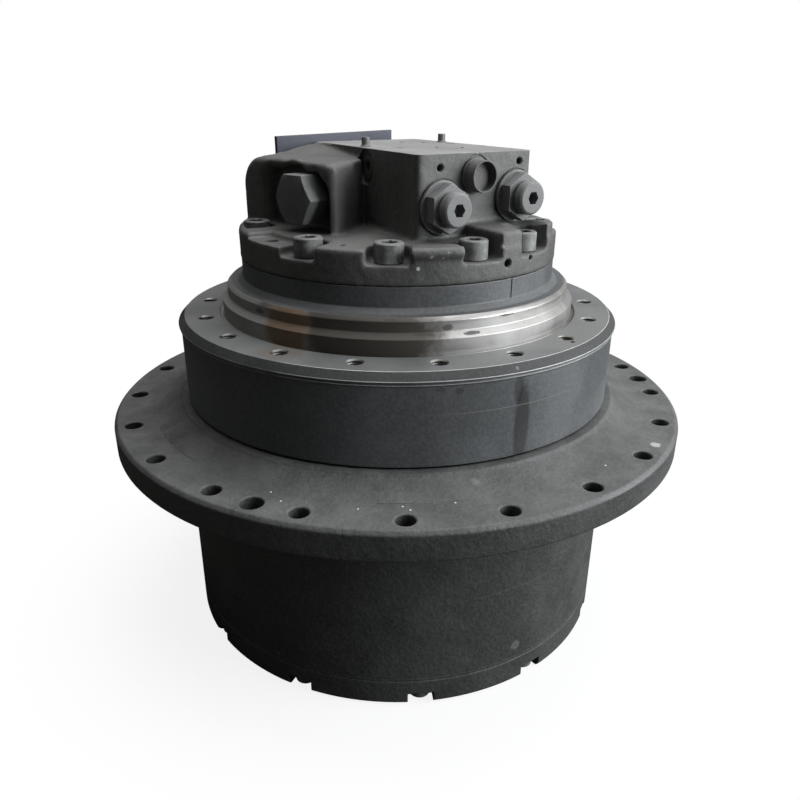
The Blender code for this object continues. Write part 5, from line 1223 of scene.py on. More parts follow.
@dataclass
class GearCover:
    """The cover that closes the gear housing, with screws in pockets of its rim and two plugs."""

    radius: float = 239.0
    height: float = 29.5
    rim_chamfer: float = 4.0
    rest_inner: float = 152.0
    dish_radius: float = 142.0
    dish_depth: float = 8.0
    inner_face: float = 20.0
    recess_radius: float = 187.0
    round_width: float = 1.0
    pockets: int = 12
    pocket_radius: float = 13.0
    pocket_depth: float = 14.0
    pocket_circle: float = 226.0
    pocket_start: float = 6.0
    screw_radius: float = 10.5
    screw_height: float = 7.0
    screw_chamfer: float = 1.0
    screw_socket: float = 10.0
    screw_socket_depth: float = 5.5
    screw_gap: float = 0.2
    washer_radius: float = 12.4
    washer_height: float = 1.6
    plug_circle: float = 100.0
    plug_angles: Point = (270.0, 150.0)
    plug_names: Tuple[str, str] = ("drain_plug", "level_plug")
    plug_bore: float = 14.3
    plug_shank: float = 14.0
    plug_head: float = 19.0
    plug_top: float = 18.7
    plug_face: float = 2.2
    plug_seat: float = 7.7
    plug_chamfer: float = 1.2
    plug_socket: float = 14.0
    plug_socket_depth: float = 8.0
    boss_radius: float = 62.0
    boss_height: float = 3.0

    def pocket_outline(self) -> list:
        """One pocket's outline: round inside and open to the rim."""
        reach = self.radius + OVERRUN
        inner = arc(self.pocket_radius, QUARTER, 3 * QUARTER, SMALL_ROUND // 2, (self.pocket_circle, 0.0))
        return inner + [Vector((reach, -self.pocket_radius)), Vector((reach, self.pocket_radius))]

    def spots(self) -> list:
        """The direction of each pocket."""
        return [self.pocket_start + FULL * i / self.pockets for i in range(self.pockets)]

    def build_cover(self) -> Piece:
        """Turns the cover and cuts its pockets and plug bores."""
        profile = [
            (0.0, self.dish_depth - self.boss_height),
            (self.boss_radius, self.dish_depth - self.boss_height),
            (self.boss_radius + self.boss_height, self.dish_depth),
            (self.dish_radius, self.dish_depth),
            (self.rest_inner, 0.0),
            (self.radius - self.rim_chamfer, 0.0),
            (self.radius, self.rim_chamfer),
            (self.radius, self.height),
            (self.recess_radius, self.height),
            (self.recess_radius, self.inner_face),
            (0.0, self.inner_face),
        ]
        cover = bevelled(turned("gear_cover_casting", profile, FINE_ROUND), self.round_width)
        pocket = slab("pocket", self.pocket_outline(), -OVERRUN, self.pocket_depth)
        cut(cover, grouped(pocket, [upright((0.0, 0.0), 0.0, spot) for spot in self.spots()]))
        bore = [(0.0, -OVERRUN), (self.plug_bore, -OVERRUN), (self.plug_bore, self.inner_face + OVERRUN)]
        bore.append((0.0, self.inner_face + OVERRUN))
        places = [upright(on_circle(self.plug_circle, angle), 0.0) for angle in self.plug_angles]
        cut(cover, grouped(turned("plug_bore", bore, MEDIUM_ROUND), places))
        return dressed(shaded(cover), HUB_PAINT, Body.HUB, "gear_cover")

    def build_screws(self) -> None:
        """Hangs one socket head screw on a washer under the roof of each pocket."""
        roof = self.pocket_depth - self.screw_gap
        face = roof - self.washer_height
        low = face - self.screw_height
        profile = [
            (0.0, low),
            (self.screw_radius - self.screw_chamfer, low),
            (self.screw_radius, low + self.screw_chamfer),
            (self.screw_radius, face),
            (self.washer_radius, face),
            (self.washer_radius, roof),
            (0.0, roof),
        ]
        screw = turned("cover_screw", profile, SMALL_ROUND)
        socket = slab("socket", hexagon(self.screw_socket), low - OVERRUN, low + self.screw_socket_depth)
        shaded(bevelled(cut(screw, socket), self.screw_gap, 1))
        rows = []
        for number, spot in enumerate(self.spots(), 1):
            place = upright(on_circle(self.pocket_circle - self.screw_gap, spot), 0.0, spot)
            rows.append((f"gear_cover_screw_{number:02d}", place, None))
        spread(screw, SCREW_PAINT, Body.HUB, rows)

    def build_plugs(self) -> None:
        """Makes the drain plug and the level plug."""
        for name, angle in zip(self.plug_names, self.plug_angles):
            profile = [
                (0.0, self.plug_face),
                (self.plug_head - self.plug_chamfer, self.plug_face),
                (self.plug_head, self.plug_face + self.plug_chamfer),
                (self.plug_head, self.plug_seat),
                (self.plug_shank, self.plug_seat),
                (self.plug_shank, self.plug_top - self.plug_chamfer),
                (self.plug_shank - self.plug_chamfer, self.plug_top),
                (0.0, self.plug_top),
            ]
            plug = turned(name + "_screw", profile, MEDIUM_ROUND)
            top = self.plug_face + self.plug_socket_depth
            cut(plug, slab("socket", hexagon(self.plug_socket), self.plug_face - OVERRUN, top))
            placed(bevelled(plug, self.screw_gap, 1), upright(on_circle(self.plug_circle, angle), 0.0))
            dressed(shaded(plug), BRIGHT_STEEL, Body.HUB, name)

    def build(self) -> None:
        """Builds the cover, its screws and its plugs."""
        self.build_cover()
        self.build_screws()
        self.build_plugs()


@dataclass
class GearHousing:
    """The drum of the planetary gears, with the ring gear's teeth inside."""

    radius: float = 239.0
    base: float = 29.8
    top: float = 203.7
    bore: float = 212.0
    tooth_tip: float = 192.4
    tooth_top: float = 155.8
    teeth: int = 60
    tooth_root: float = 208.0
    root_half: float = 4.4
    tip_half: float = 3.0
    groove_depth: float = 0.6
    groove_height: float = 1.2
    groove_places: Tuple[float, ...] = (33.4, 200.0)
    edge_round: float = 0.7

    def build(self) -> Piece:
        """Turns the drum with a joint line near each end and cuts the tooth spaces."""
        outside = [(self.radius, self.base)]
        for place in self.groove_places:
            outside.append((self.radius, place - self.groove_height * HALF))
            outside.append((self.radius - self.groove_depth, place))
            outside.append((self.radius, place + self.groove_height * HALF))
        profile = [(self.tooth_tip, self.base)] + outside
        profile += [
            (self.radius, self.top),
            (self.bore, self.top),
            (self.bore, self.tooth_top),
            (self.tooth_tip, self.tooth_top),
        ]
        housing = turned("gear_housing_casting", profile, FINE_ROUND)
        bevelled(housing, self.edge_round, 1, QUARTER * HALF)
        inner = self.tooth_tip - OVERRUN
        space = [
            Vector((inner, -self.root_half - self.tip_half)),
            Vector((self.tooth_root, -self.tip_half)),
            Vector((self.tooth_root, self.tip_half)),
            Vector((inner, self.root_half + self.tip_half)),
        ]
        cutter = slab("tooth_space", space, self.base - OVERRUN, self.tooth_top + OVERRUN)
        pitch = FULL / self.teeth
        places = [upright((0.0, 0.0), 0.0, pitch * i) for i in range(self.teeth)]
        cut(housing, grouped(cutter, places))
        return dressed(shaded(housing), HUB_PAINT, Body.HUB, "gear_housing")


@dataclass
class Hub:
    """The hub casting with the sprocket flange."""

    bearing_bore: float = 190.0
    shoulder_radius: float = 181.0
    spigot: float = 211.7
    pilot_radius: float = 239.0
    pilot_base: float = 204.0
    flange_base: float = 218.0
    flange_top: float = 246.5
    flange_radius: float = 310.0
    lower_chamfer: float = 1.5
    upper_chamfer: float = 3.5
    cone_foot: float = 268.0
    lip_radius: float = 239.5
    lip_chamfer: float = 3.0
    top: float = 259.5
    seal_radius: float = 229.0
    round_width: float = 1.3
    holes: int = 21
    hole_radius: float = 8.75
    hole_circle: float = 291.2
    hole_start: float = 271.4
    hole_rim: float = 0.9
    jacks: int = 3
    jack_radius: float = 10.3
    jack_start: float = 245.7
    pad_centres: Tuple[float, ...] = (276.0, 216.0)
    pad_half: float = 9.3
    pad_inner: float = 241.0
    pad_outer: float = 267.0
    pad_rise: float = 8.6
    pad_fall: float = 0.7

    def profile(self) -> list:
        """The casting's profile, from the lower bearing bore round."""
        low = upper_side("main_bearing_lower_outer_race")
        high = underside("main_bearing_upper_outer_race")
        foot = underside("hub")
        seal_floor = upper_side("main_bearing_upper_outer_race") + self.pad_fall
        return [
            (self.bearing_bore, foot),
            (self.spigot, foot),
            (self.spigot, self.pilot_base),
            (self.pilot_radius, self.pilot_base),
            (self.pilot_radius, self.flange_base),
            (self.flange_radius - self.lower_chamfer, self.flange_base),
            (self.flange_radius, self.flange_base + self.lower_chamfer),
            (self.flange_radius, self.flange_top - self.upper_chamfer),
            (self.flange_radius - self.upper_chamfer, self.flange_top),
            (self.cone_foot, self.flange_top),
            (self.lip_radius + self.lip_chamfer, self.top - self.lip_chamfer),
            (self.lip_radius, self.top),
            (self.seal_radius, self.top),
            (self.seal_radius, seal_floor),
            (self.bearing_bore, seal_floor),
            (self.bearing_bore, high),
            (self.shoulder_radius, high),
            (self.shoulder_radius, low),
            (self.bearing_bore, low),
        ]

    def add_pads(self, hub: Piece) -> None:
        """Adds the low cast pads that bridge the cone at the flange's inner edge."""
        for centre in self.pad_centres:
            inner = arc(self.pad_inner, centre - self.pad_half, centre + self.pad_half, TINY_ROUND)
            outer = arc(self.pad_outer, centre - self.pad_half, centre + self.pad_half, TINY_ROUND)
            top = self.flange_top + self.pad_rise
            pad = slab("pad", outer + inner[::-1], self.flange_top - self.lower_chamfer, top)
            rim = self.pad_outer - self.pad_fall
            high = top - self.lower_chamfer
            picked(pad, "VERT", lambda point: point.co.z > high * MM and point.co.xy.length > rim * MM)
            with editing(pad):
                drop = Vector((0.0, 0.0, self.pad_fall - self.pad_rise)) * MM
                bpy.ops.transform.translate(value=drop)
            fused(hub, pad)

    def build(self) -> Piece:
        """Turns the hub, adds its pads and drills the flange."""
        hub = turned("hub_casting", self.profile(), FINE_ROUND)
        bevelled(hub, self.round_width)
        self.add_pads(hub)
        low = self.flange_base - OVERRUN
        bolt_holes = (self.hole_radius, self.holes, self.hole_start)
        jacking_holes = (self.jack_radius, self.jacks, self.jack_start)
        for radius, count, start in (bolt_holes, jacking_holes):
            drill = hole_cutter("drill", radius, low, self.flange_top, self.hole_rim, SMALL_ROUND)
            drilled(hub, drill, on_ring(self.hole_circle, count, start))
        return dressed(shaded(hub), HUB_PAINT, Body.HUB, "hub")


@dataclass
class Spindle:
    """The fixed spindle: drum with the frame flange, bright pilot and motor casing."""

    journal: float = 150.0
    shoulder_radius: float = 183.0
    seal_radius: float = 229.0
    seal_roof: float = 272.1
    drum_base: float = 261.1
    drum_radius: float = 232.5
    drum_edge: float = 1.2
    rib: Tuple[Point, ...] = (
        (232.5, 336.2),
        (234.2, 337.9),
        (233.0, 338.8),
        (233.0, 339.6),
        (234.8, 340.3),
        (234.8, 341.6),
        (228.0, 348.5),
    )
    # Edges of the drum that take painted highlight lines.
    highlight_lines: Tuple[Point, ...] = ((234.2, 337.9), (234.8, 341.6), (228.0, 348.5))
    highlight_reach: float = 0.6
    face: float = 348.5
    groove: Tuple[Point, ...] = ((192.5, 348.5), (191.2, 347.2), (191.2, 346.5), (188.2, 346.5))
    pilot: Tuple[Point, ...] = (
        (188.2, 362.5),
        (182.1, 367.5),
        (182.1, 377.0),
        (178.7, 380.4),
        (171.0, 380.4),
        (165.5, 385.0),
        (165.5, 403.6),
    )
    brake_bore: float = 128.0
    brake_depth: float = 30.0
    disc_bore: float = 120.0
    disc_depth: float = 82.0
    motor_bore: float = 101.0
    bearing_bore: float = 45.3
    shaft_bore: float = 36.3
    fit_gap: float = 0.3
    edge_round: float = 0.45
    hole_count: int = 18
    hole_circle: float = 207.7
    hole_radius: float = 7.0
    hole_depth: float = 36.0
    hole_start: float = 180.0
    hole_rim: float = 1.3
    thread_pitch: float = 2.0
    thread_depth: float = 0.7
    pin_radius: float = 2.4
    pin_angle: float = 318.0
    pin_circle: float = 218.5
    pin_depth: float = 8.0
    notch_angle: float = 309.0
    notch_width: float = 5.0
    notch_depth: float = 0.7
    bright_low: float = 345.0
    bright_high: float = 381.0
    bright_radius: float = 192.3
    bright_inner: float = 176.0
    cover_hole: float = 9.0
    cover_hole_circle: float = 147.5
    cover_hole_floor: float = 378.0

    def inside(self) -> list:
        """The stepped bore, fitted round the brake, the motor and the shaft bearing inside."""
        top = self.pilot[-1][1]
        brake = top - self.brake_depth
        shoulder = top - self.disc_depth
        floor = underside("swash_cradle") - self.fit_gap
        foot = underside("spindle")
        seat = underside("shaft_bearing_front") - self.fit_gap
        return [
            (self.brake_bore, top),
            (self.brake_bore, brake),
            (self.disc_bore, brake),
            (self.disc_bore, shoulder),
            (self.motor_bore, shoulder),
            (self.motor_bore, floor),
            (self.bearing_bore, floor),
            (self.bearing_bore, seat),
            (self.shaft_bore, seat),
            (self.shaft_bore, foot),
        ]

    def profile(self) -> list:
        """The whole profile, from the lower bearing journal round."""
        foot = underside("spindle")
        shoulder = upper_side("main_bearing_upper_inner_race") + self.fit_gap
        outside = [
            (self.journal, foot),
            (self.journal, shoulder),
            (self.shoulder_radius, shoulder),
            (self.shoulder_radius, self.seal_roof),
            (self.seal_radius, self.seal_roof),
            (self.seal_radius, self.drum_base),
            (self.drum_radius - self.drum_edge, self.drum_base),
            (self.drum_radius, self.drum_base + self.drum_edge),
        ]
        return outside + list(self.rib) + list(self.groove) + list(self.pilot) + self.inside()

    def thread_cutter(self) -> Piece:
        """A tap: a drill with thread rings and a countersink."""
        profile = [(0.0, self.face - self.hole_depth)]
        height = self.face - self.hole_depth
        while height < self.face - self.thread_pitch - self.hole_rim:
            profile.append((self.hole_radius, height))
            profile.append((self.hole_radius + self.thread_depth, height + self.thread_pitch * HALF))
            height += self.thread_pitch
        profile.append((self.hole_radius, height))
        profile.append((self.hole_radius, self.face - self.hole_rim))
        profile.append((self.hole_radius + self.hole_rim + OVERRUN, self.face + OVERRUN))
        profile.append((0.0, self.face + OVERRUN))
        return turned("tap", profile, TINY_ROUND)

    def hole_spots(self) -> list:
        """The places of the tapped holes in the frame flange."""
        return on_ring(self.hole_circle, self.hole_count, self.hole_start)

    def build(self) -> Piece:
        """Turns the spindle, drills it and gives its machined rings their bare steel."""
        spindle = turned("spindle_casting", self.profile(), FINE_ROUND)
        bevelled(spindle, self.edge_round, 1)
        drilled(spindle, self.thread_cutter(), self.hole_spots())
        floor = self.face - self.pin_depth
        pin = hole_cutter("pin_drill", self.pin_radius, floor, self.face, 0.0, TINY_ROUND)
        cut(spindle, placed(pin, upright(on_circle(self.pin_circle, self.pin_angle), 0.0)))
        top = self.pilot[-1][1]
        drill = hole_cutter("cover_drill", self.cover_hole, self.cover_hole_floor, top, 0.0, TINY_ROUND)
        spots = [on_circle(self.cover_hole_circle, angle) for angle in MotorCover().bolt_angles]
        drilled(spindle, drill, spots)
        wall = self.pilot[-1][0]
        half = self.notch_width * HALF
        notch = [
            Vector((wall - self.notch_depth, -half)),
            Vector((wall + OVERRUN, -half)),
            Vector((wall + OVERRUN, half)),
            Vector((wall - self.notch_depth, half)),
        ]
        cutter = slab("notch", notch, self.pilot[-2][1], top + OVERRUN)
        cut(spindle, placed(cutter, upright((0.0, 0.0), 0.0, self.notch_angle)))
        dressed(shaded(spindle), DRUM_PAINT, Body.FIXED, "spindle")
        self.bare_rings(spindle)
        return spindle

    def bare_rings(self, spindle: Piece) -> None:
        """Gives the frame flange, the pilot and the hole rims their own finishes, paints shade on the
        chamfer round the frame flange and paints highlight lines along edges of the drum.
        """
        spots = self.hole_spots()
        reach = self.hole_radius + self.hole_rim

        def is_pilot(centre: Vector) -> bool:
            """Says whether a face belongs to the bright pilot."""
            radius = centre.xy.length
            level = self.bright_low < centre.z < self.bright_high
            return level and self.bright_inner < radius < self.bright_radius

        def is_rim(centre: Vector) -> bool:
            """Says whether a face lies in a tapped hole."""
            if not self.face - self.hole_depth - MERGE < centre.z < self.face - MERGE:
                return False
            return any((centre.xy - spot).length < reach for spot in spots)

        def is_face(centre: Vector) -> bool:
            """Says whether a face belongs to the flat frame flange."""
            return centre.z > self.face - MERGE and centre.xy.length > self.bright_radius

        def is_chamfer(centre: Vector) -> bool:
            """Says whether a face belongs to the chamfer round the frame flange."""
            edge, top = self.rib[-2], self.rib[-1]
            return top[0] < centre.xy.length < edge[0] and edge[1] < centre.z < top[1]

        def is_highlight_line(centre: Vector) -> bool:
            """Says whether a face lies on an edge of the drum that takes a painted highlight line."""
            spot = Vector((centre.xy.length, centre.z))
            return any((spot - Vector(line)).length < self.highlight_reach for line in self.highlight_lines)

        refaced(spindle, FRAME_PAINT.material(), is_face)
        # Painted shade on the chamfer round the frame flange.
        refaced(spindle, SHADED_CHAMFER_PAINT.material(), is_chamfer)
        # Painted highlight lines along edges of the drum.
        refaced(spindle, EDGE_HIGHLIGHT_PAINT.material(), is_highlight_line)
        refaced(spindle, PILOT_STEEL.material(), is_pilot)
        refaced(spindle, BARE_STEEL.material(), is_rim)


@dataclass
class ValveBlock:
    """Frames on the faces of the valve block, from its front corner and its two front sides."""

    corner: Point = (17.1, -123.4)
    right_angle: float = 34.4
    right_length: float = 137.4
    left_angle: float = 117.2
    left_length: float = 239.8
    disc_top: float = 435.3
    top: float = 510.5
    sink: float = 6.0
    valve_angle: float = 227.0
    valve_offset: float = 22.8
    valve_rise: float = 31.0

    def corners(self) -> list:
        """The block's corners: front, right, back and left."""
        front = Vector(self.corner)
        right = on_circle(self.right_length, self.right_angle)
        left = on_circle(self.left_length, self.left_angle)
        return [front, front + right, front + right + left, front + left]

    def on_face(self, corner: int, along: float, out: float, place: Point) -> Matrix:
        """A frame on a side face, at a place along it and over the disc."""
        centre = self.corners()[corner] + on_circle(place[0], along)
        return facing(out, centre, self.disc_top + place[1])

    def right_face(self, place: Point) -> Matrix:
        """A frame on the front right face."""
        return self.on_face(0, self.right_angle, self.right_angle - QUARTER, place)

    def left_face(self, place: Point) -> Matrix:
        """A frame on the left face."""
        return self.on_face(0, self.left_angle, self.left_angle + QUARTER, place)

    def plate_face(self, place: Point) -> Matrix:
        """A frame on the back left face, where the port plate is."""
        return self.on_face(3, self.right_angle, self.right_angle + QUARTER, place)

    def drain_face(self, place: Point) -> Matrix:
        """A frame on the back right face."""
        return self.on_face(1, self.left_angle, self.left_angle - QUARTER, place)

    def valve_axis(self, distance: float) -> Matrix:
        """A frame on the counterbalance valve's axis, this far from the drive's axis."""
        angle = self.valve_angle
        centre = on_circle(distance, angle) + on_circle(self.valve_offset, angle - QUARTER)
        return facing(angle, centre, self.disc_top + self.valve_rise)


@dataclass
class MotorCover:
    """The motor's cast rear cover: disc with bolt pockets, valve block and valve housing in one."""

    block: ValveBlock = field(default_factory=ValveBlock)
    base: float = 403.9
    radius: float = 166.2
    top_chamfer: float = 2.5
    bolt_circle: float = 147.5
    bolt_angles: Tuple[float, ...] = (190.5, 236.5, 267.0, 297.5, 324.0, 355.0, 27.0, 58.0, 109.0, 139.5)
    pocket_floor: float = 421.9
    pocket_radius: float = 18.5
    pocket_mouth: float = 21.0
    wide_pocket: float = 324.0
    wide_mouth: float = 36.0
    ledge_span: Point = (304.6, 338.0)
    ledge_radii: Point = (73.75, 165.2)
    ledge_rise: float = 11.0
    pad_span: Point = (273.0, 291.0)
    pad_rise: float = 2.2
    pad_depth: float = 16.0
    low_span: Point = (209.0, 229.5)
    low_inner: float = 141.0
    low_drop: float = 5.0
    shut_pocket: float = 190.5
    shut_mouth: float = 158.0
    trim: float = 1.5
    block_round: float = 6.5
    bar_span: Point = (274.0, 290.5)
    bar_radius: float = 164.8
    bar_height: float = 432.6
    bar_thick: float = 5.2
    skin_strength: float = 0.7
    skin_size: float = 8.0
    skin_depth: int = 3
    mouth_flare: float = 1.11
    mouth_depth: float = 9.0
    lip_places: Tuple[Triple, ...] = (
        (-60.0, 60.0, 8.5),
        (-34.0, 63.0, 6.5),
        (-8.0, 59.0, 8.5),
        (16.0, 52.0, 6.5),
    )
    lip_shape: Triple = (1.9, 0.75, 0.9)
    voxel: float = 1.8
    smooth_rounds: int = 4
    smooth_factor: float = 0.5
    housing_radius: float = 165.2
    housing_back: float = 165.2
    housing_front: float = 174.5
    housing_face: float = 222.6
    housing_distance: float = 110.3
    housing_end: float = 34.3
    housing_fold: float = 115.3
    housing_inset: float = 1.5
    housing_drop: float = 10.5
    housing_ramp: float = 58.0
    housing_ramp_angle: float = 235.0
    housing_round: float = 30.0
    housing_corner: float = 16.0
    soft_from: float = 62.0
    soft_rounds: int = 60
    recess_span: Point = (-83.8, 20.5)
    recess_top: float = 61.0
    recess_round: float = 27.0
    recess_floor: float = 90.0
    floor_share: float = 0.82
    bolt_hole: float = 9.5
    relief_places: Tuple[Point, ...] = ((27.3, 28.6), (116.6, 33.9))
    relief_room: float = 27.0
    relief_spot: float = 25.6
    relief_spot_depth: float = 0.9
    relief_bore: float = 13.3
    relief_bore_depth: float = 30.3
    cap_place: Point = (66.5, 55.0)
    cap_bore: float = 14.0
    cap_spot: float = 18.6
    cap_bore_depth: float = 9.3
    gauge_places: Tuple[Point, ...] = ((25.3, 63.2), (121.0, 65.8))
    gauge_radius: float = 3.0
    gauge_rim: float = 1.3
    gauge_depth: float = 12.0
    plug_place: Point = (107.0, 57.7)
    plug_bore: float = 13.3
    plug_bore_depth: float = 15.3
    plug_spot: float = 17.0
    plug_spot_depth: float = 3.0
    port_radius: float = 15.0
    port_depth: float = 36.0
    port_places: Tuple[Point, ...] = ((-19.4, 40.0), (60.2, 40.0))
    drain_places: Tuple[Point, ...] = ((70.0, 40.0), (140.0, 48.0))
    drain_radius: float = 11.0
    drain_depth: float = 22.0
    drain_spot: float = 18.0
    drain_spot_depth: float = 1.5
    pin_places: Tuple[Point, ...] = ((-33.0, 0.3), (49.9, 93.5))
    pin_bore: float = 3.3
    pin_depth: float = 8.3
    top_ports: Tuple[Triple, ...] = (
        (52.0, -9.0, 15.0),
        (16.0, 84.0, 15.0),
        (58.0, 66.0, 5.0),
        (2.0, -22.0, 4.0),
        (88.0, 22.0, 4.0),
    )
    top_ring_width: float = 2.2
    top_ring_depth: float = 2.0
    rim_tap: Triple = (307.1, 418.2, 3.6)
    rim_pit: Triple = (318.7, 419.1, 2.4)
    disc_holes: Tuple[Triple, ...] = ((217.5, 151.0, 6.6), (250.5, 148.0, 3.2))

    @property
    def top(self) -> float:
        """The disc's upper face."""
        return self.block.disc_top

    def sector(self, name: str, radii: Point, span: Point, bottom: float, top: float) -> Piece:
        """A raised sector of a ring."""
        outer = arc(radii[1], span[0], span[1], SMALL_ROUND)
        inner = arc(radii[0], span[0], span[1], SMALL_ROUND)
        return slab(name, outer + inner[::-1], bottom, top)

    def pocket(self, angle: float) -> Piece:
        """The pocket of one bolt head, round inside and wide open at the rim."""
        reach = self.shut_mouth if angle == self.shut_pocket else self.radius + OVERRUN
        wide = self.wide_mouth if angle == self.wide_pocket else self.pocket_mouth
        inner = arc(self.pocket_radius, QUARTER, 3 * QUARTER, TINY_ROUND, (self.bolt_circle, 0.0))
        outline = inner + [Vector((reach, -wide)), Vector((reach, self.pocket_mouth))]
        cutter = slab("pocket", outline, self.pocket_floor, self.block.top + OVERRUN)
        return placed(cutter, upright((0.0, 0.0), 0.0, angle))

    def housing_outline(self) -> list:
        """The outline of the counterbalance valve's housing."""
        block = self.block
        front, _, back, left = block.corners()
        face = on_circle(self.housing_distance, self.housing_face)
        along = on_circle(self.housing_end, self.housing_face + QUARTER)
        inwards = on_circle(self.housing_inset, block.right_angle)
        fold = front + on_circle(self.housing_fold, block.left_angle) + inwards
        inside = fold + on_circle(block.right_length * HALF, block.right_angle)
        near_back = left + (back - left) * HALF - on_circle(self.housing_inset, block.left_angle)
        outer = arc(self.housing_radius, self.housing_back, self.housing_front, TINY_ROUND // 2)
        return [face + along, fold, inside, near_back] + outer

    def recess_outline(self) -> list:
        """The recess in the valve housing's face, with round upper corners."""
        start, end = self.recess_span
        level = self.recess_top - self.recess_round
        below = -self.block.sink - OVERRUN
        steps = TINY_ROUND // 2
        outline = arc(self.recess_round, 0.0, QUARTER, steps, (end - self.recess_round, level))
        outline += arc(self.recess_round, QUARTER, 2 * QUARTER, steps, (start + self.recess_round, level))
        return outline + [Vector((start, below)), Vector((end, below))]

    def build_housing(self) -> Piece:
        """The valve housing with its sloped top, round outer edge and recess."""
        block = self.block
        outline = self.housing_outline()
        housing = slab("valve_housing", outline, self.top - block.sink, block.top + self.trim)
        self.rounded_uprights(housing, self.housing_corner, [outline[0], outline[-1]])
        far = 4 * self.housing_radius
        reach = 2 * self.housing_radius
        ramp = [
            Vector((0.0, 0.0)),
            Vector((self.housing_ramp, -self.housing_drop)),
            Vector((far, -self.housing_drop)),
            Vector((far, self.housing_ramp)),
            Vector((0.0, self.housing_ramp)),
        ]
        cutter = slab("ramp", ramp, -reach, reach)
        place = facing(self.housing_ramp_angle - QUARTER, block.corners()[3], block.top)
        cut(housing, placed(cutter, place))
        outer = self.housing_radius + OVERRUN
        level = block.top - self.housing_drop + self.housing_inset
        edge = []
        for i in range(TINY_ROUND + 1):
            turn = math.radians(QUARTER * i / TINY_ROUND)
            radius = self.housing_radius - self.housing_round * (1.0 - math.cos(turn))
            edge.append((radius, level - self.housing_round * (1.0 - math.sin(turn))))
        above = block.top + 2 * OVERRUN
        dome = [(outer, edge[0][1])] + edge + [(edge[-1][0], above), (outer, above)]
        cut(housing, turned("dome", dome, FINE_ROUND))
        face = facing(self.housing_face, (0.0, 0.0), self.top)
        cut(housing, placed(self.recess_cutter(reach), face))
        for along, rise, size in self.lip_places:
            nothing()
            rings = TINY_ROUND // 2
            bpy.ops.mesh.primitive_uv_sphere_add(segments=TINY_ROUND, ring_count=rings, radius=size * MM)
            lump = bpy.context.object
            lump.scale = self.lip_shape
            lump.location = Vector((along, rise, self.housing_distance - size)) * MM
            choose(lump)
            bpy.ops.object.transform_apply(location=True, rotation=True, scale=True)
            fused(housing, placed(lump, face))
        return self.softened(housing)

    def softened(self, housing: Piece) -> Piece:
        """Rounds the front of the valve housing as sand does, and leaves its back crisp."""
        modified(housing, "REMESH", mode="VOXEL", voxel_size=self.voxel * MM)
        outwards = on_circle(1.0, self.housing_face)
        picked(housing, "VERT", lambda point: point.co.xy.dot(outwards) > self.soft_from * MM)
        with editing(housing):
            bpy.ops.object.vertex_group_add()
            bpy.ops.object.vertex_group_assign()
        settings = {"iterations": self.soft_rounds, "vertex_group": housing.vertex_groups[-1].name}
        return modified(housing, "SMOOTH", factor=self.smooth_factor, **settings)

    def recess_cutter(self, reach: float) -> Piece:
        """The recess, with a slanted wall towards the block and a mouth that opens wider away from it."""
        top = self.housing_distance - self.mouth_depth
        recess = slab("recess", self.recess_outline(), self.recess_floor, top)
        start, end = self.recess_span
        low = (self.recess_floor + MERGE) * MM
        picked(recess, "VERT", lambda point: point.co.z < low)
        with editing(recess):
            resize(self.floor_share, 1.0, start)
        picked(recess, "FACE", lambda face: face.normal.z > HALF)
        with editing(recess, "FACE"):
            extruded(2 * self.mouth_depth)
            resize(self.mouth_flare, self.mouth_flare, end)
            extruded(reach - self.housing_distance - self.mouth_depth)
        return recess

    def rough_casting(self) -> Piece:
        """Puts the cast forms together with their sharp edges."""
        profile = [
            (0.0, self.base),
            (self.radius, self.base),
            (self.radius, self.top - self.top_chamfer),
            (self.radius - self.top_chamfer, self.top),
            (0.0, self.top),
        ]
        disc = turned("motor_cover_casting", profile, FINE_ROUND)
        base = self.top - self.block.sink
        ledge = self.sector("ledge", self.ledge_radii, self.ledge_span, base, self.top + self.ledge_rise)
        fused(disc, ledge)
        pad_radii = (self.ledge_radii[1] - self.pad_depth, self.ledge_radii[1])
        fused(disc, self.sector("pad", pad_radii, self.pad_span, base, self.top + self.pad_rise))
        low_radii = (self.low_inner, self.radius + OVERRUN)
        low = self.sector("low", low_radii, self.low_span, self.top - self.low_drop, self.top + OVERRUN)
        cut(disc, low)
        for angle in self.bolt_angles:
            cut(disc, self.pocket(angle))
        room = [(0.0, 0.0), (self.relief_room, 0.0), (self.relief_room, self.radius), (0.0, self.radius)]
        places = [self.block.right_face(place) for place in self.relief_places]
        cut(disc, grouped(turned("room", room, MEDIUM_ROUND), places))
        self.add_bar(disc)
        block = slab("block", self.block.corners(), base, self.block.top + 4 * self.trim)
        fused(disc, self.rounded_uprights(block, self.block_round, self.block.corners()))
        return fused(disc, self.build_housing())

    def rounded_uprights(self, piece: Piece, width: float, spots: Sequence[Vector]) -> Piece:
        """Rounds the upright edges of a slab at these corners."""

        def is_upright(edge: bpy.types.MeshEdge) -> bool:
            """Says whether an edge stands at one of the corners."""
            low, high = (piece.data.vertices[i].co / MM for i in edge.vertices)
            here = any((low.xy - spot).length < NEAR for spot in spots)
            return here and (low.xy - high.xy).length < MERGE

        picked(piece, "EDGE", is_upright)
        with editing(piece, "EDGE"):
            bpy.ops.mesh.bevel(offset=width * MM, segments=TINY_ROUND // 4, affect="EDGES")
        return piece

    def add_bar(self, disc: Piece) -> None:
        """Lays the cast bar along the rim."""
        start, end = self.bar_span
        profile = arc(self.bar_thick, 0.0, FULL, TINY_ROUND)[:-1]
        middle = Vector((self.bar_radius, 0.0, self.bar_height))
        bar = traced("bar", [(middle + Vector((spot.x, 0.0, spot.y))) * MM for spot in profile])
        with editing(bar):
            everything()
            bpy.ops.mesh.edge_face_add()
            spun(end - start, TINY_ROUND)
            face_outwards()
        placed(bar, upright((0.0, 0.0), 0.0, end))
        fused(disc, bar)

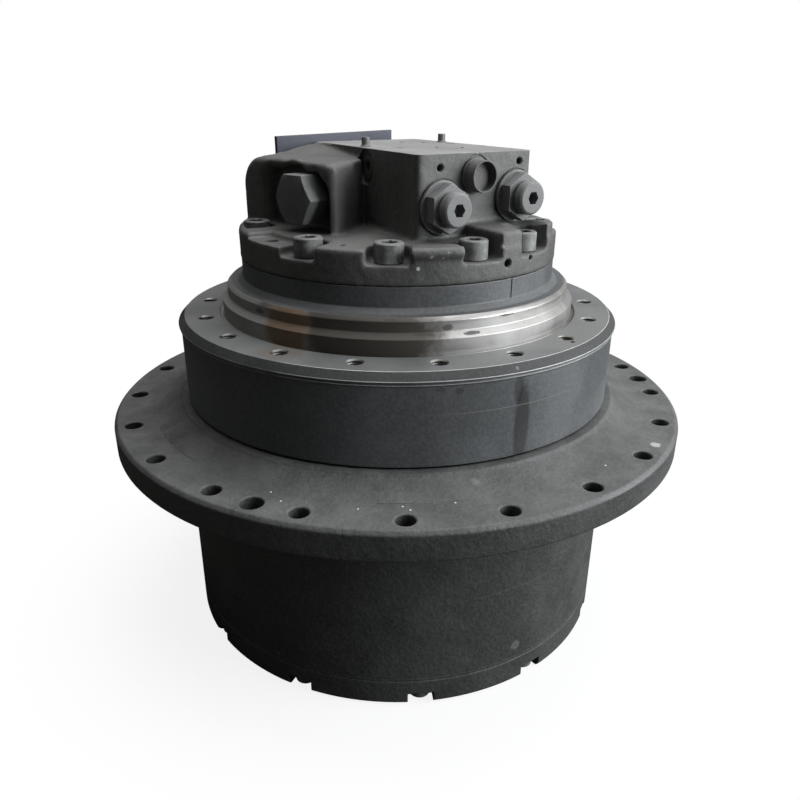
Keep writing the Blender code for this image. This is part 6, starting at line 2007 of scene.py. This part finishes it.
    def bore(self, radius: float, depth: float, spot: float = 0.0, spot_depth: float = 0.0) -> Piece:
        """A drill for a side face at height zero, with a wider mouth if it has a spot face."""
        profile = [(0.0, -depth), (radius, -depth)]
        if spot:
            profile += [(radius, -spot_depth), (spot, -spot_depth), (spot, OVERRUN)]
        else:
            profile += [(radius, OVERRUN)]
        return turned("bore", profile + [(0.0, OVERRUN)], SMALL_ROUND)

    def machining(self) -> list:
        """One helper for every cut that a machine makes in the casting."""
        block = self.block
        far = 2 * self.radius
        square = [Vector((-far, -far)), Vector((far, -far)), Vector((far, far)), Vector((-far, far))]
        cuts = [slab("top_face", square, block.top, block.top + far)]
        cuts.append(slab("bottom_face", square, self.base - far, self.base))
        relief = (self.relief_bore, self.relief_bore_depth, self.relief_spot, self.relief_spot_depth)
        places = [block.right_face(place) for place in self.relief_places]
        cuts.append(grouped(self.bore(*relief), places))
        cap = self.bore(self.cap_bore, self.cap_bore_depth, self.cap_spot, self.relief_spot_depth)
        cuts.append(placed(cap, block.right_face(self.cap_place)))
        gauge = hole_cutter("gauge", self.gauge_radius, -self.gauge_depth, 0.0, self.gauge_rim, TINY_ROUND)
        cuts.append(grouped(gauge, [block.right_face(place) for place in self.gauge_places]))
        plug = self.bore(self.plug_bore, self.plug_bore_depth, self.plug_spot, self.plug_spot_depth)
        cuts.append(placed(plug, block.left_face(self.plug_place)))
        ports = [block.plate_face(place) for place in self.port_places]
        cuts.append(grouped(self.bore(self.port_radius, self.port_depth), ports))
        drain = self.bore(self.drain_radius, self.drain_depth, self.drain_spot, self.drain_spot_depth)
        cuts.append(grouped(drain, [block.drain_face(place) for place in self.drain_places]))
        pins = [upright(place, block.top) for place in self.pin_places]
        cuts.append(grouped(self.bore(self.pin_bore, self.pin_depth), pins))
        for x, y, radius in self.top_ports:
            inner = radius - self.top_ring_width
            low, high = -self.top_ring_depth, OVERRUN * HALF
            ring = [(inner, low), (radius, low), (radius, high), (inner, high)]
            cuts.append(placed(turned("ring", ring, SMALL_ROUND), upright((x, y), block.top)))
        for angle, height, radius in (self.rim_tap, self.rim_pit):
            tap = hole_cutter("tap", radius, -self.gauge_depth, 0.0, self.gauge_rim, TINY_ROUND)
            cuts.append(placed(tap, facing(angle, on_circle(self.radius, angle), height)))
        for angle, radius, size in self.disc_holes:
            drill = hole_cutter("drill", size, -self.gauge_depth, 0.0, self.gauge_rim * HALF, TINY_ROUND)
            level = self.top - (self.low_drop if angle < self.low_span[1] else 0.0)
            cuts.append(placed(drill, upright(on_circle(radius, angle), level)))
        drill = self.bore(self.bolt_hole, self.pocket_floor)
        spots = [on_circle(self.bolt_circle, angle) for angle in self.bolt_angles]
        cuts.append(grouped(drill, [upright(spot, self.pocket_floor) for spot in spots]))
        return cuts

    def build(self) -> Piece:
        """Casts the cover with soft edges, then machines it."""
        cover = self.rough_casting()
        modified(cover, "REMESH", mode="VOXEL", voxel_size=self.voxel * MM)
        modified(cover, "SMOOTH", factor=self.smooth_factor, iterations=self.smooth_rounds)
        skin = bpy.data.textures.new("cast_waves", "CLOUDS")
        skin.noise_scale = self.skin_size * MM
        skin.noise_depth = self.skin_depth
        modified(cover, "DISPLACE", texture=skin, strength=self.skin_strength * MM, mid_level=HALF)
        for cutter in self.machining():
            cut(cover, cutter)
        dressed(shaded(cover), VALVE_PAINT, Body.FIXED, "motor_cover")
        level = self.block.top - self.top_ring_depth * HALF
        # The top face takes the lighter paint: dust, and a painted reflection.
        refaced(cover, MACHINED_FACE_AND_SHEEN_PAINT.material(), lambda centre: centre.z > level)
        return cover


@dataclass
class CoverBolts:
    """The socket head screws of the motor cover, with knurled heads."""

    head_radius: float = 13.5
    head_height: float = 18.0
    seat_gap: float = 0.3
    chamfer: float = 1.2
    knurl_margin: float = 1.6
    knurl_share: float = 0.975
    rounds: int = 96
    shank: float = 8.7
    grip: float = 38.0
    thread_from: float = 16.0
    thread_pitch: float = 2.0
    thread_depth: float = 0.8
    socket: float = 14.0
    socket_depth: float = 9.0
    socket_rim: float = 0.7

    def profile(self) -> list:
        """The screw's profile, from its point to its head."""
        rows = [(0.0, -self.grip), (self.shank - self.thread_depth, -self.grip)]
        height = -self.grip
        while height < -self.thread_from:
            rows.append((self.shank - self.thread_depth, height + self.thread_pitch * HALF))
            rows.append((self.shank, height + self.thread_pitch))
            height += self.thread_pitch
        top = self.head_height
        rows += [
            (self.shank, self.seat_gap),
            (self.head_radius - self.chamfer * HALF, self.seat_gap),
            (self.head_radius, self.seat_gap + self.chamfer * HALF),
            (self.head_radius, self.seat_gap + self.knurl_margin),
            (self.head_radius, top - self.knurl_margin),
            (self.head_radius, top - self.chamfer),
            (self.head_radius - self.chamfer, top),
            (0.0, top),
        ]
        return rows

    def knurled(self, screw: Piece) -> None:
        """Presses every second line of the head inwards."""
        step = math.radians(FULL) / self.rounds
        low = (self.seat_gap + self.knurl_margin - MERGE) * MM
        high = (self.head_height - self.knurl_margin + MERGE) * MM

        def is_ridge(point: bpy.types.MeshVertex) -> bool:
            """Says whether a vertex lies on a line of the head that is pressed in."""
            line = round(math.atan2(point.co.y, point.co.x) / step)
            outside = point.co.xy.length > (self.head_radius - self.chamfer * HALF) * MM
            return line % 2 == 0 and outside and low < point.co.z < high

        picked(screw, "VERT", is_ridge)
        with editing(screw):
            resize(self.knurl_share, self.knurl_share)

    def build(self) -> None:
        """Makes one screw and copies it to each place of the motor cover."""
        screw = turned("cover_bolt", self.profile(), self.rounds)
        self.knurled(screw)
        top = self.head_height
        cut(screw, slab("socket", hexagon(self.socket), top - self.socket_depth, top + OVERRUN))
        rim = corner_reach(self.socket)
        low, high = top - self.socket_rim, top + OVERRUN
        funnel = [(0.0, low), (rim - self.socket_rim, low), (rim + OVERRUN, high), (0.0, high)]
        cut(screw, turned("funnel", funnel, self.rounds))
        shaded(screw)
        cover = MotorCover()
        rows = []
        for number, angle in enumerate(cover.bolt_angles, 1):
            place = upright(on_circle(cover.bolt_circle, angle), cover.pocket_floor, angle * number)
            rows.append((f"cover_bolt_{number:02d}", place, f"motor_cover_bolt_{number:02d}"))
        spread(screw, SCREW_PAINT, Body.FIXED, rows)


@dataclass
class ReliefValves:
    """The two relief valve cartridges: washer, hexagon, neck and round cap with a socket."""

    washer: float = 24.4
    washer_top: float = 3.3
    gap: float = 0.3
    across_flats: float = 39.0
    hex_length: float = 12.0
    hex_crown: float = 21.0
    neck: float = 14.0
    neck_length: float = 2.5
    cap: float = 15.8
    cap_length: float = 9.0
    cap_chamfer: float = 2.0
    shank: float = 13.0
    shank_length: float = 30.0
    socket: float = 11.3
    socket_depth: float = 8.0
    edge: float = 0.5

    def build(self) -> None:
        """Makes one cartridge and copies it to both places on the block's front right face."""
        hex_top = self.washer_top + self.hex_length
        neck_top = hex_top + self.neck_length
        top = neck_top + self.cap_length
        profile = [
            (0.0, -self.shank_length),
            (self.shank, -self.shank_length),
            (self.shank, self.gap),
            (self.washer, self.gap),
            (self.washer, self.washer_top),
            (self.neck, self.washer_top),
            (self.neck, neck_top),
            (self.cap, neck_top),
            (self.cap, top - self.cap_chamfer),
            (self.cap - self.cap_chamfer, top),
            (0.0, top),
        ]
        valve = bevelled(turned("relief", profile, MEDIUM_ROUND), self.edge)
        nut = slab("nut", hexagon(self.across_flats, QUARTER), self.washer_top - self.gap, hex_top)
        crown = self.hex_crown
        dome = [
            (0.0, 0.0),
            (2 * crown, 0.0),
            (2 * crown, hex_top - self.neck_length),
            (crown - 2 * self.edge, hex_top),
            (0.0, hex_top),
        ]
        combined(nut, turned("dome", dome, MEDIUM_ROUND), Join.SHARED)
        fused(valve, bevelled(nut, self.edge * HALF, 1))
        cut(valve, slab("socket", hexagon(self.socket), top - self.socket_depth, top + OVERRUN))
        shaded(valve)
        cover = MotorCover()
        rows = []
        for side, place in zip(("left", "right"), cover.relief_places):
            rows.append((f"relief_cartridge_{side}", cover.block.right_face(place), f"relief_valve_{side}"))
        spread(valve, CARTRIDGE_PAINT, Body.FIXED, rows)


@dataclass
class Plugs:
    """The port cap, the socket plug and the big hexagon plug of the counterbalance valve."""

    gap: float = 0.3
    edge: float = 0.4
    cap_outer: float = 14.5
    cap_wall: float = 1.6
    cap_length: float = 14.5
    cap_shank: float = 9.0
    cap_depth: float = 8.0
    cap_rim: float = 16.2
    cap_rim_height: float = 1.5
    plug_radius: float = 13.0
    plug_bottom: float = -15.0
    plug_top: float = -2.0
    plug_chamfer: float = 1.5
    plug_socket: float = 10.4
    plug_socket_depth: float = 6.0
    valve_flats: float = 45.0
    valve_turn: float = 60.0
    valve_length: float = 26.0
    valve_end: float = 124.0
    valve_crown: float = 22.6
    valve_fall: float = 5.4
    valve_shank: float = 17.0
    valve_shank_length: float = 16.0

    def build_cap(self) -> Piece:
        """The thin cup pressed in the port between the relief valves."""
        outer = self.cap_outer - self.cap_wall * HALF
        floor = self.cap_length - self.cap_depth
        profile = [
            (0.0, -self.cap_shank),
            (outer, -self.cap_shank),
            (outer, self.gap),
            (self.cap_rim, self.gap),
            (self.cap_rim, self.gap + self.cap_rim_height),
            (self.cap_outer, self.gap + self.cap_rim_height),
            (self.cap_outer, self.cap_length),
            (self.cap_outer - self.cap_wall, self.cap_length),
            (self.cap_outer - self.cap_wall, floor),
            (0.0, floor),
        ]
        cap = bevelled(turned("port_cup", profile, MEDIUM_ROUND), self.edge)
        cover = MotorCover()
        placed(cap, cover.block.right_face(cover.cap_place))
        return dressed(shaded(cap), VALVE_PAINT, Body.FIXED, "port_cap")

    def build_socket_plug(self) -> Piece:
        """The sunk plug in the block's left face."""
        profile = [
            (0.0, self.plug_bottom),
            (self.plug_radius, self.plug_bottom),
            (self.plug_radius, self.plug_top - self.plug_chamfer),
            (self.plug_radius - self.plug_chamfer, self.plug_top),
            (0.0, self.plug_top),
        ]
        plug = turned("sunk_plug", profile, MEDIUM_ROUND)
        low = self.plug_top - self.plug_socket_depth
        cut(plug, slab("socket", hexagon(self.plug_socket), low, self.plug_top + OVERRUN))
        cover = MotorCover()
        placed(plug, cover.block.left_face(cover.plug_place))
        return dressed(shaded(plug), VALVE_PAINT, Body.FIXED, "socket_plug")

    def build_valve_plug(self) -> Piece:
        """The big hexagon with its crowned corners and its round shank."""
        length = self.valve_length
        nut = slab("valve_nut", hexagon(self.valve_flats, self.valve_turn), self.gap, length)
        crown = self.valve_crown
        dome = [
            (0.0, -self.gap),
            (crown, -self.gap),
            (2 * crown, length * HALF),
            (2 * crown, length - 2 * self.valve_fall),
            (crown - 2 * self.edge, length),
            (0.0, length),
        ]
        combined(nut, turned("dome", dome, MEDIUM_ROUND), Join.SHARED)
        bevelled(nut, self.edge, 2)
        shank = [
            (0.0, -self.valve_shank_length),
            (self.valve_shank, -self.valve_shank_length),
            (self.valve_shank, length * HALF),
            (0.0, length * HALF),
        ]
        fused(nut, turned("shank", shank, MEDIUM_ROUND))
        placed(nut, ValveBlock().valve_axis(self.valve_end - length))
        return dressed(shaded(nut), SCREW_PAINT, Body.FIXED, "counterbalance_plug")

    def build(self) -> None:
        """Builds the cap and both plugs."""
        self.build_cap()
        self.build_socket_plug()
        self.build_valve_plug()


@dataclass
class TopPieces:
    """The plate over the main ports and the two dowel pins on the block."""

    plate_start: float = -50.0
    plate_end: float = 103.0
    plate_bottom: float = 8.0
    plate_start_top: float = 81.7
    plate_end_top: float = 86.2
    plate_gap: float = 0.3
    plate_thick: float = 5.5
    plate_round: float = 0.5
    screw_places: Tuple[Point, ...] = (
        (-42.0, 16.0),
        (-42.0, 64.0),
        (20.0, 16.0),
        (20.0, 64.0),
        (95.0, 16.0),
        (95.0, 64.0),
    )
    screw_radius: float = 5.5
    screw_height: float = 3.6
    screw_flats: float = 10.0
    pin_radius: float = 4.2
    pin_rise: float = 9.0
    pin_collar: float = 6.0
    pin_collar_height: float = 1.6
    pin_shank: float = 3.0
    pin_shank_length: float = 8.0
    pin_gap: float = 0.3
    edge: float = 0.5

    def build_plate(self) -> None:
        """The plate with its rounded edges and the heads of its screws."""
        outline = [
            Vector((-self.plate_start, self.plate_bottom)),
            Vector((-self.plate_end, self.plate_bottom)),
            Vector((-self.plate_end, self.plate_end_top)),
            Vector((-self.plate_start, self.plate_start_top)),
        ]
        plate = slab("cover_plate", outline, self.plate_gap, self.plate_gap + self.plate_thick)
        bevelled(plate, self.plate_round)
        block = ValveBlock()
        placed(plate, block.plate_face((0.0, 0.0)))
        dressed(shaded(plate), PLATE_PAINT, Body.FIXED, "port_plate")
        low = self.plate_gap + self.plate_thick
        head = slab("plate_screw", hexagon(self.screw_flats), low, low + self.screw_height)
        bevelled(head, self.edge, 1)
        shaded(head)
        rows = []
        for number, place in enumerate(self.screw_places, 1):
            rows.append((f"port_plate_screw_{number}", block.plate_face(place), None))
        spread(head, SCREW_PAINT, Body.FIXED, rows)

    def build_pins(self) -> None:
        """The two dowel pins with their collars."""
        profile = [
            (0.0, -self.pin_shank_length),
            (self.pin_shank, -self.pin_shank_length),
            (self.pin_shank, self.pin_gap),
            (self.pin_collar, self.pin_gap),
            (self.pin_radius, self.pin_collar_height),
            (self.pin_radius, self.pin_rise),
            (0.0, self.pin_rise),
        ]
        pin = shaded(bevelled(turned("pin", profile, SMALL_ROUND), self.edge))
        cover = MotorCover()
        rows = []
        for side, place in zip(("front", "back"), cover.pin_places):
            rows.append((f"dowel_{side}", upright(place, cover.block.top), f"dowel_pin_{side}"))
        spread(pin, SCREW_PAINT, Body.FIXED, rows)

    def build(self) -> None:
        """Builds the plate and the pins."""
        self.build_plate()
        self.build_pins()


@dataclass
class InnerParts:
    """The gears, bearings, seals and motor parts inside, which keep their CAD shapes."""

    def build(self) -> None:
        """Gives every CAD node that still shows the finish of its slot."""
        for name, node in sorted(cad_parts.items()):
            if node.hide_render:
                continue
            worn = [material.name for material in node.data.materials if material]
            known = [slot for slot in SLOT_FINISHES if worn and worn[0].startswith(slot)]
            finish = SLOT_FINISHES[known[0]] if known else GEAR_STEEL
            node.data.materials.clear()
            node.data.materials.append(finish.material())
            log.info("%s: %s", name, finish.name)


@dataclass(frozen=True)
class Lamp:
    """One soft lamp, its place and its sides in metres."""

    name: str
    place: Triple
    side: float
    power: float
    colour: Triple


@dataclass
class Studio:
    """The pale floor, the soft lights and the camera, in metres and radians."""

    floor_size: float = 12.0
    white: Colour = (1.0, 1.0, 1.0, 1.0)
    floor_colour: Colour = (0.85, 0.85, 0.85, 1.0)
    floor_bounce: Colour = (0.06, 0.06, 0.055, 1.0)
    floor_roughness: float = 0.9
    floor_glow: Range = (0.24, 0.50, 0.86, 1.0)
    camera_place: Triple = (0.0, -0.7825, 0.5535)
    camera_lens: float = 32.4
    camera_sensor: float = 36.0
    camera_yaw: float = 0.00468
    camera_pitch: float = 0.39335
    camera_roll: float = 0.00589
    camera_near: float = 0.01
    target: Triple = (0.0, 0.0, 0.3)
    sky: float = 0.085
    reflected_sky: Range = (-0.45, 0.90, 0.06, 0.62)
    lamps: Tuple[Lamp, ...] = (
        Lamp("right_lamp", (1.85, -0.50, 1.0), 1.6, 92.0, (0.95, 0.985, 1.0)),
        Lamp("top_lamp", (0.10, 0.30, 2.1), 1.6, 42.0, (1.0, 1.0, 1.0)),
        Lamp("left_lamp", (-1.9, -0.9, 1.1), 1.2, 1.3, (1.0, 0.99, 0.93)),
    )

    def camera(self) -> None:
        """Sets the camera where the photograph was taken from."""
        yaw, pitch, roll = self.camera_yaw, self.camera_pitch, self.camera_roll
        look = Vector((math.sin(yaw) * math.cos(pitch), math.cos(yaw) * math.cos(pitch), -math.sin(pitch)))
        level = Vector((math.cos(yaw), -math.sin(yaw), 0.0))
        rise = level.cross(look)
        right = level * math.cos(roll) + rise * math.sin(roll)
        up = rise * math.cos(roll) - level * math.sin(roll)
        turn = Matrix((right, up, -look)).transposed().to_4x4()
        nothing()
        bpy.ops.object.camera_add()
        camera = bpy.context.object
        camera.data.lens = self.camera_lens
        camera.data.sensor_width = self.camera_sensor
        camera.data.clip_start = self.camera_near
        camera.matrix_world = Matrix.Translation(Vector(self.camera_place)) @ turn
        bpy.context.scene.camera = camera

    def lights(self) -> None:
        """Hangs the lamps: a broad one from the right, one overhead and a weak one from the left."""
        for lamp in self.lamps:
            aim = Vector(self.target) - Vector(lamp.place)
            turn = aim.to_track_quat("-Z", "Y").to_euler()
            bpy.ops.object.light_add(type="AREA", location=lamp.place, rotation=turn)
            light = bpy.context.object
            light.name = lamp.name
            light.data.shape = "RECTANGLE"
            light.data.size = lamp.side
            light.data.size_y = lamp.side
            light.data.energy = lamp.power
            light.data.color = lamp.colour

    def backdrop(self) -> None:
        """A white world to look at, which lights the drive only a little."""
        world = bpy.data.worlds.new("studio")
        bpy.context.scene.world = world
        world.use_nodes = True
        wiring = Wiring(world.node_tree)
        seen = wiring.node("LightPath")
        shown = wiring.maths("MAXIMUM", seen.outputs["Is Camera Ray"], seen.outputs["Is Transmission Ray"])
        direction = wiring.node("TexCoord").outputs["Generated"]
        side = wiring.node("SeparateXYZ", {0: direction}).outputs["X"]
        bright = wiring.ramp(side, *self.reflected_sky)
        glossy = wiring.times(seen.outputs["Is Glossy Ray"], bright)
        rest = wiring.minus(1.0, seen.outputs["Is Glossy Ray"])
        soft = wiring.plus(glossy, wiring.times(rest, self.sky))
        strength = wiring.maths("MAXIMUM", shown, soft)
        shade = world.node_tree.nodes["Background"]
        shade.inputs["Color"].default_value = self.white
        wiring.put(shade.inputs["Strength"], strength)

    def floor(self) -> None:
        """The floor, white to the camera apart from the drive's shadow."""
        nothing()
        bpy.ops.mesh.primitive_plane_add(size=self.floor_size)
        floor = bpy.context.object
        floor.name = "studio_floor"
        made = bpy.data.materials.new("studio_floor")
        made.use_nodes = True
        nodes = made.node_tree.nodes
        wiring = Wiring(made.node_tree)
        shader = nodes["Principled BSDF"]
        shader.inputs["Roughness"].default_value = self.floor_roughness
        shader.inputs["Specular IOR Level"].default_value = 0.0
        seen = wiring.node("LightPath")
        shown = wiring.mix(seen.outputs["Is Camera Ray"], self.floor_bounce, self.floor_colour)
        wiring.put(shader.inputs["Base Color"], shown)
        glow = wiring.node("Emission", {"Color": self.white})
        far = wiring.node("VectorMath", {0: wiring.place()}, operation="LENGTH").outputs["Value"]
        share = wiring.times(wiring.ramp(far, *self.floor_glow), seen.outputs["Is Camera Ray"])
        mixed = wiring.node("MixShader", {0: share, 1: shader.outputs[0], 2: glow.outputs[0]})
        wiring.put(nodes["Material Output"].inputs["Surface"], mixed.outputs[0])
        floor.data.materials.append(made)

    def build(self) -> None:
        """Builds the backdrop, the floor, the lights and the camera."""
        scene = bpy.context.scene
        scene.view_settings.view_transform = "Standard"
        self.backdrop()
        self.floor()
        self.lights()
        self.camera()


def main() -> None:
    """Builds the studio and every sub-assembly."""
    logging.basicConfig(level=logging.INFO, format="%(message)s")
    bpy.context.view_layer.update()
    castings = (GearCover(), GearHousing(), Hub(), Spindle(), MotorCover())
    fittings = (CoverBolts(), ReliefValves(), Plugs(), TopPieces())
    for part in (Studio(),) + castings + fittings + (InnerParts(),):
        part.build()


if __name__ == "__main__":
    main()
